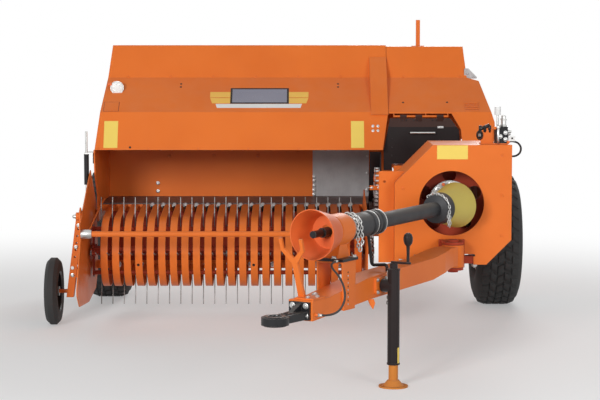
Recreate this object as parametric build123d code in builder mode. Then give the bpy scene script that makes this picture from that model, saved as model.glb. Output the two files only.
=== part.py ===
from build123d import *
from math import atan2, cos, hypot, pi, radians, sin, sqrt, tan
import os

os.makedirs("parts", exist_ok=True)

# Square baler with an offset pickup, parked on its jack. Millimetres, +Z up, front is -Y.
# The machine's own left is +X: the bale chamber stands there and the pickup reaches to -X.

# General fits
CLEAR = 0.3
SHEET = 5
PLATE = 8
HEAVY_PLATE = 12

# Bale chamber
CHAMBER_IN_X0 = 655
CHAMBER_IN_W = 460
CHAMBER_X = CHAMBER_IN_X0 + CHAMBER_IN_W / 2
CHAMBER_IN_H = 360
CHAMBER_FLOOR_Z = 560
CHAMBER_FRONT_Y = -440
CHAMBER_WALL_END_Y = 1560
CHAMBER_REAR_Y = 2332
CHAMBER_T = PLATE
RAIL_W = 60
CHUTE_L = 400
CHUTE_HINGE_GAP = 18

# Running gear
TYRE_R = 422.5
TYRE_W = 286
TYRE_CROWN = 14
RIM_R = 196
RIM_W = 230
RIM_WALL = 8
HUB_R = 62
HUB_L = 150
HUB_BORE_R = 30
SPINDLE_FIT = 0.05
WHEEL_TABLE = (
    # side, centre x, centre y, outward direction
    ("left", CHAMBER_X + CHAMBER_IN_W / 2 + 207, 850, 1),
    ("right", -1202, 1200, -1),
)
AXLE_TUBE = 90
AXLE_Y = 1020
AXLE_Z = 470

# Gauge wheel of the pickup
GAUGE_R = 201
GAUGE_W = 78
GAUGE_X = -1419
GAUGE_Y = -16
GAUGE_RIM_R = 118
GAUGE_AXLE_R = 12
GAUGE_ARM_X = -1342

# Feed housing
FEED_FLOOR_Z = 700
FEED_FRONT_Y = 342
FEED_BACK_Y = 850
FEED_SIDE_X = -1172
FEED_WALL_TOP_Z = 1230
GALV_X0 = 142
GALV_X1 = 505
GALV_TOP_Z = 1060

# Hood: front profile as (y, z) from the lower lip to the top edge
HOOD_LIP = (32, 1047)
HOOD_FOLD_LOW = (132, 1271)
HOOD_FOLD_HIGH = (402, 1474)
HOOD_TOP_FRONT = (492, 1673)
HOOD_TOP_REAR_Y = 960
HOOD_REAR_Y = 1030
HOOD_REAR_FOLD_Z = 1560
HOOD_REAR_LIP_Z = 1060
HOOD_SPLIT_X = 596
HOOD_RIGHT_LIP_X = -1174
HOOD_RIGHT_TOP_X = -1103
HOOD_LEFT_LIP_X = CHAMBER_X + 350
HOOD_LEFT_TOP_X = CHAMBER_X + 187
HOOD_CUT_IN = 40
DUCT_W = 104
DUCT_LOW = (112, 1256)
DUCT_HIGH = (448, 1600)

# Black access door below the chamber hood
DOOR_X0 = HOOD_SPLIT_X + 8
DOOR_X1 = CHAMBER_X + 145
DOOR_TOP_X1 = DOOR_X1 - 64
DOOR_TOP_Z = 1262
DOOR_FOLD_Z = 1182
DOOR_LEAN = 6
DOOR_BOTTOM_Z = CHAMBER_FLOOR_Z + CHAMBER_IN_H + 40
DOOR_LOBE_X0 = 566.0
DOOR_LOBE_X1 = CHAMBER_IN_X0 - 41
DOOR_LOBE_DROP = 39
DOOR_Y = 108
DOOR_HINGE_R = 9

# Mast behind the hood
MAST_X = 807
MAST_W = 25
MAST_Y = 700
MAST_H = 167

# Pickup: bands bent round the reel, carried by two side sheets that hang on the lift pivot
REEL_Y = -18
REEL_Z = 446
TINE_TIP_R = 320
TINE_BAR_R = 132
TINE_BAR_TUBE_R = 13
TINE_ROWS = 4
TINE_W = 5
TINE_ASIDE = 4
TINE_KNEE = 96
TINE_LAG = 22
REEL_SHAFT_R = 22
BAND_COUNT = 23
BAND_PITCH = 68
BAND_FIRST_X = -1094
BAND_W = 42
BAND_R = 212
BAND_REAR_Y = 318
BAND_TOP_Z = 694
BAND_FOOT_Z = 318
PICKUP_PIVOT_Y = 262
PICKUP_PIVOT_Z = 655
PICKUP_PIVOT_R = 16
PICKUP_SHEET_RIGHT_X = -1201
PICKUP_SHEET_LEFT_X = 446
GUARD_TUBE_R = 16.5
GUARD_TUBE_Y = -505
GUARD_TUBE_Z = 597

# Drive chains, side by side beside the pickup's left sheet, and the feed shaft that they come from
SPROCKET_GAP = 40
CHAIN_PITCH_X = 24
CHAIN_W = 16
DRIVE_CHAIN_W = 30
CHAIN_T = 14
PIVOT_CHAIN_R = 46
FEED_SHAFT_Y = 110
FEED_SHAFT_Z = 870
FEED_SHAFT_R = 18
FEED_CHAIN_R = 56
REEL_CHAIN_X = PICKUP_SHEET_LEFT_X + SPROCKET_GAP
DRIVE_CHAIN_X = REEL_CHAIN_X + CHAIN_PITCH_X

# Drive box with the flywheel
DRIVE_Z = 818
BOX_FRONT_Y = -1000
BOX_REAR_Y = -560
BOX_X0 = CHAMBER_X - 309
BOX_X1 = CHAMBER_X + 327
BOX_Z0 = 482
BOX_TOP_Z = 1136
BOX_HOLE_R = 176.5
BOX_CHAMFER_TOP = 207
BOX_CHAMFER_LOW = 135
FLYWHEEL_R = 280
FLYWHEEL_T = 70
FLYWHEEL_REAR_Y = -800
INPUT_SHAFT_R = 26
GEARBOX_FRONT_Y = -760
GEARBOX_REAR_Y = -470

# Drawbar: swings about an upright pin below the universal joint
PIVOT_X = CHAMBER_X
PIVOT_Y = -1121
PIVOT_PIN_R = 27.5
DRAWBAR_ANGLE = 31.34
DRAWBAR_L = 1804
DRAWBAR_W = 130
HITCH_Z = 430
HITCH_RING_R = 64
HITCH_BORE_R = 20
HITCH_T = 36
PTO_FALL = 25
PTO_MOUTH_S = DRAWBAR_L - 324
PTO_PIN_R = 17.5

# Jack on the drawbar
JACK_S = DRAWBAR_L - 863
JACK_SIDE = 145
JACK_TUBE_R = 30
JACK_LEG_R = 23.5
JACK_TUBE_Z0 = 111
JACK_TUBE_Z1 = 587
JACK_PIVOT_Z = 500
JACK_FOOT_R = 72.5
JACK_FOOT_T = 8


def plate_outline(points, thickness):
    """Closed outline of a sheet of even thickness on the left of an open run of points."""
    offset_points = []
    for index, point in enumerate(points):
        before = points[max(index - 1, 0)]
        after = points[min(index + 1, len(points) - 1)]
        run_in = (point[0] - before[0], point[1] - before[1])
        run_out = (after[0] - point[0], after[1] - point[1])
        if index == 0:
            run_in = run_out
        if index == len(points) - 1:
            run_out = run_in
        angle_in = atan2(run_in[1], run_in[0])
        turn = atan2(run_out[1], run_out[0]) - angle_in
        turn = atan2(sin(turn), cos(turn))
        reach = thickness / cos(turn / 2)
        normal = angle_in + turn / 2 + radians(90)
        offset_points.append((point[0] + reach * cos(normal), point[1] + reach * sin(normal)))
    return list(points) + offset_points[::-1]


def yz_plane(x):
    """Plane across the machine at x, with its own x along +Y and its own y along +Z."""
    return Plane(origin=(x, 0, 0), x_dir=(0, 1, 0), z_dir=(1, 0, 0))


def xz_plane(y):
    """Plane facing the front at y, with its own x along +X and its own y along +Z."""
    return Plane(origin=(0, y, 0), x_dir=(1, 0, 0), z_dir=(0, -1, 0))


# Road wheels
for side, wheel_x, wheel_y, outward in WHEEL_TABLE:
    wheel_plane = Plane(origin=(wheel_x, wheel_y, TYRE_R), x_dir=(0, 0, 1), z_dir=(outward, 0, 0))
    half = TYRE_W / 2
    rim_half = RIM_W / 2
    with BuildPart() as tyre:
        with BuildSketch(Plane(origin=wheel_plane.origin, x_dir=(0, 0, 1), z_dir=(0, 1, 0))):
            with BuildLine():
                Polyline(
                    (RIM_R, -rim_half + 14),
                    (RIM_R + 22, -rim_half + 2),
                    (RIM_R + 90, -half),
                    (TYRE_R - 70, -half + 2),
                    (TYRE_R - TYRE_CROWN, -half + 34),
                    (TYRE_R, -half + 62),
                    (TYRE_R, half - 62),
                    (TYRE_R - TYRE_CROWN, half - 34),
                    (TYRE_R - 70, half - 2),
                    (RIM_R + 90, half),
                    (RIM_R + 22, rim_half - 2),
                    (RIM_R, rim_half - 14),
                    close=True,
                )
            make_face()
        revolve(axis=Axis(wheel_plane.origin, (1, 0, 0)))
    tyre.part.label = f"tyre_{side}"
    export_step(tyre.part, f"parts/tyre_{side}.step")

    with BuildPart() as rim:
        with BuildSketch(Plane(origin=wheel_plane.origin, x_dir=(0, 0, 1), z_dir=(0, 1, 0))):
            # well of the rim, its two flanges and the dished disc inside it
            rim_outer = RIM_R - CLEAR
            with BuildLine():
                Polyline(
                    (rim_outer, -rim_half + 13.5),
                    (rim_outer, rim_half - 13.5),
                    (rim_outer + 18, rim_half - 2),
                    (rim_outer + 6, rim_half + 6),
                    (rim_outer - RIM_WALL, rim_half - 12),
                    (rim_outer - RIM_WALL, outward * 44 + 12),
                    (HUB_R + 46, outward * 26 + 12),
                    (HUB_R - 20, outward * 26 + 12),
                    (HUB_R - 20, outward * 26 - 2),
                    (HUB_R + 50, outward * 26 - 2),
                    (rim_outer - RIM_WALL, outward * 44 - 4),
                    (rim_outer - RIM_WALL, -rim_half + 12),
                    (rim_outer + 6, -rim_half - 6),
                    (rim_outer + 18, -rim_half + 2),
                    close=True,
                )
            make_face()
        revolve(axis=Axis(wheel_plane.origin, (1, 0, 0)))
        with BuildSketch(wheel_plane.offset(-HUB_L / 2)):
            Circle(HUB_R)
        extrude(amount=HUB_L)
        with BuildSketch(wheel_plane.offset(-HUB_L / 2)):
            Circle(HUB_BORE_R)
        extrude(amount=HUB_L - 18, mode=Mode.SUBTRACT)
    rim.part.label = f"rim_{side}"
    export_step(rim.part, f"parts/rim_{side}.step")

# Axle: a square tube below the chamber, with an arm and a spindle at each end
with BuildPart() as axle:
    arm_gap = 26
    axle_x0 = WHEEL_TABLE[1][1] + TYRE_W / 2 + arm_gap
    axle_x1 = WHEEL_TABLE[0][1] - TYRE_W / 2 - arm_gap
    with BuildSketch(yz_plane(axle_x0)):
        with Locations((AXLE_Y, AXLE_Z)):
            Rectangle(AXLE_TUBE, AXLE_TUBE)
    extrude(amount=axle_x1 - axle_x0)
    for side, wheel_x, wheel_y, outward in WHEEL_TABLE:
        arm_x = axle_x0 if outward < 0 else axle_x1 - HEAVY_PLATE * 2
        with BuildSketch(yz_plane(arm_x)):
            with BuildLine():
                arm_sign = 1 if wheel_y > AXLE_Y else -1
                Polyline(
                    (AXLE_Y - arm_sign * AXLE_TUBE / 2, AXLE_Z + AXLE_TUBE / 2 + 12),
                    (AXLE_Y + arm_sign * AXLE_TUBE, AXLE_Z + AXLE_TUBE / 2 + 12),
                    (wheel_y + arm_sign * 44, TYRE_R + 46),
                    (wheel_y + arm_sign * 44, TYRE_R - 46),
                    (AXLE_Y - arm_sign * AXLE_TUBE / 2, AXLE_Z - AXLE_TUBE / 2 - 12),
                    close=True,
                )
            make_face()
        extrude(amount=HEAVY_PLATE * 2)
        spindle_plane = Plane(
            origin=(arm_x + HEAVY_PLATE, wheel_y, TYRE_R), x_dir=(0, 0, 1), z_dir=(outward, 0, 0)
        )
        spindle_end = abs(wheel_x - arm_x - HEAVY_PLATE) + HUB_L / 2 - 18 - 4
        with BuildSketch(spindle_plane):
            Circle(HUB_BORE_R - SPINDLE_FIT)
        extrude(amount=spindle_end)
        shoulder_end = abs(wheel_x - arm_x - HEAVY_PLATE) - HUB_L / 2 - CLEAR
        with BuildSketch(spindle_plane):
            Circle(HUB_BORE_R + 16)
        extrude(amount=shoulder_end)
axle.part.label = "axle"
export_step(axle.part, "parts/axle.step")

# Bale chamber: four walls round the plunger, a feed opening in the right wall and twine slots
CHAMBER_X0 = CHAMBER_X - CHAMBER_IN_W / 2 - CHAMBER_T
CHAMBER_X1 = CHAMBER_X + CHAMBER_IN_W / 2 + CHAMBER_T
CHAMBER_Z0 = CHAMBER_FLOOR_Z - CHAMBER_T
CHAMBER_Z1 = CHAMBER_FLOOR_Z + CHAMBER_IN_H + CHAMBER_T
CHAMBER_MID_Z = (CHAMBER_Z0 + CHAMBER_Z1) / 2
KNOTTER_Y = 1330
KNOTTER_PITCH = 230
HOOP_OUT = 24
HOOP_T = 12
HOOP_Y = (-300, 60, 1090, 1500)
SLOT_W = 34
SLOT_L = 190

with BuildPart() as chamber:
    with BuildSketch(xz_plane(CHAMBER_WALL_END_Y)):
        with Locations((CHAMBER_X, CHAMBER_MID_Z)):
            Rectangle(CHAMBER_IN_W + 2 * CHAMBER_T, CHAMBER_IN_H + 2 * CHAMBER_T)
    extrude(amount=CHAMBER_WALL_END_Y - CHAMBER_FRONT_Y)
    for hoop_y in HOOP_Y:
        with BuildSketch(xz_plane(hoop_y + HOOP_T / 2)):
            with Locations((CHAMBER_X, CHAMBER_MID_Z)):
                Rectangle(
                    CHAMBER_IN_W + 2 * (CHAMBER_T + HOOP_OUT),
                    CHAMBER_IN_H + 2 * (CHAMBER_T + HOOP_OUT),
                )
        extrude(amount=HOOP_T)
    with BuildSketch(xz_plane(CHAMBER_WALL_END_Y + 1)):
        with Locations((CHAMBER_X, CHAMBER_MID_Z)):
            Rectangle(CHAMBER_IN_W, CHAMBER_IN_H)
    extrude(amount=CHAMBER_WALL_END_Y - CHAMBER_FRONT_Y + 2, mode=Mode.SUBTRACT)
    # feed opening, from the feed floor up to just under the roof
    opening_z1 = CHAMBER_FLOOR_Z + CHAMBER_IN_H - 20
    with BuildSketch(yz_plane(CHAMBER_X0 - 1)):
        with Locations(((FEED_FRONT_Y + FEED_BACK_Y) / 2, (FEED_FLOOR_Z + opening_z1) / 2)):
            Rectangle(FEED_BACK_Y - FEED_FRONT_Y - 60, opening_z1 - FEED_FLOOR_Z)
    extrude(amount=CHAMBER_T + 2, mode=Mode.SUBTRACT)
    # feed drive shaft on the right wall, with its flange and chain wheel
    for shaft_x0, shaft_x1, shaft_r in (
        (DRIVE_CHAIN_X - 4, CHAMBER_X0 + 1, FEED_SHAFT_R),
        (CHAMBER_X0 - 14, CHAMBER_X0 + 1, FEED_SHAFT_R + 22),
        (DRIVE_CHAIN_X + 1, DRIVE_CHAIN_X + DRIVE_CHAIN_W - 1, FEED_CHAIN_R - CLEAR),
    ):
        with BuildSketch(yz_plane(shaft_x0)):
            with Locations((FEED_SHAFT_Y, FEED_SHAFT_Z)):
                Circle(shaft_r)
        extrude(amount=shaft_x1 - shaft_x0)
    # slots for the two needles, through floor and roof
    with BuildSketch(Plane.XY.offset(CHAMBER_Z0 - 1)):
        with Locations((CHAMBER_X, KNOTTER_Y)):
            with GridLocations(KNOTTER_PITCH, 1, 2, 1):
                SlotOverall(SLOT_L, SLOT_W, rotation=90)
    extrude(amount=CHAMBER_Z1 - CHAMBER_Z0 + 2, mode=Mode.SUBTRACT)
chamber.part.label = "bale_chamber"
export_step(chamber.part, "parts/bale_chamber.step")

# Plunger: a box with an open grid face, standing short of the feed opening
PLUNGER_FIT = 4
PLUNGER_REAR_Y = 300
PLUNGER_L = 420
PLUNGER_BAR = 36
with BuildPart() as plunger:
    with BuildSketch(xz_plane(PLUNGER_REAR_Y)):
        with Locations((CHAMBER_X, CHAMBER_MID_Z)):
            Rectangle(CHAMBER_IN_W - 2 * PLUNGER_FIT, CHAMBER_IN_H - 2 * PLUNGER_FIT)
    extrude(amount=PLUNGER_L)
    inner_w = CHAMBER_IN_W - 2 * PLUNGER_FIT - 2 * PLUNGER_BAR
    inner_h = CHAMBER_IN_H - 2 * PLUNGER_FIT - 2 * PLUNGER_BAR
    with BuildSketch(xz_plane(PLUNGER_REAR_Y - 16)):
        with Locations((CHAMBER_X, CHAMBER_MID_Z)):
            Rectangle(inner_w, inner_h)
    extrude(amount=PLUNGER_L, mode=Mode.SUBTRACT)
    # runners that slide on the chamber floor
    with BuildSketch(xz_plane(PLUNGER_REAR_Y)):
        with Locations((CHAMBER_X, CHAMBER_FLOOR_Z + PLUNGER_FIT / 2 + CLEAR)):
            with GridLocations(inner_w, 1, 2, 1):
                Rectangle(PLUNGER_BAR, PLUNGER_FIT - CLEAR)
    extrude(amount=PLUNGER_L)
plunger.part.label = "plunger"
export_step(plunger.part, "parts/plunger.step")

# Rear of the chamber: four corner angles, side rails and two hoops
RAIL_T = 10
CHUTE_T = 6
CHUTE_SIDE_H = 46
CHUTE_PIN_R = 8
CHUTE_HINGE_Y = CHAMBER_REAR_Y + CHUTE_HINGE_GAP
CHUTE_HINGE_Z = CHAMBER_FLOOR_Z - RAIL_T - HOOP_T - 12
CHUTE_W = CHAMBER_IN_W + 2 * (RAIL_T + HOOP_T) + 2 * CHUTE_T + 12
CHUTE_NECK = 22
knuckle_x = CHUTE_W / 2 - 50
with BuildPart() as rails:
    rail_y0 = CHAMBER_WALL_END_Y
    for sign_x in (-1, 1):
        for sign_z in (-1, 1):
            corner_x = CHAMBER_X + sign_x * (CHAMBER_IN_W / 2 + RAIL_T)
            corner_z = CHAMBER_FLOOR_Z + CHAMBER_IN_H / 2 + sign_z * (CHAMBER_IN_H / 2 + RAIL_T)
            with BuildSketch(xz_plane(CHAMBER_REAR_Y)):
                with BuildLine():
                    Polyline(
                        (corner_x, corner_z),
                        (corner_x - sign_x * RAIL_W, corner_z),
                        (corner_x - sign_x * RAIL_W, corner_z - sign_z * RAIL_T),
                        (corner_x - sign_x * RAIL_T, corner_z - sign_z * RAIL_T),
                        (corner_x - sign_x * RAIL_T, corner_z - sign_z * RAIL_W),
                        (corner_x, corner_z - sign_z * RAIL_W),
                        close=True,
                    )
                make_face()
            extrude(amount=CHAMBER_REAR_Y - rail_y0)
        # middle side rail
        with BuildSketch(xz_plane(CHAMBER_REAR_Y)):
            side_x = CHAMBER_X + sign_x * (CHAMBER_IN_W / 2 + RAIL_T / 2)
            with Locations((side_x, CHAMBER_FLOOR_Z + CHAMBER_IN_H / 2)):
                Rectangle(RAIL_T, RAIL_W)
        extrude(amount=CHAMBER_REAR_Y - rail_y0)
    rail_hoops = (rail_y0 + RAIL_W, (rail_y0 + CHAMBER_REAR_Y) / 2 + 40, CHAMBER_REAR_Y)
    for hoop_y in rail_hoops:
        for sign_x in (-1, 1):
            hoop_x = CHAMBER_X + sign_x * (CHAMBER_IN_W / 2 + RAIL_T + HOOP_T / 2)
            with BuildSketch(Plane.XY.offset(CHAMBER_FLOOR_Z - RAIL_T)):
                with Locations((hoop_x, hoop_y - RAIL_W / 2)):
                    Rectangle(HOOP_T, RAIL_W)
            extrude(amount=CHAMBER_IN_H + 2 * RAIL_T)
        with BuildSketch(Plane.XY.offset(CHAMBER_FLOOR_Z - RAIL_T - HOOP_T)):
            with Locations((CHAMBER_X, hoop_y - RAIL_W / 2)):
                Rectangle(CHAMBER_IN_W + 2 * (RAIL_T + HOOP_T), RAIL_W)
        extrude(amount=HOOP_T)
    # hinge pin of the chute on two ears below the rear hoop
    with BuildSketch(yz_plane(CHAMBER_X - knuckle_x - 29)):
        with Locations((CHUTE_HINGE_Y, CHUTE_HINGE_Z)):
            Circle(CHUTE_PIN_R)
    extrude(amount=2 * knuckle_x + 58)
    # ears on the rear hoop of the rails, outside the knuckles
    for sign_x in (-1, 1):
        ear_x = CHAMBER_X + sign_x * (knuckle_x - 37)
        with BuildSketch(yz_plane(ear_x - 6)):
            with BuildLine():
                Polyline(
                    (CHAMBER_REAR_Y - 40, CHAMBER_FLOOR_Z - RAIL_T - HOOP_T + 2),
                    (CHAMBER_REAR_Y - 2, CHAMBER_FLOOR_Z - RAIL_T - HOOP_T + 2),
                    (CHUTE_HINGE_Y + 4, CHUTE_HINGE_Z + 12),
                    (CHUTE_HINGE_Y + 12, CHUTE_HINGE_Z),
                    (CHUTE_HINGE_Y + 8, CHUTE_HINGE_Z - 12),
                    (CHUTE_HINGE_Y - 10, CHUTE_HINGE_Z - 14),
                    close=True,
                )
            make_face()
        extrude(amount=12)
rails.part.label = "chamber_rails"
export_step(rails.part, "parts/chamber_rails.step")

# Tension rails above and below the bale, squeezed by two screws and springs
TENSION_RAIL_W = 90
TENSION_RAIL_GAP = 60
TENSION_BEAM = 60
TENSION_Y = CHAMBER_REAR_Y - 190
TENSION_ROOT_L = 60
SCREW_R = 13
SPRING_R = 30
SPRING_L = 150
with BuildPart() as tension:
    tension_x = TENSION_RAIL_W / 2 + TENSION_RAIL_GAP / 2
    top_rail_z = CHAMBER_FLOOR_Z + CHAMBER_IN_H - 24
    low_rail_z = CHAMBER_FLOOR_Z + 24
    for rail_z, away in ((top_rail_z, 1), (low_rail_z, -1)):
        for sign_x in (-1, 1):
            with BuildSketch(xz_plane(CHAMBER_REAR_Y)):
                with Locations((CHAMBER_X + sign_x * tension_x, rail_z + away * RAIL_T / 2)):
                    Rectangle(TENSION_RAIL_W, RAIL_T)
            extrude(amount=CHAMBER_REAR_Y - CHAMBER_WALL_END_Y + TENSION_ROOT_L)
            # root of the rail, bolted to the roof or the floor of the chamber
            root_z = (top_rail_z + RAIL_T, CHAMBER_FLOOR_Z + CHAMBER_IN_H - CLEAR)
            if away < 0:
                root_z = (CHAMBER_FLOOR_Z + CLEAR, low_rail_z - RAIL_T)
            with BuildSketch(xz_plane(CHAMBER_WALL_END_Y - 10)):
                with Locations((CHAMBER_X + sign_x * tension_x, (root_z[0] + root_z[1]) / 2)):
                    Rectangle(TENSION_RAIL_W, root_z[1] - root_z[0])
            extrude(amount=TENSION_ROOT_L - 10)
        # stand-offs and the cross beam that the screws pull on
        beam_z = CHAMBER_MID_Z + away * (CHAMBER_IN_H / 2 + CHAMBER_T + TENSION_BEAM)
        for sign_x in (-1, 1):
            with BuildSketch(Plane.XY.offset(min(rail_z + away * RAIL_T, beam_z))):
                with Locations((CHAMBER_X + sign_x * tension_x, TENSION_Y)):
                    Rectangle(TENSION_BEAM, TENSION_BEAM)
            extrude(amount=abs(beam_z - rail_z - away * RAIL_T))
        with BuildSketch(yz_plane(CHAMBER_X0 - 90)):
            with Locations((TENSION_Y, beam_z)):
                Rectangle(TENSION_BEAM, TENSION_BEAM)
        extrude(amount=CHAMBER_X1 - CHAMBER_X0 + 180)
    screw_x = (CHAMBER_X1 - CHAMBER_X0) / 2 + 56
    beam_low_z = CHAMBER_MID_Z - CHAMBER_IN_H / 2 - CHAMBER_T - TENSION_BEAM
    beam_high_z = CHAMBER_MID_Z + CHAMBER_IN_H / 2 + CHAMBER_T + TENSION_BEAM
    with BuildSketch(Plane.XY.offset(beam_low_z)):
        with Locations((CHAMBER_X - screw_x, TENSION_Y), (CHAMBER_X + screw_x, TENSION_Y)):
            Circle(SCREW_R)
    extrude(amount=beam_high_z - beam_low_z + SPRING_L + 90)
    with BuildSketch(Plane.XY.offset(beam_high_z + TENSION_BEAM / 2)):
        with Locations((CHAMBER_X - screw_x, TENSION_Y), (CHAMBER_X + screw_x, TENSION_Y)):
            Circle(SPRING_R)
    extrude(amount=SPRING_L)
tension.part.label = "tension_gear"
export_step(tension.part, "parts/tension_gear.step")

# Bale chute: a tray hinged at the lower rear edge, folded out behind the chamber
with BuildPart() as chute:
    chute_end_y = CHAMBER_REAR_Y + CHUTE_L
    chute_z = CHUTE_HINGE_Z + 12
    with BuildSketch(yz_plane(CHAMBER_X - CHUTE_W / 2)):
        chute_run = (
            (CHUTE_HINGE_Y + CHUTE_NECK, chute_z),
            (chute_end_y - 60, chute_z),
            (chute_end_y, chute_z - 26),
        )
        with BuildLine():
            Polyline(*plate_outline(chute_run, -CHUTE_T), close=True)
        make_face()
    extrude(amount=CHUTE_W)
    for sign_x in (-1, 1):
        side_x = CHAMBER_X - CHUTE_W / 2 if sign_x < 0 else CHAMBER_X + CHUTE_W / 2 - CHUTE_T
        with BuildSketch(yz_plane(side_x)):
            with BuildLine():
                Polyline(
                    (CHUTE_HINGE_Y + CHUTE_NECK, chute_z - CHUTE_T),
                    (CHUTE_HINGE_Y + CHUTE_NECK + 14, chute_z + 10),
                    (chute_end_y - 90, chute_z + CHUTE_SIDE_H),
                    (chute_end_y - 60, chute_z + CHUTE_SIDE_H),
                    (chute_end_y - 60, chute_z - CHUTE_T),
                    close=True,
                )
            make_face()
        extrude(amount=CHUTE_T)
    for sign_x in (-1, 1):
        with BuildSketch(yz_plane(CHAMBER_X + sign_x * knuckle_x - 25)):
            with BuildLine():
                Polyline(
                    (CHUTE_HINGE_Y - 13, CHUTE_HINGE_Z),
                    (CHUTE_HINGE_Y - 2, chute_z - CHUTE_T),
                    (CHUTE_HINGE_Y + 40, chute_z - CHUTE_T),
                    (CHUTE_HINGE_Y + 8, CHUTE_HINGE_Z - 10),
                    close=True,
                )
            make_face()
            with Locations((CHUTE_HINGE_Y, CHUTE_HINGE_Z)):
                Circle(13)
                Circle(CHUTE_PIN_R + SPINDLE_FIT, mode=Mode.SUBTRACT)
        extrude(amount=50)
chute.part.label = "bale_chute"
export_step(chute.part, "parts/bale_chute.step")

# Feed housing: floor, back wall, right side plate and the galvanised sheet on the wall
FEED_X1 = CHAMBER_X0 - CLEAR
FLOOR_LIP = 36
BRACKET_X = 458
STUB_L = 22
with BuildPart() as feed_floor:
    floor_run = (
        (FEED_FRONT_Y, FEED_FLOOR_Z - FLOOR_LIP),
        (FEED_FRONT_Y, FEED_FLOOR_Z),
        (FEED_BACK_Y - CLEAR, FEED_FLOOR_Z),
    )
    with BuildSketch(yz_plane(FEED_SIDE_X + CLEAR)):
        with BuildLine():
            Polyline(*plate_outline(floor_run, -PLATE), close=True)
        make_face()
    extrude(amount=FEED_X1 - FEED_SIDE_X - CLEAR)
    # bracket below the floor that carries the left lift pivot of the pickup
    with BuildSketch(yz_plane(BRACKET_X)):
        with BuildLine():
            Polyline(
                (PICKUP_PIVOT_Y, PICKUP_PIVOT_Z - 34),
                (FEED_FRONT_Y + 60, FEED_FLOOR_Z - PLATE - 90),
                (FEED_FRONT_Y + 200, FEED_FLOOR_Z - PLATE - 90),
                (FEED_FRONT_Y + 260, FEED_FLOOR_Z - PLATE),
                (FEED_FRONT_Y, FEED_FLOOR_Z - PLATE),
                (PICKUP_PIVOT_Y, PICKUP_PIVOT_Z + 34),
                close=True,
            )
        make_face()
        with Locations((PICKUP_PIVOT_Y, PICKUP_PIVOT_Z)):
            Circle(34)
    extrude(amount=HEAVY_PLATE)
    # pivot stub to the pickup and, on the other side of the bracket, the two chain wheels
    chain_end_x = DRIVE_CHAIN_X + DRIVE_CHAIN_W
    for stub_x0, stub_x1, stub_r in (
        (BRACKET_X - STUB_L, chain_end_x, PICKUP_PIVOT_R),
        (REEL_CHAIN_X + 1, REEL_CHAIN_X + CHAIN_W - 1, PIVOT_CHAIN_R - CLEAR),
        (DRIVE_CHAIN_X + 1, chain_end_x - 1, PIVOT_CHAIN_R - CLEAR),
    ):
        with BuildSketch(yz_plane(stub_x0)):
            with Locations((PICKUP_PIVOT_Y, PICKUP_PIVOT_Z)):
                Circle(stub_r)
        extrude(amount=stub_x1 - stub_x0)
feed_floor.part.label = "feed_floor"
export_step(feed_floor.part, "parts/feed_floor.step")

with BuildPart() as feed_back:
    with BuildSketch(xz_plane(FEED_BACK_Y + PLATE)):
        with BuildLine():
            Polyline(
                (FEED_SIDE_X + CLEAR, FEED_FLOOR_Z - PLATE),
                (FEED_X1, FEED_FLOOR_Z - PLATE),
                (FEED_X1, FEED_WALL_TOP_Z),
                (FEED_SIDE_X + 60, FEED_WALL_TOP_Z),
                (FEED_SIDE_X + 14, HOOD_LIP[1]),
                (FEED_SIDE_X + CLEAR, HOOD_LIP[1] - 20),
                close=True,
            )
        make_face()
    extrude(amount=PLATE)
feed_back.part.label = "feed_back_wall"
export_step(feed_back.part, "parts/feed_back_wall.step")

GALV_T = 4
with BuildPart() as galvanised:
    with BuildSketch(xz_plane(FEED_BACK_Y - CLEAR)):
        with BuildLine():
            Polyline(
                (GALV_X0, FEED_FLOOR_Z + CLEAR),
                (GALV_X1, FEED_FLOOR_Z + CLEAR),
                (GALV_X1, GALV_TOP_Z),
                (GALV_X0, GALV_TOP_Z),
                close=True,
            )
        make_face()
    extrude(amount=GALV_T)
galvanised.part.label = "galvanised_sheet"
export_step(galvanised.part, "parts/galvanised_sheet.step")

with BuildPart() as feed_side:
    with BuildSketch(yz_plane(FEED_SIDE_X - PLATE)):
        with BuildLine():
            Polyline(
                (HOOD_LIP[0], HOOD_LIP[1] - CLEAR),
                (HOOD_LIP[0] + 26, 905),
                (PICKUP_PIVOT_Y - 60, 752),
                (PICKUP_PIVOT_Y - 60, FEED_FLOOR_Z - 100),
                (FEED_BACK_Y - 90, FEED_FLOOR_Z - 100),
                (FEED_BACK_Y - 30, FEED_FLOOR_Z - PLATE),
                (FEED_BACK_Y + PLATE, FEED_FLOOR_Z - PLATE),
                (FEED_BACK_Y + PLATE, HOOD_LIP[1] - CLEAR),
                close=True,
            )
        make_face()
    extrude(amount=PLATE)
    with BuildSketch(yz_plane(FEED_SIDE_X - PLATE - 36)):
        with Locations((PICKUP_PIVOT_Y, PICKUP_PIVOT_Z)):
            Circle(PICKUP_PIVOT_R)
    extrude(amount=40)
feed_side.part.label = "feed_side_plate"
export_step(feed_side.part, "parts/feed_side_plate.step")

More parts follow.
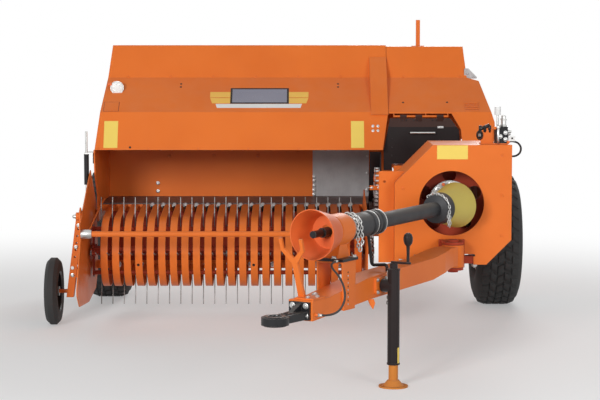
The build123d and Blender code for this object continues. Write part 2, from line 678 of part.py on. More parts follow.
# Beam below the feed housing with gussets down to the axle, and saddles below the chamber
FEED_BEAM = 80
FEED_BEAM_Y = 780
GUSSET_X = (-985, -300, 520)
SADDLE_W = 70
with BuildPart() as feed_beam:
    beam_x0 = GUSSET_X[0]
    beam_top_z = FEED_FLOOR_Z - PLATE - CLEAR
    with BuildSketch(yz_plane(beam_x0)):
        with Locations((FEED_BEAM_Y, beam_top_z - FEED_BEAM / 2)):
            Rectangle(FEED_BEAM, FEED_BEAM)
    extrude(amount=FEED_X1 - beam_x0)
    for gusset_x in GUSSET_X:
        with BuildSketch(yz_plane(gusset_x)):
            with BuildLine():
                Polyline(
                    (FEED_BEAM_Y + FEED_BEAM / 2, beam_top_z),
                    (FEED_BEAM_Y + FEED_BEAM / 2, beam_top_z - FEED_BEAM),
                    (AXLE_Y - AXLE_TUBE / 2, AXLE_Z + AXLE_TUBE / 2 + CLEAR),
                    (AXLE_Y + AXLE_TUBE / 2, AXLE_Z + AXLE_TUBE / 2 + CLEAR),
                    (AXLE_Y + AXLE_TUBE / 2, AXLE_Z + AXLE_TUBE / 2 + 40),
                    close=True,
                )
            make_face()
        extrude(amount=HEAVY_PLATE)
feed_beam.part.label = "feed_beam"
export_step(feed_beam.part, "parts/feed_beam.step")

with BuildPart() as saddles:
    saddle_z0 = AXLE_Z + AXLE_TUBE / 2 + CLEAR
    with BuildSketch(Plane.XY.offset(saddle_z0)):
        with Locations((CHAMBER_X, AXLE_Y)):
            with GridLocations(CHAMBER_IN_W - SADDLE_W, 1, 2, 1):
                Rectangle(SADDLE_W, AXLE_TUBE)
    extrude(amount=CHAMBER_Z0 - CLEAR - saddle_z0)
saddles.part.label = "axle_saddles"
export_step(saddles.part, "parts/axle_saddles.step")

# Hood: two folded shells, open below, from one front profile
hood_run = (
    HOOD_LIP,
    HOOD_FOLD_LOW,
    HOOD_FOLD_HIGH,
    HOOD_TOP_FRONT,
    (HOOD_TOP_REAR_Y, HOOD_TOP_FRONT[1]),
    (HOOD_REAR_Y, HOOD_REAR_FOLD_Z),
    (HOOD_REAR_Y, HOOD_REAR_LIP_Z),
)
hood_inner_run = plate_outline(hood_run, -SHEET)[len(hood_run):][::-1]
HOOD_TABLE = (
    # name, front outline as (x, z) from the lower right corner round the top, open side
    (
        "feeder_hood",
        (
            (HOOD_RIGHT_LIP_X, HOOD_LIP[1] - 10),
            (HOOD_RIGHT_LIP_X, HOOD_LIP[1]),
            (HOOD_RIGHT_TOP_X, HOOD_TOP_FRONT[1] + 10),
            (HOOD_SPLIT_X - 2, HOOD_TOP_FRONT[1] + 10),
            (HOOD_SPLIT_X - 2, HOOD_FOLD_LOW[1]),
            (HOOD_SPLIT_X - HOOD_CUT_IN, HOOD_LIP[1] - 10),
        ),
        (
            (HOOD_RIGHT_LIP_X + SHEET, HOOD_LIP[1] - 40),
            (HOOD_RIGHT_LIP_X + SHEET, HOOD_LIP[1]),
            (HOOD_RIGHT_TOP_X + SHEET, HOOD_TOP_FRONT[1] + 10),
            (HOOD_SPLIT_X + 10, HOOD_TOP_FRONT[1] + 10),
            (HOOD_SPLIT_X + 10, HOOD_LIP[1] - 40),
        ),
    ),
    (
        "chamber_hood",
        (
            (HOOD_SPLIT_X, HOOD_LIP[1] - 10),
            (HOOD_SPLIT_X, HOOD_TOP_FRONT[1] - 8),
            (HOOD_LEFT_TOP_X, HOOD_TOP_FRONT[1] - 8),
            (HOOD_LEFT_TOP_X + 19, HOOD_FOLD_HIGH[1]),
            (HOOD_LEFT_LIP_X - 72, HOOD_FOLD_HIGH[1] - 20),
            (HOOD_LEFT_LIP_X, HOOD_FOLD_LOW[1] - 60),
            (HOOD_LEFT_LIP_X, HOOD_LIP[1] - 10),
        ),
        (
            (HOOD_SPLIT_X - 10, HOOD_LIP[1] - 40),
            (HOOD_SPLIT_X - 10, HOOD_TOP_FRONT[1] - 8 - SHEET),
            (HOOD_LEFT_TOP_X - SHEET, HOOD_TOP_FRONT[1] - 8 - SHEET),
            (HOOD_LEFT_TOP_X + 19 - SHEET, HOOD_FOLD_HIGH[1] - SHEET),
            (HOOD_LEFT_LIP_X - 72 - SHEET, HOOD_FOLD_HIGH[1] - 20 - SHEET),
            (HOOD_LEFT_LIP_X - SHEET, HOOD_FOLD_LOW[1] - 60 - SHEET),
            (HOOD_LEFT_LIP_X - SHEET, HOOD_LIP[1] - 40),
        ),
    ),
)
hood_x0 = HOOD_RIGHT_LIP_X - 10
hood_length = HOOD_LEFT_LIP_X + 20 - hood_x0
hood_depth = HOOD_REAR_Y - HOOD_LIP[0] + 40
for hood_name, outer_front, inner_front in HOOD_TABLE:
    with BuildPart() as hood_space:
        with BuildSketch(yz_plane(hood_x0)):
            with BuildLine():
                Polyline(
                    (hood_inner_run[0][0], HOOD_LIP[1] - 60),
                    *hood_inner_run,
                    (hood_inner_run[-1][0], HOOD_LIP[1] - 60),
                    close=True,
                )
            make_face()
        extrude(amount=hood_length)
        with BuildSketch(xz_plane(HOOD_REAR_Y + 20)):
            with BuildLine():
                Polyline(*inner_front, close=True)
            make_face()
        extrude(amount=hood_depth, mode=Mode.INTERSECT)
    with BuildPart() as hood:
        with BuildSketch(yz_plane(hood_x0)):
            with BuildLine():
                Polyline(*hood_run, close=True)
            make_face()
        extrude(amount=hood_length)
        with BuildSketch(xz_plane(HOOD_REAR_Y + 20)):
            with BuildLine():
                Polyline(*outer_front, close=True)
            make_face()
        extrude(amount=hood_depth, mode=Mode.INTERSECT)
        add(hood_space.part, mode=Mode.SUBTRACT)
        if hood_name == "chamber_hood":
            # opening for the access door, and the hinge pin on three ears
            door_edge = DOOR_X1 + 6
            with BuildSketch(xz_plane(HOOD_FOLD_LOW[0] + 120)):
                with BuildLine():
                    Polyline(
                        (HOOD_SPLIT_X - 10, HOOD_LIP[1] - 40),
                        (HOOD_SPLIT_X - 10, DOOR_TOP_Z),
                        (DOOR_TOP_X1 + 10, DOOR_TOP_Z),
                        (door_edge - 6, DOOR_FOLD_Z - 14),
                        (door_edge, HOOD_LIP[1] + 26),
                        (door_edge, HOOD_LIP[1] - 40),
                        close=True,
                    )
                make_face()
            extrude(amount=hood_depth / 2, mode=Mode.SUBTRACT)
            hinge_z = DOOR_TOP_Z - 16
            with BuildSketch(yz_plane(DOOR_X0 + 20)):
                with Locations((DOOR_Y + 10, hinge_z)):
                    Circle(DOOR_HINGE_R - 3)
            extrude(amount=DOOR_TOP_X1 - DOOR_X0 - 30)
            for ear_x in (DOOR_X0 + 20, (DOOR_X0 + DOOR_X1) / 2, DOOR_TOP_X1 - 16):
                with BuildSketch(yz_plane(ear_x)):
                    with BuildLine():
                        Polyline(
                            (DOOR_Y + 6, hinge_z - 5),
                            (DOOR_Y + 14, hinge_z - 5),
                            (HOOD_FOLD_LOW[0] + 30, DOOR_TOP_Z + 14),
                            (HOOD_FOLD_LOW[0] - 2, DOOR_TOP_Z + 2),
                            (DOOR_Y + 6, hinge_z + 6),
                            close=True,
                        )
                    make_face()
                extrude(amount=6)
    hood.part.label = hood_name
    export_step(hood.part, f"parts/{hood_name}.step")

# Duct that bridges the hollow fold of the hood
with BuildPart() as duct:
    slope_top = (HOOD_TOP_FRONT[0] - HOOD_FOLD_HIGH[0]) / (HOOD_TOP_FRONT[1] - HOOD_FOLD_HIGH[1])
    slope_low = (HOOD_FOLD_LOW[0] - HOOD_LIP[0]) / (HOOD_FOLD_LOW[1] - HOOD_LIP[1])
    top_back_y = HOOD_FOLD_HIGH[0] + slope_top * (DUCT_HIGH[1] - HOOD_FOLD_HIGH[1])
    low_back_y = HOOD_FOLD_LOW[0] - slope_low * (HOOD_FOLD_LOW[1] - DUCT_LOW[1])
    with BuildSketch(yz_plane(HOOD_SPLIT_X - 2 - DUCT_W)):
        with BuildLine():
            Polyline(
                DUCT_LOW,
                DUCT_HIGH,
                (top_back_y - CLEAR, DUCT_HIGH[1]),
                (HOOD_FOLD_HIGH[0] - CLEAR, HOOD_FOLD_HIGH[1]),
                (HOOD_FOLD_LOW[0] - CLEAR, HOOD_FOLD_LOW[1]),
                (low_back_y - CLEAR, DUCT_LOW[1]),
                close=True,
            )
        make_face()
    extrude(amount=DUCT_W)
duct.part.label = "hood_duct"
export_step(duct.part, "parts/hood_duct.step")

# Black access door, hung on its top edge
DOOR_T = 4
DOOR_HANDLE_X = 724
DOOR_HANDLE_L = 150
DOOR_HANDLE_OUT = 30
with BuildPart() as door:
    door_top_z = hinge_z - DOOR_HINGE_R - 3
    lobe_z = DOOR_BOTTOM_Z - DOOR_LOBE_DROP
    door_run = ((DOOR_Y, lobe_z), (DOOR_Y, DOOR_FOLD_Z), (DOOR_Y + DOOR_LEAN, door_top_z))
    with BuildSketch(yz_plane(DOOR_LOBE_X0)):
        with BuildLine():
            Polyline(*plate_outline(door_run, -DOOR_T), close=True)
        make_face()
    extrude(amount=DOOR_X1 - DOOR_LOBE_X0)
    with BuildSketch(xz_plane(DOOR_Y + 40)):
        with BuildLine():
            Polyline(
                (DOOR_LOBE_X0, lobe_z),
                (DOOR_LOBE_X1, lobe_z),
                (DOOR_LOBE_X1, DOOR_BOTTOM_Z),
                (DOOR_X1, DOOR_BOTTOM_Z),
                (DOOR_X1, HOOD_LIP[1] + 20),
                (DOOR_X1 - 10, DOOR_FOLD_Z - 18),
                (DOOR_TOP_X1, door_top_z + 2),
                (DOOR_X0, door_top_z + 2),
                (DOOR_LOBE_X0, HOOD_LIP[1] - 4),
                close=True,
            )
        make_face()
    extrude(amount=80, mode=Mode.INTERSECT)
    for knuckle_x in (DOOR_X0 + 60, (DOOR_X0 + DOOR_X1) / 2 - 60, DOOR_TOP_X1 - 80):
        with BuildSketch(yz_plane(knuckle_x)):
            with BuildLine():
                Polyline(
                    (DOOR_Y + DOOR_LEAN - 3, hinge_z - 30),
                    (DOOR_Y + DOOR_LEAN + 1, hinge_z - 30),
                    (DOOR_Y + 10 + DOOR_HINGE_R, hinge_z),
                    (DOOR_Y + 10 - DOOR_HINGE_R, hinge_z),
                    close=True,
                )
            make_face()
            with Locations((DOOR_Y + 10, hinge_z)):
                Circle(DOOR_HINGE_R)
            with Locations((DOOR_Y + 10, hinge_z)):
                Circle(DOOR_HINGE_R - 3 + SPINDLE_FIT, mode=Mode.SUBTRACT)
        extrude(amount=40)
    # pull handle: a bar on two feet
    handle_z = DOOR_FOLD_Z - 34
    with BuildSketch(xz_plane(DOOR_Y)):
        with Locations((DOOR_HANDLE_X + 10, handle_z), (DOOR_HANDLE_X + DOOR_HANDLE_L - 10, handle_z)):
            Circle(5)
    extrude(amount=DOOR_HANDLE_OUT)
    with BuildSketch(yz_plane(DOOR_HANDLE_X)):
        with Locations((DOOR_Y - DOOR_HANDLE_OUT, handle_z)):
            Circle(6)
    extrude(amount=DOOR_HANDLE_L)
door.part.label = "access_door"
export_step(door.part, "parts/access_door.step")

# Frame inside the hood: two uprights on the chamber, a cross tube and hangers for the forks
HOOD_POST = 40
HOOD_POST_Y = 800
HOOD_BEAM_Z = HOOD_TOP_FRONT[1] - SHEET - 8 - HOOD_POST / 2 - CLEAR
with BuildPart() as hood_frame:
    with BuildSketch(Plane.XY.offset(CHAMBER_Z1 + CLEAR)):
        with Locations((CHAMBER_X0 + 60, HOOD_POST_Y), (CHAMBER_X1 - 90, HOOD_POST_Y)):
            Rectangle(HOOD_POST, HOOD_POST)
    extrude(amount=HOOD_BEAM_Z - CHAMBER_Z1 - CLEAR)
    with BuildSketch(yz_plane(HOOD_RIGHT_TOP_X + SHEET + 30)):
        with Locations((HOOD_POST_Y, HOOD_BEAM_Z)):
            Rectangle(HOOD_POST, HOOD_POST)
    extrude(amount=CHAMBER_X1 - 70 - HOOD_RIGHT_TOP_X - SHEET - 30)
    # post at the right end, standing on the back wall
    with BuildSketch(Plane.XY.offset(FEED_WALL_TOP_Z + CLEAR)):
        with Locations((HOOD_RIGHT_TOP_X + 90, FEED_BACK_Y)):
            Rectangle(HOOD_POST, HOOD_POST)
    extrude(amount=HOOD_BEAM_Z + HOOD_POST / 2 - FEED_WALL_TOP_Z - CLEAR)
    with BuildSketch(Plane.XY.offset(HOOD_BEAM_Z - HOOD_POST / 2)):
        with Locations((HOOD_RIGHT_TOP_X + 90, (FEED_BACK_Y + HOOD_POST_Y) / 2)):
            Rectangle(HOOD_POST, FEED_BACK_Y - HOOD_POST_Y + HOOD_POST)
    extrude(amount=HOOD_POST)
hood_frame.part.label = "hood_frame"
export_step(hood_frame.part, "parts/hood_frame.step")

# Feeder forks: a cross bar below the hood frame with three groups of curved fingers
FORK_BAR_Z = 1290
FORK_TIP_Z = 1010
FORK_T = 12
FORK_X = (-820, -300, 220)
with BuildPart() as forks:
    with BuildSketch(yz_plane(FORK_X[0] - 140)):
        with Locations((HOOD_POST_Y - 160, FORK_BAR_Z)):
            Circle(26)
    extrude(amount=FORK_X[-1] - FORK_X[0] + 280)
    for fork_x in FORK_X:
        for finger in (-1, 0, 1):
            with BuildSketch(yz_plane(fork_x + finger * 70 - FORK_T / 2)):
                with BuildLine():
                    Polyline(
                        (HOOD_POST_Y - 190, FORK_BAR_Z + 10),
                        (HOOD_POST_Y - 130, FORK_BAR_Z + 10),
                        (HOOD_POST_Y - 150, FORK_TIP_Z + 130),
                        (HOOD_POST_Y - 190, FORK_TIP_Z),
                        (HOOD_POST_Y - 204, FORK_TIP_Z + 4),
                        (HOOD_POST_Y - 186, FORK_TIP_Z + 140),
                        close=True,
                    )
                make_face()
            extrude(amount=FORK_T)
        # hanger up to the cross tube of the hood frame
        with BuildSketch(yz_plane(fork_x + 110)):
            with BuildLine():
                Polyline(
                    (HOOD_POST_Y - 178, FORK_BAR_Z),
                    (HOOD_POST_Y - 142, FORK_BAR_Z),
                    (HOOD_POST_Y + 20, HOOD_BEAM_Z - HOOD_POST / 2 - CLEAR),
                    (HOOD_POST_Y - 20, HOOD_BEAM_Z - HOOD_POST / 2 - CLEAR),
                    close=True,
                )
            make_face()
        extrude(amount=HEAVY_PLATE)
forks.part.label = "feeder_forks"
export_step(forks.part, "parts/feeder_forks.step")

# Mast on the chamber hood
with BuildPart() as mast:
    mast_z0 = HOOD_TOP_FRONT[1] - 8 + CLEAR
    with BuildSketch(Plane.XY.offset(mast_z0)):
        with Locations((MAST_X, MAST_Y)):
            Rectangle(MAST_W + 50, MAST_W + 50)
    extrude(amount=SHEET)
    with BuildSketch(Plane.XY.offset(mast_z0)):
        with Locations((MAST_X, MAST_Y)):
            Rectangle(MAST_W, MAST_W)
            Rectangle(MAST_W - 8, MAST_W - 8, mode=Mode.SUBTRACT)
    extrude(amount=MAST_H)
mast.part.label = "mast"
export_step(mast.part, "parts/mast.step")

# Twine box beside the chamber, with a hinged lid
TWINE_X0 = 130
TWINE_X1 = 590
TWINE_Y0 = 1090
TWINE_Y1 = 1500
TWINE_Z0 = 640
TWINE_Z1 = 1080
with BuildPart() as twine_box:
    with BuildSketch(Plane.XY.offset(TWINE_Z0)):
        with Locations(((TWINE_X0 + TWINE_X1) / 2, (TWINE_Y0 + TWINE_Y1) / 2)):
            RectangleRounded(TWINE_X1 - TWINE_X0, TWINE_Y1 - TWINE_Y0, 30)
    extrude(amount=TWINE_Z1 - TWINE_Z0)
    with BuildSketch(Plane.XY.offset(TWINE_Z0 + SHEET)):
        with Locations(((TWINE_X0 + TWINE_X1) / 2, (TWINE_Y0 + TWINE_Y1) / 2)):
            RectangleRounded(TWINE_X1 - TWINE_X0 - 2 * SHEET, TWINE_Y1 - TWINE_Y0 - 2 * SHEET, 25)
    extrude(amount=TWINE_Z1 - TWINE_Z0, mode=Mode.SUBTRACT)
    # two brackets to the chamber wall
    for bracket_y in (TWINE_Y0 + 90, TWINE_Y1 - 90):
        with BuildSketch(xz_plane(bracket_y)):
            with BuildLine():
                Polyline(
                    (TWINE_X1 - SHEET / 2, TWINE_Z0 + 20),
                    (CHAMBER_X0 - CLEAR, TWINE_Z0 + 20),
                    (CHAMBER_X0 - CLEAR, TWINE_Z0 + 140),
                    (TWINE_X1 - SHEET / 2, TWINE_Z0 + 220),
                    close=True,
                )
            make_face()
        extrude(amount=HEAVY_PLATE)
    # hinge pin for the lid along the chamber side, on two ears
    lid_hinge = (TWINE_X1 + 14, TWINE_Z1 + 6)
    with BuildSketch(xz_plane(TWINE_Y1 - 60)):
        with Locations(lid_hinge):
            Circle(5)
    extrude(amount=TWINE_Y1 - TWINE_Y0 - 120)
    for ear_y in (TWINE_Y0 + 70, TWINE_Y1 - 60):
        with BuildSketch(xz_plane(ear_y)):
            with BuildLine():
                Polyline(
                    (TWINE_X1 - 2, TWINE_Z1 - 60),
                    (lid_hinge[0] + 8, lid_hinge[1]),
                    (lid_hinge[0], lid_hinge[1] + 8),
                    (lid_hinge[0] - 8, lid_hinge[1] + 2),
                    (TWINE_X1 - 2, TWINE_Z1 - 14),
                    close=True,
                )
            make_face()
        extrude(amount=8)
twine_box.part.label = "twine_box"
export_step(twine_box.part, "parts/twine_box.step")

with BuildPart() as twine_lid:
    lid_z = TWINE_Z1 + CLEAR
    with BuildSketch(Plane.XY.offset(lid_z)):
        lid_x0 = TWINE_X0 - 8
        with Locations(((lid_x0 + TWINE_X1 - 2) / 2, (TWINE_Y0 + TWINE_Y1) / 2)):
            RectangleRounded(TWINE_X1 - 2 - lid_x0, TWINE_Y1 - TWINE_Y0 + 16, 30)
    extrude(amount=SHEET)
    for knuckle_y in (TWINE_Y0 + 190, TWINE_Y1 - 130):
        with BuildSketch(xz_plane(knuckle_y)):
            with BuildLine():
                Polyline(
                    (TWINE_X1 - 20, lid_z),
                    (lid_hinge[0], lid_hinge[1] - 5),
                    (lid_hinge[0], lid_hinge[1] + 9),
                    (TWINE_X1 - 20, lid_z + SHEET + 6),
                    close=True,
                )
            make_face()
            with Locations(lid_hinge):
                Circle(9)
                Circle(5 + SPINDLE_FIT, mode=Mode.SUBTRACT)
        extrude(amount=60)
twine_lid.part.label = "twine_box_lid"
export_step(twine_lid.part, "parts/twine_box_lid.step")

# Knotters on the chamber roof: a shaft, two knotter heads between side plates, and a trip disc
KNOTTER_SHAFT_Z = CHAMBER_Z1 + 120
with BuildPart() as knotters:
    with BuildSketch(yz_plane(CHAMBER_X0 + 30)):
        with Locations((KNOTTER_Y, KNOTTER_SHAFT_Z)):
            Circle(16)
    extrude(amount=CHAMBER_X1 - CHAMBER_X0 - 20)
    for sign_x in (-1, 1):
        head_x = CHAMBER_X + sign_x * KNOTTER_PITCH / 2
        # cam disc with its toothed rim, and the curved head in front of it
        with BuildSketch(yz_plane(head_x - 34)):
            with Locations((KNOTTER_Y, KNOTTER_SHAFT_Z)):
                Circle(92)
                with PolarLocations(92, 14, start_angle=-60, angular_range=150, endpoint=True):
                    Circle(7)
        extrude(amount=16)
        with BuildSketch(yz_plane(head_x - 18)):
            with BuildLine():
                Polyline(
                    (KNOTTER_Y - 30, KNOTTER_SHAFT_Z - 30),
                    (KNOTTER_Y + 26, KNOTTER_SHAFT_Z - 30),
                    (KNOTTER_Y + 70, CHAMBER_Z1 + 44),
                    (KNOTTER_Y + 96, CHAMBER_Z1 + CLEAR),
                    (KNOTTER_Y + 40, CHAMBER_Z1 + CLEAR),
                    (KNOTTER_Y + 20, CHAMBER_Z1 + 40),
                    (KNOTTER_Y - 50, CHAMBER_Z1 + 60),
                    close=True,
                )
            make_face()
        extrude(amount=30)
    for plate_x in (CHAMBER_X0 + 40, CHAMBER_X1 - 52):
        with BuildSketch(yz_plane(plate_x)):
            with BuildLine():
                Polyline(
                    (KNOTTER_Y - 110, CHAMBER_Z1 + CLEAR),
                    (KNOTTER_Y + 110, CHAMBER_Z1 + CLEAR),
                    (KNOTTER_Y + 40, KNOTTER_SHAFT_Z + 34),
                    (KNOTTER_Y - 40, KNOTTER_SHAFT_Z + 34),
                    close=True,
                )
            make_face()
        extrude(amount=12)
    with BuildSketch(yz_plane(CHAMBER_X1 - 20)):
        with Locations((KNOTTER_Y, KNOTTER_SHAFT_Z)):
            Circle(105)
            with PolarLocations(70, 5):
                Circle(20, mode=Mode.SUBTRACT)
    extrude(amount=14)
knotters.part.label = "knotters"
export_step(knotters.part, "parts/knotters.step")

# Needles: two curved arms on a yoke that hangs below the chamber from two side pivots
NEEDLE_PIVOT_Y = 1250
NEEDLE_PIVOT_Z = 640
NEEDLE_T = 14
NEEDLE_BEAM_Z = 318
with BuildPart() as needles:
    yoke_x = CHAMBER_IN_W / 2 + CHAMBER_T + HOOP_OUT + 6
    for sign_x in (-1, 1):
        arm_x = CHAMBER_X + sign_x * yoke_x - (0 if sign_x > 0 else HEAVY_PLATE)
        with BuildSketch(yz_plane(arm_x)):
            with BuildLine():
                Polyline(
                    (NEEDLE_PIVOT_Y - 26, NEEDLE_PIVOT_Z),
                    (NEEDLE_PIVOT_Y - 20, NEEDLE_BEAM_Z - 24),
                    (NEEDLE_PIVOT_Y + 30, NEEDLE_BEAM_Z - 24),
                    (NEEDLE_PIVOT_Y + 26, NEEDLE_PIVOT_Z),
                    close=True,
                )
            make_face()
            with Locations((NEEDLE_PIVOT_Y, NEEDLE_PIVOT_Z)):
                Circle(26)
        extrude(amount=HEAVY_PLATE)
        # pivot boss against the chamber wall
        with BuildSketch(yz_plane(CHAMBER_X1 + CLEAR if sign_x > 0 else arm_x)):
            with Locations((NEEDLE_PIVOT_Y, NEEDLE_PIVOT_Z)):
                Circle(18)
        extrude(amount=yoke_x - CHAMBER_IN_W / 2 - CHAMBER_T - CLEAR + HEAVY_PLATE)
        needle_x = CHAMBER_X + sign_x * KNOTTER_PITCH / 2 - NEEDLE_T / 2
        # needle blade: a ring sector from the beam round to just below the slot
        with BuildSketch(yz_plane(needle_x)):
            with BuildLine():
                tip = (KNOTTER_Y + 60, CHAMBER_Z0 - 12)
                root = (NEEDLE_PIVOT_Y, NEEDLE_BEAM_Z - 16)
                ThreePointArc(root, (KNOTTER_Y + 66, NEEDLE_BEAM_Z + 70), tip)
                Line(tip, (tip[0] - 16, tip[1]))
                ThreePointArc(
                    (tip[0] - 16, tip[1]), (KNOTTER_Y + 30, NEEDLE_BEAM_Z + 86), (root[0], root[1] + 32)
                )
                Line((root[0], root[1] + 32), root)
            make_face()
        extrude(amount=NEEDLE_T)
    with BuildSketch(yz_plane(CHAMBER_X - yoke_x)):
        with Locations((NEEDLE_PIVOT_Y, NEEDLE_BEAM_Z)):
            Circle(24)
    extrude(amount=2 * yoke_x)
needles.part.label = "needle_yoke"
export_step(needles.part, "parts/needle_yoke.step")

# Pickup side sheets, hung on the two lift pivots
REEL_BORE_R = REEL_SHAFT_R + SPINDLE_FIT
SHEET_TABLE = (
    # name, x of the outer face, depth the front edge bulges forward
    ("pickup_sheet_right", PICKUP_SHEET_RIGHT_X, 1),
    ("pickup_sheet_left", PICKUP_SHEET_LEFT_X, 0),
)
SHEET_T = 6
for sheet_name, sheet_x, bulge in SHEET_TABLE:
    with BuildPart() as side_sheet:
        with BuildSketch(yz_plane(sheet_x)):
            with BuildLine():
                if bulge:
                    upper = ((20, 927), (-300, 768), (GUARD_TUBE_Y - 40, GUARD_TUBE_Z + 50))
                    lower = ((-518, 565), (-700, 300), (-690, 262), (-588, 188), (-128, 152))
                else:
                    upper = ((150, 800), (-250, 720), (GUARD_TUBE_Y - 40, GUARD_TUBE_Z + 40))
                    lower = ((-500, 540), (-480, 400), (-430, 270), (-250, 190), (-60, 165))
                Polyline(
                    (PICKUP_PIVOT_Y + 40, PICKUP_PIVOT_Z + 44),
                    *upper,
                    *lower,
                    (232, 188),
                    (PICKUP_PIVOT_Y + 100, 300),
                    (PICKUP_PIVOT_Y + 60, PICKUP_PIVOT_Z - 40),
                    close=True,
                )
            make_face()
            with Locations((REEL_Y, REEL_Z)):
                Circle(REEL_BORE_R, mode=Mode.SUBTRACT)
            with Locations((PICKUP_PIVOT_Y, PICKUP_PIVOT_Z)):
                Circle(PICKUP_PIVOT_R + SPINDLE_FIT, mode=Mode.SUBTRACT)
        extrude(amount=SHEET_T)
    side_sheet.part.label = sheet_name
    export_step(side_sheet.part, f"parts/{sheet_name}.step")

# Stripper bands, bent round the reel from one rear rail to the other
PICKUP_IN_X0 = PICKUP_SHEET_RIGHT_X + SHEET_T + CLEAR
PICKUP_IN_X1 = PICKUP_SHEET_LEFT_X - CLEAR
BAND_T = 4


def reel_tangent(point, turn_sign):
    """Direction from the reel centre, in radians, of the tangent point of a line from a point."""
    across = (point[0] - REEL_Y, point[1] - REEL_Z)
    spread = sqrt(1 - (BAND_R / hypot(*across)) ** 2)
    return atan2(across[1], across[0]) + turn_sign * atan2(spread, BAND_R / hypot(*across))


def reel_point(angle, radius):
    """Point at a direction and radius round the reel, as (y, z)."""
    return (REEL_Y + radius * cos(angle), REEL_Z + radius * sin(angle))


def turned(points, angle):
    """Points given along and across a radius of the reel, turned round it, as (y, z)."""
    return [
        (
            REEL_Y + along * cos(angle) - across * sin(angle),
            REEL_Z + along * sin(angle) + across * cos(angle),
        )
        for along, across in points
    ]


with BuildPart() as bands:
    top_end = (BAND_REAR_Y, BAND_TOP_Z)
    foot_end = (BAND_REAR_Y, BAND_FOOT_Z)
    top_angle = reel_tangent(top_end, 1)
    foot_angle = reel_tangent(foot_end, -1)
    front_angle = (top_angle + foot_angle) / 2 + radians(180)
    inner_r = BAND_R - BAND_T
    top_in = (top_end[0] - BAND_T * cos(top_angle), top_end[1] - BAND_T * sin(top_angle))
    foot_in = (foot_end[0] - BAND_T * cos(foot_angle), foot_end[1] - BAND_T * sin(foot_angle))
    band_solids = []
    for band_index in range(BAND_COUNT):
        band_x = BAND_FIRST_X + band_index * BAND_PITCH
        with BuildSketch(yz_plane(band_x - BAND_W / 2)):
            with BuildLine():
                Line(foot_end, reel_point(foot_angle, BAND_R))
                ThreePointArc(
                    reel_point(foot_angle, BAND_R),
                    reel_point(front_angle, BAND_R),
                    reel_point(top_angle, BAND_R),
                )
                Line(reel_point(top_angle, BAND_R), top_end)
                Line(top_end, top_in)
                Line(top_in, reel_point(top_angle, inner_r))
                ThreePointArc(
                    reel_point(top_angle, inner_r),
                    reel_point(front_angle, inner_r),
                    reel_point(foot_angle, inner_r),
                )
                Line(reel_point(foot_angle, inner_r), foot_in)
                Line(foot_in, foot_end)
            make_face()
        band_solids.append(extrude(amount=BAND_W, mode=Mode.PRIVATE))
    # the top rail ends inside the feed side plate, the foot rail reaches both sheets
    for rail_x0, rail_z0, rail_h, rail_t in (
        (FEED_SIDE_X + 8, BAND_TOP_Z - 40, 40, 8),
        (PICKUP_IN_X0, BAND_FOOT_Z - 20, 50, 34),
    ):
        with BuildSketch(yz_plane(rail_x0)):
            with Locations((BAND_REAR_Y - 4 + rail_t / 2, rail_z0 + rail_h / 2)):
                Rectangle(rail_t, rail_h)
        extrude(amount=PICKUP_IN_X1 - rail_x0)
    add(band_solids)
bands.part.label = "pickup_bands"
export_step(bands.part, "parts/pickup_bands.step")

# Tined reel: shaft, three spiders, four bars and the tines that pass between the bands
SPIDER_T = 10
REEL_CHAIN_R = 74
with BuildPart() as reel:
    shaft_x0 = PICKUP_SHEET_RIGHT_X - 14
    with BuildSketch(yz_plane(shaft_x0)):
        with Locations((REEL_Y, REEL_Z)):
            Circle(REEL_SHAFT_R)
    extrude(amount=REEL_CHAIN_X + 20 - shaft_x0)
    bar_x0 = PICKUP_IN_X0 + 12
    bar_x1 = PICKUP_IN_X1 - 12
    spider_x = (bar_x0, (bar_x0 + bar_x1) / 2 - SPIDER_T / 2, bar_x1 - SPIDER_T)
    for x in spider_x:
        with BuildSketch(yz_plane(x)):
            with Locations((REEL_Y, REEL_Z)):
                Circle(REEL_SHAFT_R + 26)
                Rectangle(2 * TINE_BAR_R, 44)
                Rectangle(44, 2 * TINE_BAR_R)
                with PolarLocations(TINE_BAR_R, TINE_ROWS):
                    Circle(TINE_BAR_TUBE_R + 12)
        extrude(amount=SPIDER_T)
    with BuildSketch(yz_plane(bar_x0)):
        with Locations((REEL_Y, REEL_Z)):
            with PolarLocations(TINE_BAR_R, TINE_ROWS):
                Circle(TINE_BAR_TUBE_R)
    extrude(amount=bar_x1 - bar_x0)
    # each gap between two bands, and the one beside the first band, gets one tine from every bar
    tine_outline = (
        (TINE_BAR_R, -TINE_W / 2),
        (TINE_BAR_R + TINE_KNEE, -TINE_W / 2),
        (TINE_TIP_R, -TINE_W / 2 - TINE_LAG),
        (TINE_TIP_R, TINE_W / 2 - TINE_LAG),
        (TINE_BAR_R + TINE_KNEE - 2, TINE_W / 2),
        (TINE_BAR_R, TINE_W / 2),
    )
    tine_sets = []
    for gap in range(-1, BAND_COUNT - 1):
        tine_x = BAND_FIRST_X + (gap + 0.5) * BAND_PITCH - TINE_ASIDE
        with BuildSketch(yz_plane(tine_x - TINE_W / 2)):
            for row in range(TINE_ROWS):
                with BuildLine():
                    Polyline(*turned(tine_outline, row * 2 * pi / TINE_ROWS), close=True)
                make_face()
        tine_sets.append(extrude(amount=TINE_W, mode=Mode.PRIVATE))
    add(tine_sets)
    # driven wheel of the reel outside the left sheet
    with BuildSketch(yz_plane(REEL_CHAIN_X + 3)):
        with Locations((REEL_Y, REEL_Z)):
            Circle(REEL_CHAIN_R - 1)
            with PolarLocations(48, 4):
                Circle(12, mode=Mode.SUBTRACT)
    extrude(amount=10)
reel.part.label = "pickup_reel"
export_step(reel.part, "parts/pickup_reel.step")

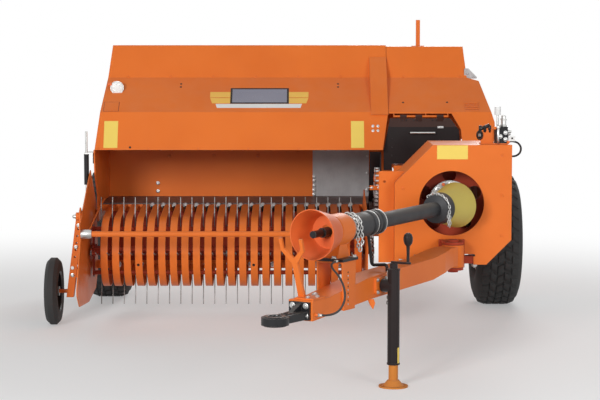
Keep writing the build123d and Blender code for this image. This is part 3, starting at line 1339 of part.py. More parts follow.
# Crop guard: a tube in front of the reel with a bush and a short arm at each sheet
with BuildPart() as guard:
    guard_x0 = PICKUP_IN_X0
    guard_x1 = PICKUP_IN_X1
    with BuildSketch(yz_plane(guard_x0)):
        with Locations((GUARD_TUBE_Y, GUARD_TUBE_Z)):
            Circle(GUARD_TUBE_R)
            Circle(GUARD_TUBE_R - 4, mode=Mode.SUBTRACT)
    extrude(amount=guard_x1 - guard_x0)
    with BuildSketch(yz_plane(guard_x0)):
        with Locations((GUARD_TUBE_Y, GUARD_TUBE_Z)):
            Circle(GUARD_TUBE_R + 9)
            Circle(GUARD_TUBE_R - 1, mode=Mode.SUBTRACT)
    extrude(amount=52)
guard.part.label = "crop_guard_tube"
export_step(guard.part, "parts/crop_guard_tube.step")

# Gauge-wheel arm: a bar that leans outward, with pin holes, two stays to the sheet and the stub axle
ARM_W = 60
ARM_D = 42
ARM_TOP_Z = 640
ARM_FOOT_Z = GAUGE_R - 34
ARM_TOP_X = PICKUP_SHEET_RIGHT_X - 79
ARM_HOLE_PITCH = 42
with BuildPart() as gauge_arm:
    stay_end_x = PICKUP_SHEET_RIGHT_X - CLEAR
    arm_slope = (ARM_TOP_X - GAUGE_ARM_X) / (ARM_TOP_Z - ARM_FOOT_Z)
    with BuildSketch(xz_plane(GAUGE_Y + ARM_W / 2)):
        with BuildLine():
            Polyline(
                (GAUGE_ARM_X, ARM_FOOT_Z),
                (GAUGE_ARM_X + ARM_D, ARM_FOOT_Z),
                (ARM_TOP_X + ARM_D, ARM_TOP_Z),
                (ARM_TOP_X, ARM_TOP_Z),
                close=True,
            )
        make_face()
        for hole in range(5):
            hole_z = ARM_TOP_Z - 230 + hole * ARM_HOLE_PITCH
            with Locations((GAUGE_ARM_X + ARM_D / 2 + arm_slope * (hole_z - ARM_FOOT_Z), hole_z)):
                Circle(6, mode=Mode.SUBTRACT)
    extrude(amount=ARM_W)
    for stay_z in (ARM_TOP_Z - 46, GAUGE_R + 110):
        stay_x0 = GAUGE_ARM_X + ARM_D - 6 + arm_slope * (stay_z - 25 - ARM_FOOT_Z)
        with BuildSketch(yz_plane(stay_x0)):
            with Locations((GAUGE_Y, stay_z)):
                Rectangle(50, 50)
        extrude(amount=stay_end_x - stay_x0)
        with BuildSketch(yz_plane(stay_end_x - PLATE)):
            with Locations((GAUGE_Y, stay_z)):
                Rectangle(110, 80)
        extrude(amount=PLATE)
    axle_end_x = GAUGE_X - GAUGE_W / 2 - 14
    with BuildSketch(yz_plane(axle_end_x)):
        with Locations((GAUGE_Y, GAUGE_R)):
            Circle(GAUGE_AXLE_R)
    extrude(amount=GAUGE_ARM_X + ARM_D / 2 - axle_end_x)
gauge_arm.part.label = "gauge_wheel_arm"
export_step(gauge_arm.part, "parts/gauge_wheel_arm.step")

with BuildPart() as gauge_wheel:
    gauge_half = GAUGE_W / 2
    with BuildSketch(Plane(origin=(GAUGE_X, GAUGE_Y, GAUGE_R), x_dir=(0, 0, 1), z_dir=(0, 1, 0))):
        with BuildLine():
            Polyline(
                (GAUGE_AXLE_R + SPINDLE_FIT, -gauge_half - 10),
                (GAUGE_AXLE_R + 16, -gauge_half - 10),
                (GAUGE_AXLE_R + 16, -8),
                (GAUGE_RIM_R - 8, -8),
                (GAUGE_RIM_R - 8, -gauge_half + 8),
                (GAUGE_RIM_R + 4, -gauge_half + 2),
                (GAUGE_RIM_R + 30, -gauge_half),
                (GAUGE_R - 20, -gauge_half + 2),
                (GAUGE_R, -gauge_half + 22),
                (GAUGE_R, gauge_half - 22),
                (GAUGE_R - 20, gauge_half - 2),
                (GAUGE_RIM_R + 30, gauge_half),
                (GAUGE_RIM_R + 4, gauge_half - 2),
                (GAUGE_RIM_R - 8, gauge_half - 8),
                (GAUGE_RIM_R - 8, 0),
                (GAUGE_AXLE_R + 16, 0),
                (GAUGE_AXLE_R + 16, gauge_half - 6),
                (GAUGE_AXLE_R + SPINDLE_FIT, gauge_half - 6),
                close=True,
            )
        make_face()
    revolve(axis=Axis((GAUGE_X, GAUGE_Y, GAUGE_R), (1, 0, 0)))
gauge_wheel.part.label = "gauge_wheel"
export_step(gauge_wheel.part, "parts/gauge_wheel.step")

# Flotation spring rod outside the right sheet, hung from the hood
SPRING_ROD_Y = 20
ROD_SPRING_TOP_Z = 1024
with BuildPart() as lift_rod:
    rod_x = PICKUP_SHEET_RIGHT_X - 20
    with BuildSketch(Plane.XY.offset(760)):
        with Locations((rod_x, SPRING_ROD_Y)):
            Circle(7)
    extrude(amount=400)
    with BuildSketch(Plane.XY.offset(840)):
        with Locations((rod_x, SPRING_ROD_Y)):
            Circle(15)
    extrude(amount=ROD_SPRING_TOP_Z - 840)
    # bracket on the feed side plate that carries the upper end
    bracket_x1 = FEED_SIDE_X - PLATE - CLEAR
    with BuildSketch(Plane.XY.offset(ROD_SPRING_TOP_Z)):
        with Locations(((rod_x - 14 + bracket_x1) / 2, SPRING_ROD_Y + 56)):
            Rectangle(bracket_x1 - rod_x + 14, 140)
    extrude(amount=8)
    # upright leg of the bracket, flat against the plate
    with BuildSketch(Plane.XY.offset(ROD_SPRING_TOP_Z - 60)):
        with Locations((bracket_x1 - 4, SPRING_ROD_Y + 86)):
            Rectangle(8, 80)
    extrude(amount=62)
lift_rod.part.label = "lift_spring_rod"
export_step(lift_rod.part, "parts/lift_spring_rod.step")

# Drive chains as closed bands: reel to lift pivot, and lift pivot to the shaft below the hood
PIVOT_WHEEL = (PICKUP_PIVOT_Y, PICKUP_PIVOT_Z, PIVOT_CHAIN_R)
CHAIN_TABLE = (
    # name, x, width, first wheel (y, z, radius), second wheel (y, z, radius)
    ("reel_chain", REEL_CHAIN_X, CHAIN_W, (REEL_Y, REEL_Z, REEL_CHAIN_R), PIVOT_WHEEL),
    ("drive_chain", DRIVE_CHAIN_X, DRIVE_CHAIN_W, PIVOT_WHEEL, (FEED_SHAFT_Y, FEED_SHAFT_Z, FEED_CHAIN_R)),
)


def belt_outline(first, second, grow):
    """Points and arcs of a taut loop round two wheels, grown outward: two lines and two arcs."""
    along = atan2(second[1] - first[1], second[0] - first[0])
    distance = hypot(second[0] - first[0], second[1] - first[1])
    lean = sqrt(1 - ((first[2] - second[2]) / distance) ** 2)
    half = atan2(lean, (first[2] - second[2]) / distance)
    corners = []
    for centre, angle in (
        (first, along + half),
        (second, along + half),
        (second, along),
        (second, along - half),
        (first, along - half),
        (first, along + pi),
    ):
        radius = centre[2] + grow
        corners.append((centre[0] + radius * cos(angle), centre[1] + radius * sin(angle)))
    return corners


for chain_name, chain_x, chain_w, first, second in CHAIN_TABLE:
    with BuildPart() as chain:
        with BuildSketch(yz_plane(chain_x)):
            for grow, chain_mode in ((CHAIN_T, Mode.ADD), (0, Mode.SUBTRACT)):
                corner = belt_outline(first, second, grow)
                with BuildLine():
                    Line(corner[0], corner[1])
                    ThreePointArc(corner[1], corner[2], corner[3])
                    Line(corner[3], corner[4])
                    ThreePointArc(corner[4], corner[5], corner[0])
                make_face(mode=chain_mode)
        extrude(amount=chain_w)
    chain.part.label = chain_name
    export_step(chain.part, f"parts/{chain_name}.step")

# Guard of the drive chain: a leaning back plate and a side plate that sits on the feed shaft
CHAIN_GUARD_T = 4
CHAIN_GUARD_AWAY = FEED_CHAIN_R + CHAIN_T + 8
CHAIN_GUARD_TOP_Z = 1030
with BuildPart() as chain_guard:
    guard_lean = atan2(FEED_SHAFT_Z - PICKUP_PIVOT_Z, FEED_SHAFT_Y - PICKUP_PIVOT_Y)
    guard_foot = (
        PICKUP_PIVOT_Y + CHAIN_GUARD_AWAY * sin(guard_lean),
        PICKUP_PIVOT_Z - CHAIN_GUARD_AWAY * cos(guard_lean),
    )
    guard_length = (CHAIN_GUARD_TOP_Z - guard_foot[1]) / sin(guard_lean)
    guard_side_x = DRIVE_CHAIN_X + DRIVE_CHAIN_W + 6
    guard_plane = Plane(origin=(0, *guard_foot), x_dir=(0, cos(guard_lean), sin(guard_lean)), z_dir=(1, 0, 0))
    with BuildSketch(guard_plane.offset(REEL_CHAIN_X - 4)):
        with BuildLine():
            Polyline(
                (0, -CHAIN_GUARD_T),
                (guard_length, -CHAIN_GUARD_T),
                (guard_length, 0),
                (0, 0),
                close=True,
            )
        make_face()
    extrude(amount=guard_side_x + CHAIN_GUARD_T - REEL_CHAIN_X + 4)
    shaft_along = hypot(FEED_SHAFT_Y - PICKUP_PIVOT_Y, FEED_SHAFT_Z - PICKUP_PIVOT_Z)
    with BuildSketch(guard_plane.offset(guard_side_x)):
        with BuildLine():
            Polyline(
                (shaft_along - 90, -1),
                (guard_length, -1),
                (guard_length, 20),
                (shaft_along + 50, CHAIN_GUARD_AWAY + 20),
                (shaft_along - 50, CHAIN_GUARD_AWAY + 20),
                close=True,
            )
        make_face()
        with Locations((shaft_along, CHAIN_GUARD_AWAY)):
            Circle(FEED_SHAFT_R + CLEAR, mode=Mode.SUBTRACT)
    extrude(amount=CHAIN_GUARD_T)
chain_guard.part.label = "chain_guard"
export_step(chain_guard.part, "parts/chain_guard.step")

# Drive box: front face with a round opening, two sides, a top and lower flanges
FRAME_RAIL_X = 160
FRAME_RAIL_W = 50
RAIL_BOTTOM_Z = BOX_Z0 + SHEET + CLEAR
RAIL_TOP_Z = CHAMBER_Z0 - HOOP_OUT - CLEAR
BOX_T = 6
BOX_RECESS_X0 = CHAMBER_X - 176
BOX_RECESS_X1 = CHAMBER_X + 121
BOX_RECESS_TOP_Z = 540
box_front_outline = (
    (BOX_X0, BOX_Z0),
    (BOX_X0, BOX_TOP_Z - BOX_CHAMFER_TOP),
    (BOX_X0 + BOX_CHAMFER_TOP, BOX_TOP_Z),
    (BOX_X1, BOX_TOP_Z),
    (BOX_X1, BOX_Z0 + BOX_CHAMFER_LOW),
    (BOX_X1 - BOX_CHAMFER_LOW, BOX_Z0),
)
with BuildPart() as drive_box:
    with BuildSketch(xz_plane(BOX_REAR_Y)):
        with BuildLine():
            Polyline(*plate_outline(box_front_outline, -BOX_T), close=True)
        make_face()
    extrude(amount=BOX_REAR_Y - BOX_FRONT_Y)
    with BuildSketch(xz_plane(BOX_FRONT_Y + BOX_T)):
        with BuildLine():
            Polyline(*box_front_outline, close=True)
        make_face()
        with Locations((CHAMBER_X, DRIVE_Z)):
            Circle(BOX_HOLE_R, mode=Mode.SUBTRACT)
        with Locations(((BOX_RECESS_X0 + BOX_RECESS_X1) / 2, BOX_RECESS_TOP_Z - 50)):
            Rectangle(BOX_RECESS_X1 - BOX_RECESS_X0, 100, mode=Mode.SUBTRACT)
    extrude(amount=BOX_T)
    for flange_x0, flange_x1 in (
        (BOX_X0 + BOX_T / 2, CHAMBER_X - FRAME_RAIL_X + FRAME_RAIL_W / 2),
        (CHAMBER_X + FRAME_RAIL_X - FRAME_RAIL_W / 2, BOX_X1 - BOX_CHAMFER_LOW),
    ):
        with BuildSketch(Plane.XY.offset(BOX_Z0)):
            with Locations(((flange_x0 + flange_x1) / 2, (BOX_FRONT_Y + BOX_REAR_Y) / 2 + 60)):
                Rectangle(flange_x1 - flange_x0, BOX_REAR_Y - BOX_FRONT_Y - 120)
        extrude(amount=SHEET)
drive_box.part.label = "drive_box"
export_step(drive_box.part, "parts/drive_box.step")

# Inner plate between the drive box and the chain
INNER_PLATE_W = 84
INNER_PLATE_Z0 = BOX_Z0 + 2
INNER_PLATE_RISE = 59
with BuildPart() as inner_plate:
    box_corner_z = BOX_TOP_Z - BOX_CHAMFER_TOP
    box_x = BOX_X0 - CLEAR
    with BuildSketch(xz_plane(BOX_FRONT_Y + 90)):
        with BuildLine():
            Polyline(
                (BOX_X0 - INNER_PLATE_W, INNER_PLATE_Z0),
                (box_x, INNER_PLATE_Z0),
                (box_x, box_corner_z),
                (box_x + INNER_PLATE_RISE, box_corner_z + INNER_PLATE_RISE),
                (BOX_X0 - INNER_PLATE_W, box_corner_z + INNER_PLATE_RISE),
                close=True,
            )
        make_face()
        with Locations((BOX_X0 - 52, 930), (BOX_X0 - 50, 672)):
            Circle(7, mode=Mode.SUBTRACT)
    extrude(amount=BOX_T)
    with BuildSketch(yz_plane(BOX_X0 - SHEET - CLEAR)):
        with Locations((BOX_FRONT_Y + 90 + 30, (INNER_PLATE_Z0 + box_corner_z - 20) / 2)):
            Rectangle(60, box_corner_z - 20 - INNER_PLATE_Z0)
    extrude(amount=SHEET)
inner_plate.part.label = "inner_plate"
export_step(inner_plate.part, "parts/inner_plate.step")

# Front frame: two rails below the chamber, a cross member and the upright clevis of the drawbar
CLEVIS_W = 140
CLEVIS_T = 14
CLEVIS_LOW_Z = 470
CLEVIS_HIGH_Z = 608
CLEVIS_WEB_Y = -1028
with BuildPart() as front_frame:
    with BuildSketch(Plane.XY.offset(RAIL_BOTTOM_Z)):
        with Locations((CHAMBER_X, (BOX_FRONT_Y + 70 + 300) / 2)):
            with GridLocations(2 * FRAME_RAIL_X, 1, 2, 1):
                Rectangle(FRAME_RAIL_W, 300 - BOX_FRONT_Y - 70)
        with Locations((CHAMBER_X, BOX_FRONT_Y + BOX_T + CLEAR + 34)):
            Rectangle(2 * FRAME_RAIL_X + FRAME_RAIL_W, 68)
        with Locations((CHAMBER_X, BOX_FRONT_Y)):
            Rectangle(CLEVIS_W, 60)
    extrude(amount=RAIL_TOP_Z - RAIL_BOTTOM_Z)
    with BuildSketch(Plane.XY.offset(CLEVIS_LOW_Z)):
        with Locations((CHAMBER_X, (CLEVIS_WEB_Y + BOX_FRONT_Y - 4) / 2)):
            Rectangle(CLEVIS_W, BOX_FRONT_Y - 4 - CLEVIS_WEB_Y)
    extrude(amount=CLEVIS_HIGH_Z + CLEVIS_T - CLEVIS_LOW_Z)
    for clevis_z in (CLEVIS_LOW_Z, CLEVIS_HIGH_Z):
        with BuildSketch(Plane.XY.offset(clevis_z)):
            with Locations((PIVOT_X, PIVOT_Y)):
                Circle(56)
            with Locations((PIVOT_X, (PIVOT_Y + CLEVIS_WEB_Y + 10) / 2)):
                Rectangle(112, CLEVIS_WEB_Y + 10 - PIVOT_Y)
        extrude(amount=CLEVIS_T)
    with BuildSketch(Plane.XY.offset(CLEVIS_LOW_Z - 12)):
        with Locations((PIVOT_X, PIVOT_Y)):
            Circle(PIVOT_PIN_R)
    extrude(amount=CLEVIS_HIGH_Z + CLEVIS_T + 24 - CLEVIS_LOW_Z)
front_frame.part.label = "front_frame"
export_step(front_frame.part, "parts/front_frame.step")

# Flywheel with its hub, shaft and the ball of the universal joint, turning about the drive line
SHAFT_END_Y = GEARBOX_FRONT_Y + 60
FLY_FRONT_Y = FLYWHEEL_REAR_Y - FLYWHEEL_T
FLY_WEB_Y = FLYWHEEL_REAR_Y - FLYWHEEL_T / 2
JOINT_BALL_R = 36
drive_profile_plane = Plane(origin=(CHAMBER_X, 0, DRIVE_Z), x_dir=(0, 1, 0), z_dir=(1, 0, 0))
drive_axis = Axis((CHAMBER_X, 0, DRIVE_Z), (0, 1, 0))
with BuildPart() as flywheel:
    with BuildSketch(drive_profile_plane):
        with BuildLine():
            Polyline(
                (PIVOT_Y, 0),
                (PIVOT_Y, INPUT_SHAFT_R),
                (FLY_FRONT_Y - 24, INPUT_SHAFT_R),
                (FLY_FRONT_Y - 24, 66),
                (FLY_WEB_Y - 9, 74),
                (FLY_WEB_Y - 9, FLYWHEEL_R - 62),
                (FLY_FRONT_Y, FLYWHEEL_R - 50),
                (FLY_FRONT_Y, FLYWHEEL_R - 4),
                (FLY_FRONT_Y + 4, FLYWHEEL_R),
                (FLYWHEEL_REAR_Y - 4, FLYWHEEL_R),
                (FLYWHEEL_REAR_Y, FLYWHEEL_R - 4),
                (FLYWHEEL_REAR_Y, FLYWHEEL_R - 50),
                (FLY_WEB_Y + 9, FLYWHEEL_R - 62),
                (FLY_WEB_Y + 9, 74),
                (FLYWHEEL_REAR_Y + 14, 66),
                (FLYWHEEL_REAR_Y + 14, INPUT_SHAFT_R),
                (SHAFT_END_Y, INPUT_SHAFT_R),
                (SHAFT_END_Y, 0),
                close=True,
            )
        make_face()
    revolve(axis=drive_axis)
    with BuildSketch(xz_plane(FLY_WEB_Y + 20)):
        with Locations((CHAMBER_X, DRIVE_Z)):
            with PolarLocations(145, 5, start_angle=18):
                Circle(38)
    extrude(amount=40, mode=Mode.SUBTRACT)
    with BuildSketch(Plane(origin=(PIVOT_X, PIVOT_Y, DRIVE_Z), x_dir=(0, 1, 0), z_dir=(1, 0, 0))):
        with BuildLine():
            CenterArc((0, 0), JOINT_BALL_R, 0, 180)
            Line((-JOINT_BALL_R, 0), (JOINT_BALL_R, 0))
        make_face()
    revolve(axis=Axis((PIVOT_X, PIVOT_Y, DRIVE_Z), (0, 1, 0)))
flywheel.part.label = "flywheel"
export_step(flywheel.part, "parts/flywheel.step")

# Slip clutch in front of the flywheel: three plates, a ring of spring bolts and a hub
CLUTCH_R = 118
CLUTCH_BOLTS = 8
with BuildPart() as clutch:
    clutch_rear_y = FLY_FRONT_Y - 24 - CLEAR
    with BuildSketch(xz_plane(clutch_rear_y)):
        with Locations((CHAMBER_X, DRIVE_Z)):
            Circle(CLUTCH_R)
            Circle(INPUT_SHAFT_R + CLEAR, mode=Mode.SUBTRACT)
    extrude(amount=12)
    with BuildSketch(xz_plane(clutch_rear_y - 12)):
        with Locations((CHAMBER_X, DRIVE_Z)):
            Circle(CLUTCH_R - 16)
            Circle(INPUT_SHAFT_R + CLEAR, mode=Mode.SUBTRACT)
    extrude(amount=14)
    with BuildSketch(xz_plane(clutch_rear_y - 26)):
        with Locations((CHAMBER_X, DRIVE_Z)):
            Circle(CLUTCH_R)
            Circle(INPUT_SHAFT_R + CLEAR, mode=Mode.SUBTRACT)
    extrude(amount=10)
    with BuildSketch(xz_plane(clutch_rear_y - 36)):
        with Locations((CHAMBER_X, DRIVE_Z)):
            with PolarLocations(CLUTCH_R - 18, CLUTCH_BOLTS):
                Circle(12)
    extrude(amount=34)
    with BuildSketch(xz_plane(clutch_rear_y - 36)):
        with Locations((CHAMBER_X, DRIVE_Z)):
            Circle(58)
            Circle(INPUT_SHAFT_R + CLEAR, mode=Mode.SUBTRACT)
    extrude(amount=44)
clutch.part.label = "slip_clutch"
export_step(clutch.part, "parts/slip_clutch.step")

# Gearbox on the front rails, with its input boss and the crank that drives the plunger
GEARBOX_W = 250
GEARBOX_H = 380
with BuildPart() as gearbox:
    gear_mid_y = (GEARBOX_FRONT_Y + GEARBOX_REAR_Y) / 2
    with BuildSketch(xz_plane(GEARBOX_REAR_Y)):
        with Locations((CHAMBER_X - 20, DRIVE_Z)):
            RectangleRounded(GEARBOX_W, GEARBOX_H, 70)
    extrude(amount=GEARBOX_REAR_Y - GEARBOX_FRONT_Y)
    with BuildSketch(xz_plane(GEARBOX_FRONT_Y)):
        with Locations((CHAMBER_X, DRIVE_Z)):
            Circle(72)
    extrude(amount=14)
    with BuildSketch(xz_plane(GEARBOX_FRONT_Y + 66)):
        with Locations((CHAMBER_X, DRIVE_Z)):
            Circle(INPUT_SHAFT_R + SPINDLE_FIT)
    extrude(amount=90, mode=Mode.SUBTRACT)
    # feet on the two rails and the output boss on the left
    for sign_x in (-1, 1):
        with BuildSketch(xz_plane(GEARBOX_REAR_Y - 20)):
            with BuildLine():
                Polyline(
                    (CHAMBER_X + sign_x * (FRAME_RAIL_X + 24), RAIL_TOP_Z + CLEAR),
                    (CHAMBER_X + sign_x * (FRAME_RAIL_X - 24), RAIL_TOP_Z + CLEAR),
                    (CHAMBER_X - 20 + sign_x * 60, DRIVE_Z - GEARBOX_H / 2 + 20),
                    (CHAMBER_X - 20 + sign_x * 118, DRIVE_Z - 150),
                    (CHAMBER_X + sign_x * (FRAME_RAIL_X + 24), RAIL_TOP_Z + 40),
                    close=True,
                )
            make_face()
        extrude(amount=GEARBOX_REAR_Y - GEARBOX_FRONT_Y - 40)
gearbox.part.label = "gearbox"
export_step(gearbox.part, "parts/gearbox.step")

CRANK_PIN = (-452, 722)
WRIST_PIN = (-60, CHAMBER_MID_Z)
ROD_T = 24
with BuildPart() as crank:
    crank_x = CHAMBER_X - 20 + GEARBOX_W / 2 + CLEAR
    with BuildSketch(yz_plane(crank_x)):
        with Locations((gear_mid_y, DRIVE_Z)):
            Circle(92)
        with Locations(CRANK_PIN):
            Circle(44)
        with BuildLine():
            Polyline(
                (gear_mid_y - 20, DRIVE_Z + 88),
                (CRANK_PIN[0] + 30, CRANK_PIN[1] + 34),
                (CRANK_PIN[0] - 26, CRANK_PIN[1] - 34),
                (gear_mid_y - 30, DRIVE_Z - 86),
                close=True,
            )
        make_face()
    extrude(amount=30)
    with BuildSketch(yz_plane(crank_x + 30)):
        with Locations(CRANK_PIN):
            Circle(28)
    extrude(amount=ROD_T + 8)
crank.part.label = "crank"
export_step(crank.part, "parts/crank.step")

with BuildPart() as connecting_rod:
    rod_x = crank_x + 34
    rod_turn = atan2(WRIST_PIN[1] - CRANK_PIN[1], WRIST_PIN[0] - CRANK_PIN[0])
    with BuildSketch(yz_plane(rod_x)):
        with BuildLine():
            Polyline(
                (CRANK_PIN[0] - 34 * sin(rod_turn), CRANK_PIN[1] + 34 * cos(rod_turn)),
                (WRIST_PIN[0] - 26 * sin(rod_turn), WRIST_PIN[1] + 26 * cos(rod_turn)),
                (WRIST_PIN[0] + 26 * sin(rod_turn), WRIST_PIN[1] - 26 * cos(rod_turn)),
                (CRANK_PIN[0] + 34 * sin(rod_turn), CRANK_PIN[1] - 34 * cos(rod_turn)),
                close=True,
            )
        make_face()
        with Locations(CRANK_PIN):
            Circle(46)
        with Locations(WRIST_PIN):
            Circle(36)
        with Locations(CRANK_PIN):
            Circle(28 + CLEAR, mode=Mode.SUBTRACT)
    extrude(amount=ROD_T - 4)
    # wrist pin across the plunger
    with BuildSketch(yz_plane(rod_x - 260)):
        with Locations(WRIST_PIN):
            Circle(18)
    extrude(amount=260 + ROD_T - 4 + 14)
connecting_rod.part.label = "connecting_rod"
export_step(connecting_rod.part, "parts/connecting_rod.step")

# Valve block with two levers on the left rear of the drive box
VALVE_X = CHAMBER_X + 275
VALVE_Y = BOX_FRONT_Y + 90
with BuildPart() as valves:
    valve_z = BOX_TOP_Z + CLEAR
    with BuildSketch(Plane.XY.offset(valve_z)):
        with Locations((VALVE_X - 40, VALVE_Y)):
            Rectangle(150, 90)
    extrude(amount=6)
    with BuildSketch(Plane.XY.offset(valve_z)):
        with Locations((VALVE_X, VALVE_Y)):
            RectangleRounded(70, 76, 8)
    extrude(amount=96)
    with BuildSketch(xz_plane(VALVE_Y)):
        with BuildLine():
            Polyline(
                (VALVE_X - 112, valve_z),
                (VALVE_X - 40, valve_z),
                (VALVE_X - 40, valve_z + 88),
                (VALVE_X - 112, valve_z + 60),
                close=True,
            )
        make_face()
    extrude(amount=8)
    # tall lever with its knob, short lever beside it, and two hose fittings
    with BuildSketch(Plane.XY.offset(valve_z + 90)):
        with Locations((VALVE_X - 20, VALVE_Y - 10)):
            Circle(6)
    extrude(amount=76)
    with BuildSketch(Plane.XY.offset(valve_z + 160)):
        with Locations((VALVE_X - 20, VALVE_Y - 10)):
            Circle(17)
    extrude(amount=46)
    with BuildSketch(Plane.XY.offset(valve_z + 90)):
        with Locations((VALVE_X + 14, VALVE_Y - 20), (VALVE_X + 14, VALVE_Y + 20)):
            Circle(12)
    extrude(amount=40)
valves.part.label = "valve_block"
export_step(valves.part, "parts/valve_block.step")

# Drawbar: everything below is set out along the beam, s forward from the pivot
aim = radians(DRAWBAR_ANGLE)
BEAM_DIR = Vector(-sin(aim), -cos(aim), 0)
SIDE_DIR = Vector(cos(aim), -sin(aim), 0)
PIVOT_POINT = Vector(PIVOT_X, PIVOT_Y, 0)


def beam_point(s, aside, z):
    """Point s along the drawbar and aside of it, towards the jack, at height z."""
    return PIVOT_POINT + BEAM_DIR * s + SIDE_DIR * aside + Vector(0, 0, z)


def beam_side_plane(aside):
    """Upright plane along the drawbar: own x forward along the beam, own y up, facing away from the jack."""
    return Plane(origin=beam_point(0, aside, 0), x_dir=BEAM_DIR, z_dir=SIDE_DIR * -1)


def beam_top_plane(z):
    """Level plane with its own x forward along the drawbar and own y away from the jack."""
    return Plane(origin=beam_point(0, 0, z), x_dir=BEAM_DIR, z_dir=(0, 0, 1))


BEAM_END_S = DRAWBAR_L - 224
BEAM_END_Z0 = 403
BEAM_END_Z1 = 498
BEAM_KNEE_S = JACK_S + 95
BEAM_FLAT_S = BEAM_END_S - 150
BEAM_WALL = 8
NIPPLE_R = 9
NIPPLE_L = 16
beam_low = ((40, 496), (130, 496), (357, 460), (BEAM_KNEE_S, 440), (BEAM_END_S, BEAM_END_Z0))
beam_high = (
    (BEAM_END_S, BEAM_END_Z1),
    (BEAM_FLAT_S, BEAM_END_Z1),
    (BEAM_KNEE_S, 548),
    (357, 572),
    (130, 600),
    (40, 600),
)
with BuildPart() as beam:
    with BuildSketch(beam_side_plane(DRAWBAR_W / 2)):
        with BuildLine():
            Polyline(*beam_low, *beam_high, close=True)
        make_face()
    extrude(amount=DRAWBAR_W)
    with BuildSketch(beam_top_plane(HITCH_Z - 60)):
        with BuildLine():
            Polyline(
                (30, -48),
                (90, -48),
                (220, -DRAWBAR_W / 2),
                (BEAM_END_S + 1, -DRAWBAR_W / 2),
                (BEAM_END_S + 1, DRAWBAR_W / 2),
                (220, DRAWBAR_W / 2),
                (90, 48),
                (30, 48),
                close=True,
            )
        make_face()
    extrude(amount=300, mode=Mode.INTERSECT)
    # hollow of the welded box beam
    with BuildSketch(beam_side_plane(DRAWBAR_W / 2 - BEAM_WALL)):
        with BuildLine():
            Polyline(
                (240, 460 + 22),
                (357, 460 + BEAM_WALL),
                (BEAM_KNEE_S, 440 + BEAM_WALL),
                (BEAM_END_S - BEAM_WALL, BEAM_END_Z0 + BEAM_WALL),
                (BEAM_END_S - BEAM_WALL, BEAM_END_Z1 - BEAM_WALL),
                (BEAM_FLAT_S, BEAM_END_Z1 - BEAM_WALL),
                (BEAM_KNEE_S, 548 - BEAM_WALL),
                (357, 572 - BEAM_WALL),
                (240, 574),
                close=True,
            )
        make_face()
    extrude(amount=DRAWBAR_W - 2 * BEAM_WALL, mode=Mode.SUBTRACT)
    # knuckle on the pivot pin
    with BuildSketch(Plane.XY.offset(CLEVIS_LOW_Z + CLEVIS_T + 2)):
        with Locations((PIVOT_X, PIVOT_Y)):
            Circle(58)
    extrude(amount=CLEVIS_HIGH_Z - CLEVIS_LOW_Z - CLEVIS_T - 4)
    with BuildSketch(Plane.XY.offset(CLEVIS_LOW_Z)):
        with Locations((PIVOT_X, PIVOT_Y)):
            Circle(PIVOT_PIN_R + SPINDLE_FIT)
    extrude(amount=200, mode=Mode.SUBTRACT)
    # jack mount: a plate on the side of the beam with its pivot stub
    with BuildSketch(beam_side_plane(DRAWBAR_W / 2 + 14)):
        with Locations((JACK_S, JACK_PIVOT_Z)):
            RectangleRounded(110, 84, 12)
    extrude(amount=14)
    with BuildSketch(beam_side_plane(DRAWBAR_W / 2 + 14 + 30)):
        with Locations((JACK_S, JACK_PIVOT_Z)):
            Circle(20)
    extrude(amount=30)
    # nipple of the hose on the side of the beam's end
    with BuildSketch(beam_side_plane(DRAWBAR_W / 2 + NIPPLE_L)):
        with Locations((BEAM_END_S - 30, HITCH_Z)):
            Circle(NIPPLE_R)
    extrude(amount=NIPPLE_L)
beam.part.label = "drawbar_beam"
export_step(beam.part, "parts/drawbar_beam.step")

# Cast hitch eye bolted to the front of the beam
with BuildPart() as hitch:
    shank_s0 = BEAM_END_S + CLEAR
    with BuildSketch(beam_top_plane(HITCH_Z - HITCH_T / 2)):
        with Locations((DRAWBAR_L, 0)):
            Circle(HITCH_RING_R)
        with BuildLine():
            Polyline(
                (shank_s0, -46),
                (DRAWBAR_L - 40, -34),
                (DRAWBAR_L - 40, 34),
                (shank_s0, 46),
                close=True,
            )
        make_face()
    extrude(amount=HITCH_T)
    with BuildSketch(beam_side_plane(55)):
        with BuildLine():
            Polyline(
                (shank_s0, BEAM_END_Z0 + 5),
                (shank_s0 + 16, BEAM_END_Z0 + 5),
                (shank_s0 + 16, BEAM_END_Z1 - 6),
                (shank_s0, BEAM_END_Z1 - 6),
                close=True,
            )
        make_face()
    extrude(amount=110)
    with BuildSketch(beam_side_plane(12)):
        with BuildLine():
            Polyline(
                (shank_s0 + 10, HITCH_Z),
                (DRAWBAR_L - 80, HITCH_Z),
                (shank_s0 + 10, BEAM_END_Z1 - 10),
                close=True,
            )
        make_face()
    extrude(amount=24)
    with BuildSketch(beam_top_plane(HITCH_Z - HITCH_T)):
        with Locations((DRAWBAR_L, 0)):
            Circle(HITCH_BORE_R)
    extrude(amount=2 * HITCH_T, mode=Mode.SUBTRACT)
hitch.part.label = "hitch_eye"
export_step(hitch.part, "parts/hitch_eye.step")

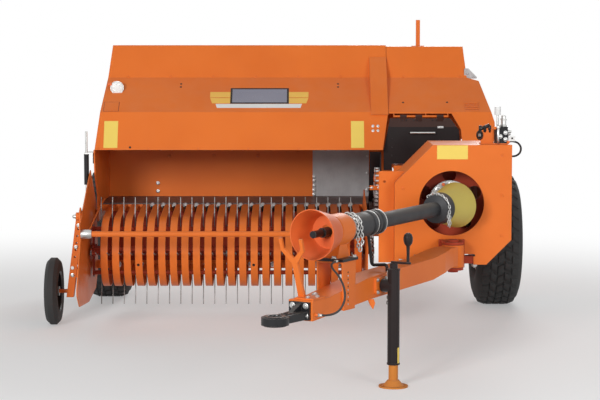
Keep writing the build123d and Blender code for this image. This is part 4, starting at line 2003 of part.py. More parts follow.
# Rest fork for the tractor's shaft: a leaning forked stem on a foot plate
FORK_S = BEAM_END_S - 60
FORK_LEAN = 20
FORK_SIDE = -24
with BuildPart() as rest_fork:
    with BuildSketch(beam_top_plane(BEAM_END_Z1 + CLEAR)):
        with BuildLine():
            Polyline(
                (FORK_S - 60, -DRAWBAR_W / 2 + 6),
                (FORK_S + 50, -DRAWBAR_W / 2 + 26),
                (FORK_S + 50, DRAWBAR_W / 2 - 2),
                (FORK_S - 60, DRAWBAR_W / 2 - 2),
                close=True,
            )
        make_face()
    extrude(amount=8)
    lean = radians(FORK_LEAN)
    stem_dir = BEAM_DIR * sin(lean) + Vector(0, 0, cos(lean))
    fork_plane = Plane(
        origin=beam_point(FORK_S, FORK_SIDE, BEAM_END_Z1 + 7), x_dir=SIDE_DIR, z_dir=SIDE_DIR.cross(stem_dir)
    )
    with BuildSketch(fork_plane):
        with BuildLine():
            Polyline(
                (-17, 0),
                (-15, 180),
                (-62, 244),
                (-62, 304),
                (-46, 304),
                (-46, 252),
                (0, 206),
                (46, 252),
                (46, 304),
                (62, 304),
                (62, 244),
                (15, 180),
                (17, 0),
                close=True,
            )
        make_face()
    extrude(amount=14)
rest_fork.part.label = "rest_fork"
export_step(rest_fork.part, "parts/rest_fork.step")

# Drive shaft along the drawbar and its guards, revolved about one axis: (s, radius)
shaft_axis_dir = (beam_point(PTO_MOUTH_S, 0, DRIVE_Z - PTO_FALL) - beam_point(0, 0, DRIVE_Z)).normalized()
shaft_origin = beam_point(0, 0, DRIVE_Z)
shaft_plane = Plane(origin=shaft_origin, x_dir=shaft_axis_dir, z_dir=SIDE_DIR)
shaft_axis = Axis(shaft_origin, shaft_axis_dir)
SHAFT_R = 24
GUARD_BORE_R = 32
GUARD_R = 39
SLEEVE_S0 = JACK_S - 91
SLEEVE_S1 = PTO_MOUTH_S - 298
CONE_REAR_S = PTO_MOUTH_S - 148
SLEEVE_R = 62
CONE_WALL = 4
sleeve_rings = []
for ring_index in range(3):
    ring_s = SLEEVE_S0 + 8 + ring_index * 40
    sleeve_rings += [(ring_s, SLEEVE_R), (ring_s + 18, SLEEVE_R), (ring_s + 24, SLEEVE_R - 8)]
    sleeve_rings += [(ring_s + 34, SLEEVE_R - 8)]
SHAFT_TABLE = (
    # name, closed profile as (s, radius)
    (
        "drive_shaft",
        (
            (JOINT_BALL_R + 4, 0),
            (JOINT_BALL_R + 4, 34),
            (110, 34),
            (126, SHAFT_R),
            (PTO_MOUTH_S - 92, SHAFT_R),
            (PTO_MOUTH_S - 92, PTO_PIN_R),
            (PTO_MOUTH_S - 10, PTO_PIN_R),
            (PTO_MOUTH_S - 10, 0),
        ),
    ),
    (
        "shaft_guard",
        (
            (150, GUARD_BORE_R),
            (150, 84),
            (215, 74),
            (222, GUARD_R),
            (SLEEVE_S0, GUARD_R),
            (SLEEVE_S0 + 8, SLEEVE_R - 8),
            *sleeve_rings,
            (SLEEVE_S0 + 134, SLEEVE_R - 1),
            (SLEEVE_S1, SLEEVE_R - 1),
            (SLEEVE_S1, GUARD_BORE_R),
        ),
    ),
    (
        "rear_guard_cone",
        (
            (-26, 122),
            (-26, 122 - CONE_WALL),
            (150 - CLEAR, 76 - CONE_WALL),
            (150 - CLEAR, 80),
            (126, 86),
        ),
    ),
    (
        "front_guard_cone",
        (
            (CONE_REAR_S, GUARD_BORE_R),
            (CONE_REAR_S, 84),
            (CONE_REAR_S + 18, 90),
            (PTO_MOUTH_S - 14, 119),
            (PTO_MOUTH_S, 121),
            (PTO_MOUTH_S, 121 - CONE_WALL),
            (CONE_REAR_S + 24, 90 - CONE_WALL),
            (CONE_REAR_S + 8, 80),
            (CONE_REAR_S + 8, GUARD_BORE_R),
        ),
    ),
)
for shaft_name, profile in SHAFT_TABLE:
    with BuildPart() as shaft_piece:
        with BuildSketch(shaft_plane):
            with BuildLine():
                Polyline(*profile, close=True)
            make_face()
        revolve(axis=shaft_axis)
    shaft_piece.part.label = shaft_name
    export_step(shaft_piece.part, f"parts/{shaft_name}.step")

# Bearing of the drive shaft: an orange collar on a black base, carried by a post astride the beam
POST_S0 = PTO_MOUTH_S - 290
POST_S1 = PTO_MOUTH_S - 164
POST_TOP_Z = 652
POST_LOW_Z = 418
POST_T = 8
BASE_T = 14
with BuildPart() as bearing:
    with BuildSketch(shaft_plane):
        with BuildLine():
            Polyline(
                (SLEEVE_S1 + CLEAR, SHAFT_R + CLEAR),
                (SLEEVE_S1 + CLEAR, 70),
                (POST_S0 + 20, 78),
                (CONE_REAR_S - 20, 78),
                (CONE_REAR_S - CLEAR, 70),
                (CONE_REAR_S - CLEAR, SHAFT_R + CLEAR),
                close=True,
            )
        make_face()
    revolve(axis=shaft_axis)
    with BuildSketch(beam_side_plane(40)):
        with BuildLine():
            Polyline(
                (POST_S0 + 10, POST_TOP_Z + BASE_T),
                (POST_S1 - 10, POST_TOP_Z + BASE_T),
                (POST_S1 - 30, DRIVE_Z - PTO_FALL - 60),
                (POST_S0 + 30, DRIVE_Z - PTO_FALL - 60),
                close=True,
            )
        make_face()
    extrude(amount=80)
    with BuildSketch(beam_top_plane(POST_TOP_Z + CLEAR)):
        with Locations(((POST_S0 + POST_S1) / 2, 0)):
            Rectangle(POST_S1 - POST_S0 + 20, DRAWBAR_W + 30)
    extrude(amount=BASE_T)
    # nipple of the hose on the front edge of the base
    base_front_s = POST_S1 + 10
    nipple_point = beam_point(base_front_s - 2, 57, POST_TOP_Z + CLEAR + BASE_T / 2)
    with BuildSketch(Plane(origin=nipple_point, x_dir=SIDE_DIR, z_dir=BEAM_DIR)):
        Circle(BASE_T / 2 - 1)
    extrude(amount=NIPPLE_L + 2)
bearing.part.label = "shaft_bearing"
export_step(bearing.part, "parts/shaft_bearing.step")

with BuildPart() as post:
    post_half = DRAWBAR_W / 2 + CLEAR
    for start in (post_half + POST_T, -post_half):
        with BuildSketch(beam_side_plane(start)):
            with BuildLine():
                Polyline(
                    (POST_S0 + 10, POST_LOW_Z),
                    (POST_S1 - 10, POST_LOW_Z),
                    (POST_S1, POST_TOP_Z),
                    (POST_S0, POST_TOP_Z),
                    close=True,
                )
            make_face()
        extrude(amount=POST_T)
    with BuildSketch(beam_top_plane(POST_TOP_Z - POST_T)):
        with Locations(((POST_S0 + POST_S1) / 2, 0)):
            Rectangle(POST_S1 - POST_S0, 2 * (post_half + POST_T))
    extrude(amount=POST_T)
post.part.label = "bearing_post"
export_step(post.part, "parts/bearing_post.step")

# Bent rod on the beam that keeps the shaft guard from turning
HOOK_S = JACK_S - 106
HOOK_R = 8
HOOK_BEND_R = 16
with BuildPart() as shaft_hook:
    hook_beam_z = 572 - 24 * (HOOK_S - 357) / (BEAM_KNEE_S - 357)
    hook_root = beam_point(HOOK_S, 50, hook_beam_z + CLEAR)
    with BuildLine():
        FilletPolyline(
            hook_root,
            beam_point(HOOK_S, 50, hook_beam_z + 34),
            beam_point(HOOK_S, -37, hook_beam_z + 26),
            beam_point(HOOK_S, -60, 757),
            radius=HOOK_BEND_R,
        )
    with BuildSketch(Plane(origin=hook_root, x_dir=SIDE_DIR, z_dir=(0, 0, 1))):
        Circle(HOOK_R)
    sweep()
shaft_hook.part.label = "shaft_hook"
export_step(shaft_hook.part, "parts/shaft_hook.step")

# Hydraulic hose that hangs beside the drawbar, from the beam's end to the base of the bearing
HOSE_D = 10
HOSE_POINTS = (
    (148.3, -2487.1, 430),
    (222.3, -2532.2, 430),
    (274.7, -2517.3, 505),
    (258.1, -2458.0, 590),
    (188.9, -2373.7, 659.3),
    (235.5, -2297.1, 659.3),
)
hose_route = [Vector(point) for point in HOSE_POINTS]
hose_radii = []
for before, corner, after in zip(hose_route, hose_route[1:], hose_route[2:]):
    half_turn = radians((corner - before).get_angle(after - corner)) / 2
    shorter_run = min((corner - before).length, (after - corner).length)
    hose_radii.append(0.45 * shorter_run / tan(half_turn))
print("hose radii", [round(radius, 1) for radius in hose_radii])
with BuildPart() as hose:
    with BuildLine():
        FilletPolyline(*hose_route, radius=hose_radii)
    with BuildSketch(Plane(origin=hose_route[0], z_dir=hose_route[1] - hose_route[0])):
        Circle(HOSE_D / 2)
    sweep()
hose.part.label = "drawbar_hose"
export_step(hose.part, "parts/drawbar_hose.step")

# Jack: a tube that swings on the stub of the beam, and a leg with a round foot inside it
JACK_FIT = 0.1
CRANK_ARM_L = 79
JACK_X, JACK_Y, _ = beam_point(JACK_S, JACK_SIDE, 0)
with BuildPart() as jack_tube:
    with BuildSketch(Plane.XY.offset(JACK_TUBE_Z0)):
        with Locations((JACK_X, JACK_Y)):
            Circle(JACK_TUBE_R)
    extrude(amount=JACK_TUBE_Z1 - JACK_TUBE_Z0)
    # boss round the stub of the beam
    boss_side = DRAWBAR_W / 2 + 14 + 5
    with BuildSketch(beam_side_plane(JACK_SIDE)):
        with Locations((JACK_S, JACK_PIVOT_Z)):
            Circle(32)
    extrude(amount=JACK_SIDE - boss_side)
    with BuildSketch(beam_side_plane(DRAWBAR_W / 2 + 44 + 1)):
        with Locations((JACK_S, JACK_PIVOT_Z)):
            Circle(20 + SPINDLE_FIT)
    extrude(amount=60, mode=Mode.SUBTRACT)
    with BuildSketch(Plane.XY.offset(JACK_TUBE_Z0 - 1)):
        with Locations((JACK_X, JACK_Y)):
            Circle(JACK_LEG_R + JACK_FIT)
    extrude(amount=JACK_TUBE_Z1 - JACK_TUBE_Z0 - 10, mode=Mode.SUBTRACT)
    # gear head with the crank arm and its upright handle
    with BuildSketch(Plane.XY.offset(JACK_TUBE_Z1)):
        with Locations((JACK_X, JACK_Y)):
            Circle(20)
    extrude(amount=26)
    head_plane = Plane(origin=(JACK_X, JACK_Y, JACK_TUBE_Z1 + 26), x_dir=SIDE_DIR, z_dir=(0, 0, 1))
    with BuildSketch(head_plane):
        with Locations((CRANK_ARM_L / 2, 0)):
            SlotOverall(CRANK_ARM_L + 30, 26)
    extrude(amount=10)
    # upright handle: a slim rod that ends in a round knob, as (radius, height above the arm)
    handle_point = Vector(JACK_X, JACK_Y, JACK_TUBE_Z1 + 30) + SIDE_DIR * CRANK_ARM_L
    with BuildSketch(Plane(origin=handle_point, x_dir=SIDE_DIR, z_dir=SIDE_DIR.cross(Vector(0, 0, 1)))):
        with BuildLine():
            Polyline(
                (0, 0),
                (8, 0),
                (7, 40),
                (9, 84),
                (19, 96),
                (23, 112),
                (23, 128),
                (18, 142),
                (8, 150),
                (0, 151),
                close=True,
            )
        make_face()
    revolve(axis=Axis(handle_point, (0, 0, 1)))
jack_tube.part.label = "jack_tube"
export_step(jack_tube.part, "parts/jack_tube.step")

with BuildPart() as jack_leg:
    with BuildSketch(Plane.XY.offset(JACK_FOOT_T)):
        with Locations((JACK_X, JACK_Y)):
            Circle(JACK_LEG_R)
    extrude(amount=400 - JACK_FOOT_T)
    with BuildSketch(Plane.XY):
        with Locations((JACK_X, JACK_Y)):
            Circle(JACK_FOOT_R)
    extrude(amount=JACK_FOOT_T)
    with BuildSketch(Plane(origin=(JACK_X, JACK_Y, 0), x_dir=(1, 0, 0), z_dir=(0, -1, 0))):
        with BuildLine():
            Polyline(
                (0, JACK_FOOT_T - 1),
                (JACK_FOOT_R - 20, JACK_FOOT_T - 1),
                (JACK_LEG_R + 6, JACK_FOOT_T + 26),
                (0, JACK_FOOT_T + 26),
                close=True,
            )
        make_face()
    revolve(axis=Axis((JACK_X, JACK_Y, 0), (0, 0, 1)))
jack_leg.part.label = "jack_leg"
export_step(jack_leg.part, "parts/jack_leg.step")
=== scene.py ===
"""Looks of the square baler: paint, rubber, fasteners, tread, chains, hoses, floor, light and camera."""

import logging
import math
from dataclasses import dataclass
from enum import Enum
from typing import Callable, Iterable, Sequence

import bmesh
import bpy
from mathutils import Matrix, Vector


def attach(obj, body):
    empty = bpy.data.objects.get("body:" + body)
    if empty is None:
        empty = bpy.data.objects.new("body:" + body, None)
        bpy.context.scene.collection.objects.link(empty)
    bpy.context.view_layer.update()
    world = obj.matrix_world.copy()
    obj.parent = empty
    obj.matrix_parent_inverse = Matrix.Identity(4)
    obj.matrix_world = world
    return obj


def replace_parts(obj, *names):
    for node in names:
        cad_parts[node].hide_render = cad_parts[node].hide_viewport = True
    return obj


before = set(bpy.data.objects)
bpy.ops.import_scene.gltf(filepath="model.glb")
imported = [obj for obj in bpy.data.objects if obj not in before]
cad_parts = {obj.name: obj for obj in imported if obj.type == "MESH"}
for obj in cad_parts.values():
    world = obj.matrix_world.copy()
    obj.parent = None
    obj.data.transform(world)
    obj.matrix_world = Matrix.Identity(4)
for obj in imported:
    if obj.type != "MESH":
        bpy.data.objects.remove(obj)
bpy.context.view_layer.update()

LOG = logging.getLogger("square_baler")
Colour = tuple[float, float, float]
Point = tuple[float, float, float]
Flat = tuple[float, float]


# Directions and places

RIGHT = Vector((1, 0, 0))
FORWARD = Vector((0, -1, 0))
UP = Vector((0, 0, 1))

# Axes that several sub-assemblies share, in millimetres: x, z, or (y, z) in the side view
DRIVE_X = 885.0
DRIVE_Z = 818.0
REEL_AXIS = (-18.0, 446.0)
GAUGE_WHEEL_AXIS = (-16.0, 201.0)
GUARD_TUBE_AXIS = (-505.0, 597.0)


def mm(x: float, y: float, z: float) -> Vector:
    """Point given in millimetres."""
    return Vector((x, y, z)) / 1000


def scaled(points: Iterable[Flat]) -> list[Flat]:
    """Outline or profile given in millimetres, in metres."""
    return [(first / 1000, second / 1000) for first, second in points]


def rectangle(half_width: float, half_height: float) -> tuple[Flat, ...]:
    """Outline of a rectangle about its middle.

    Args:
        half_width: half of its width.
        half_height: half of its height.

    Returns:
        Its corners, counter-clockwise.
    """
    return (
        (-half_width, -half_height),
        (half_width, -half_height),
        (half_width, half_height),
        (-half_width, half_height),
    )


def along(first: Vector, second: Vector) -> tuple[Vector, Vector, Vector]:
    """Directions of a line.

    Args:
        first: where it starts.
        second: where it ends.

    Returns:
        The unit vector along the line, and two unit vectors across it.
    """
    axis = (second - first).normalized()
    helper = UP if abs(axis.z) < 0.9 else -FORWARD
    across = axis.cross(helper).normalized()
    return axis, across, axis.cross(across)


def circle(centre: Vector, first: Vector, second: Vector, steps: int) -> list[Vector]:
    """Points on a circle or an oval.

    Args:
        centre: its middle.
        first: from the middle to the first point.
        second: from the middle to the point a quarter round.
        steps: number of points.

    Returns:
        The points.
    """
    angles = [2 * math.pi * step / steps for step in range(steps)]
    return [centre + first * math.cos(angle) + second * math.sin(angle) for angle in angles]


def smooth_line(points: Sequence[Vector], parts: int = 5) -> list[Vector]:
    """Draw a smooth line through points.

    Args:
        points: the given points.
        parts: parts that each span between two of them is cut into.

    Returns:
        The points of the line.
    """
    line: list[Vector] = []
    for step in range(len(points) - 1):
        before = points[max(step - 1, 0)]
        start, end = points[step], points[step + 1]
        after = points[min(step + 2, len(points) - 1)]
        square = 2 * before - 5 * start + 4 * end - after
        cube = 3 * start - before - 3 * end + after
        for part in range(parts):
            t = part / parts
            line.append((2 * start + (end - before) * t + square * t**2 + cube * t**3) / 2)
    return line + [points[-1]]


def seat_on(node: str, start: Vector, aim: Vector) -> tuple[Vector, Vector]:
    """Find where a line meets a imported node.

    Args:
        node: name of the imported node.
        start: where the line starts, in metres.
        aim: its unit vector.

    Returns:
        The point on the node, and the unit vector out of its face.
    """
    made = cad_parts[node]
    back = made.matrix_world.inverted()
    hit, place, normal, _ = made.ray_cast(back @ start, (back.to_3x3() @ aim).normalized())
    if not hit:
        LOG.warning("%s: the line from %s meets nothing", node, tuple(start))
        return start, -aim
    out = (made.matrix_world.to_3x3() @ normal).normalized()
    return made.matrix_world @ place, out if out.dot(aim) < 0 else -out


# Shader groups that several finishes share


class GroupMaker:
    """Builds one shader node group that puts out Colour, Roughness and Height."""

    KINDS = {1: "Float", 3: "Vector", 4: "Color"}

    def __init__(self, name: str, inputs: dict[str, float | tuple[float, ...]]) -> None:
        """Start a group.

        Args:
            name: name of the group.
            inputs: default of each input: a number, a vector of 3 or a colour of 4.
        """
        self.tree = bpy.data.node_groups.new(name, "ShaderNodeTree")
        for label, default in inputs.items():
            kind = self.KINDS[len(default) if isinstance(default, tuple) else 1]
            self.socket(label, kind, "INPUT").default_value = default
        for label, kind in (("Colour", "Color"), ("Roughness", "Float"), ("Height", "Float")):
            self.socket(label, kind, "OUTPUT")
        self.entry = self.tree.nodes.new("NodeGroupInput").outputs
        self.exit = self.tree.nodes.new("NodeGroupOutput").inputs

    def socket(self, name: str, kind: str, way: str) -> bpy.types.NodeTreeInterfaceSocket:
        """Add an INPUT or OUTPUT of a kind (Float, Color or Vector) and return it."""
        return self.tree.interface.new_socket(name, in_out=way, socket_type=f"NodeSocket{kind}")

    def node(self, kind: str, **settings: object) -> bpy.types.Node:
        """Add a node.

        Args:
            kind: Blender's node type without its ShaderNode prefix.
            settings: attributes set on the node.

        Returns:
            The new node.
        """
        made = self.tree.nodes.new(f"ShaderNode{kind}")
        for key, value in settings.items():
            setattr(made, key, value)
        return made

    def feed(self, target: bpy.types.NodeSocket, value: bpy.types.NodeSocket | float) -> None:
        """Give an input its value.

        Args:
            target: the input.
            value: socket to link to it, or number to set on it.
        """
        if isinstance(value, bpy.types.NodeSocket):
            self.tree.links.new(value, target)
        else:
            target.default_value = value

    def maths(
        self,
        operation: str,
        first: bpy.types.NodeSocket,
        second: bpy.types.NodeSocket | float,
    ) -> bpy.types.NodeSocket:
        """Add a clamped maths node.

        Args:
            operation: ADD, MULTIPLY and so on.
            first: its first value.
            second: its second value.

        Returns:
            The result's socket.
        """
        made = self.node("Math", operation=operation, use_clamp=True)
        self.feed(made.inputs[0], first)
        self.feed(made.inputs[1], second)
        return made.outputs[0]

    def spread(self, value: bpy.types.NodeSocket, low: float, high: float) -> bpy.types.NodeSocket:
        """Stretch a value to the range 0 to 1.

        Args:
            value: the value.
            low: what becomes 0.
            high: what becomes 1.

        Returns:
            The result's socket.
        """
        made = self.node("MapRange")
        self.feed(made.inputs["From Min"], low)
        self.feed(made.inputs["From Max"], high)
        self.feed(made.inputs["Value"], value)
        return made.outputs["Result"]

    def noise(
        self,
        scale: bpy.types.NodeSocket | float,
        detail: float,
        vector: bpy.types.NodeSocket,
    ) -> bpy.types.NodeSocket:
        """Add a noise texture.

        Args:
            scale: its scale.
            detail: its detail.
            vector: place that it is taken at.

        Returns:
            The socket of its value.
        """
        made = self.node("TexNoise")
        self.feed(made.inputs["Scale"], scale)
        self.feed(made.inputs["Detail"], detail)
        self.feed(made.inputs["Vector"], vector)
        return made.outputs["Fac"]

    def mix(
        self,
        factor: bpy.types.NodeSocket,
        first: bpy.types.NodeSocket,
        second: bpy.types.NodeSocket,
    ) -> bpy.types.NodeSocket:
        """Mix two colours.

        Args:
            factor: share of the second one.
            first: the first colour.
            second: the second colour.

        Returns:
            The result's socket.
        """
        made = self.node("Mix", data_type="RGBA")
        self.feed(made.inputs["Factor"], factor)
        for target, colour in zip([slot for slot in made.inputs if slot.type == "RGBA"], (first, second)):
            self.feed(target, colour)
        return next(slot for slot in made.outputs if slot.type == "RGBA")


def make_weathering_group() -> bpy.types.NodeTree:
    """Build the group that tints a coat, wears its edges and lays dust on what faces up.

    Returns:
        The group, with outputs Colour, Roughness and Height.
    """
    group = GroupMaker(
        "weathering",
        {
            "Coat": (0.8, 0.8, 0.8, 1.0),
            "Deep Coat": (0.6, 0.6, 0.6, 1.0),
            "Bare Edge": (0.5, 0.5, 0.5, 1.0),
            "Dust Colour": (0.5, 0.42, 0.33, 1.0),
            "Dust": 0.2,
            "Wear": 0.2,
            "Gloss Break": 0.1,
            "Roughness": 0.35,
            "Grain": 180.0,
        },
    )
    entry = group.entry
    place = group.node("TexCoord")
    where = place.outputs["Object"]
    cloud = group.noise(2.3, 3.0, where)
    smear = group.noise(11.0, 5.0, where)
    speck = group.noise(95.0, 4.0, where)
    tinted = group.mix(group.spread(cloud, 0.36, 0.68), entry["Coat"], entry["Deep Coat"])

    facing = group.node("SeparateXYZ")
    group.feed(facing.inputs[0], place.outputs["Normal"])
    upward = group.spread(facing.outputs["Z"], 0.35, 1.0)
    settled = group.maths("MULTIPLY", upward, group.spread(smear, 0.3, 0.75))
    dusty = group.maths("MULTIPLY", settled, entry["Dust"])

    rounded = group.node("Bevel", samples=4)
    group.feed(rounded.inputs["Radius"], 0.004)
    agree = group.node("VectorMath", operation="DOT_PRODUCT")
    group.feed(agree.inputs[0], rounded.outputs["Normal"])
    group.feed(agree.inputs[1], group.node("NewGeometry").outputs["Normal"])
    edge = group.spread(agree.outputs["Value"], 0.995, 0.86)
    chipped = group.maths("MULTIPLY", edge, group.spread(speck, 0.44, 0.6))
    worn = group.maths("MULTIPLY", chipped, entry["Wear"])
    bared = group.mix(worn, tinted, entry["Bare Edge"])
    group.feed(group.exit["Colour"], group.mix(dusty, bared, entry["Dust Colour"]))

    patchy = group.maths("MULTIPLY", group.spread(smear, 0.25, 0.8), entry["Gloss Break"])
    rougher = group.maths("ADD", patchy, dusty)
    group.feed(group.exit["Roughness"], group.maths("ADD", rougher, entry["Roughness"]))
    group.feed(group.exit["Height"], group.noise(entry["Grain"], 2.0, where))
    return group.tree


def make_bare_metal_group() -> bpy.types.NodeTree:
    """Build the group for bare metal: drawn lines, stains and small dents.

    Returns:
        The group, with outputs Colour, Roughness and Height.
    """
    group = GroupMaker(
        "bare_metal",
        {
            "Metal": (0.6, 0.6, 0.6, 1.0),
            "Stain": (0.3, 0.28, 0.26, 1.0),
            "Stain Amount": 0.4,
            "Roughness": 0.3,
            "Stretch": (1.0, 1.0, 1.0),
        },
    )
    entry = group.entry
    where = group.node("TexCoord").outputs["Object"]
    drawn = group.node("VectorMath", operation="MULTIPLY")
    group.feed(drawn.inputs[0], where)
    group.feed(drawn.inputs[1], entry["Stretch"])
    lines = group.noise(160.0, 3.0, drawn.outputs[0])
    blot = group.noise(17.0, 6.0, where)
    stained = group.maths("MULTIPLY", group.spread(blot, 0.42, 0.72), entry["Stain Amount"])
    group.feed(group.exit["Colour"], group.mix(stained, entry["Metal"], entry["Stain"]))
    dull = group.maths("MULTIPLY", group.spread(lines, 0.3, 0.8), 0.22)
    dulled = group.maths("ADD", dull, group.maths("MULTIPLY", stained, 0.4))
    group.feed(group.exit["Roughness"], group.maths("ADD", dulled, entry["Roughness"]))
    group.feed(group.exit["Height"], lines)
    return group.tree


class MaterialMaker:
    """Builds one material round a Principled shader, with groups feeding it."""

    def __init__(self, name: str) -> None:
        """Start a material with an empty Principled shader.

        Args:
            name: name of the material.
        """
        self.material = bpy.data.materials.new(name)
        self.material.use_nodes = True
        self.tree = self.material.node_tree
        self.shader = self.tree.nodes["Principled BSDF"]

    def constants(self, **values: object) -> None:
        """Set the shader's own sockets: underscores stand for spaces."""
        for key, value in values.items():
            self.shader.inputs[key.replace("_", " ")].default_value = value

    def wire(
        self,
        tree: bpy.types.NodeTree,
        values: dict[str, object],
        bump: float,
        distance: float,
        soft_edge: float,
    ) -> None:
        """Place a shared group and feed its colour, roughness and bump to the shader.

        Args:
            tree: the group.
            values: its inputs by name; a colour of 3 is made opaque.
            bump: strength of the surface grain.
            distance: its depth in metres.
            soft_edge: radius that rounds the edges' shading, 0 for none.
        """
        placed = self.tree.nodes.new("ShaderNodeGroup")
        placed.node_tree = tree
        for key, value in values.items():
            socket = placed.inputs[key]
            socket.default_value = (*value, 1.0) if socket.type == "RGBA" else value
        links = self.tree.links
        links.new(placed.outputs["Colour"], self.shader.inputs["Base Color"])
        links.new(placed.outputs["Roughness"], self.shader.inputs["Roughness"])
        grain = self.tree.nodes.new("ShaderNodeBump")
        grain.inputs["Strength"].default_value = bump
        grain.inputs["Distance"].default_value = distance
        links.new(placed.outputs["Height"], grain.inputs["Height"])
        if soft_edge > 0:
            rounded = self.tree.nodes.new("ShaderNodeBevel")
            rounded.samples = 4
            rounded.inputs["Radius"].default_value = soft_edge
            links.new(rounded.outputs["Normal"], grain.inputs["Normal"])
        links.new(grain.outputs["Normal"], self.shader.inputs["Normal"])


@dataclass(frozen=True)
class Enamel:
    """Sprayed machine paint on sheet or castings."""

    name: str
    slot: str
    coat: Colour
    deep: Colour
    roughness: float = 0.34
    clear_coat: float = 0.04
    dust: float = 0.10
    wear: float = 0.30
    bare: Colour = (0.30, 0.27, 0.25)
    peel_depth: float = 0.0004

    def build(self, groups: dict[str, bpy.types.NodeTree]) -> None:
        """Build the paint.

        Args:
            groups: the shared shader groups by name.
        """
        maker = MaterialMaker(self.name)
        maker.constants(Coat_Weight=self.clear_coat, Coat_Roughness=0.14, Specular_IOR_Level=0.15)
        values = {
            "Coat": self.coat,
            "Deep Coat": self.deep,
            "Bare Edge": self.bare,
            "Dust": self.dust,
            "Wear": self.wear,
            "Roughness": self.roughness,
        }
        maker.wire(groups["weathering"], values, 0.10, self.peel_depth, 0.003)


@dataclass(frozen=True)
class BareMetal:
    """Zinc-plated, galvanised or machined steel."""

    name: str
    slot: str
    metal: Colour
    stain: Colour
    roughness: float = 0.28
    stain_amount: float = 0.35
    stretch: Point = (1.0, 1.0, 0.12)
    metallic: float = 1.0

    def build(self, groups: dict[str, bpy.types.NodeTree]) -> None:
        """Build the metal.

        Args:
            groups: the shared shader groups by name.
        """
        maker = MaterialMaker(self.name)
        maker.constants(Metallic=self.metallic, Specular_IOR_Level=0.5)
        values = {
            "Metal": self.metal,
            "Stain": self.stain,
            "Stain Amount": self.stain_amount,
            "Roughness": self.roughness,
            "Stretch": self.stretch,
        }
        maker.wire(groups["bare_metal"], values, 0.12, 0.0004, 0.0015)


@dataclass(frozen=True)
class Moulded:
    """Rubber or moulded plastic."""

    name: str
    slot: str
    coat: Colour
    deep: Colour
    roughness: float = 0.55
    dust: float = 0.25
    grain: float = 260.0
    grain_depth: float = 0.0006

    def build(self, groups: dict[str, bpy.types.NodeTree]) -> None:
        """Build the moulding.

        Args:
            groups: the shared shader groups by name.
        """
        maker = MaterialMaker(self.name)
        maker.constants(Specular_IOR_Level=0.4)
        values = {
            "Coat": self.coat,
            "Deep Coat": self.deep,
            "Bare Edge": self.deep,
            "Dust": self.dust,
            "Wear": 0.0,
            "Gloss Break": 0.18,
            "Roughness": self.roughness,
            "Grain": self.grain,
        }
        maker.wire(groups["weathering"], values, 0.25, self.grain_depth, 0.0)


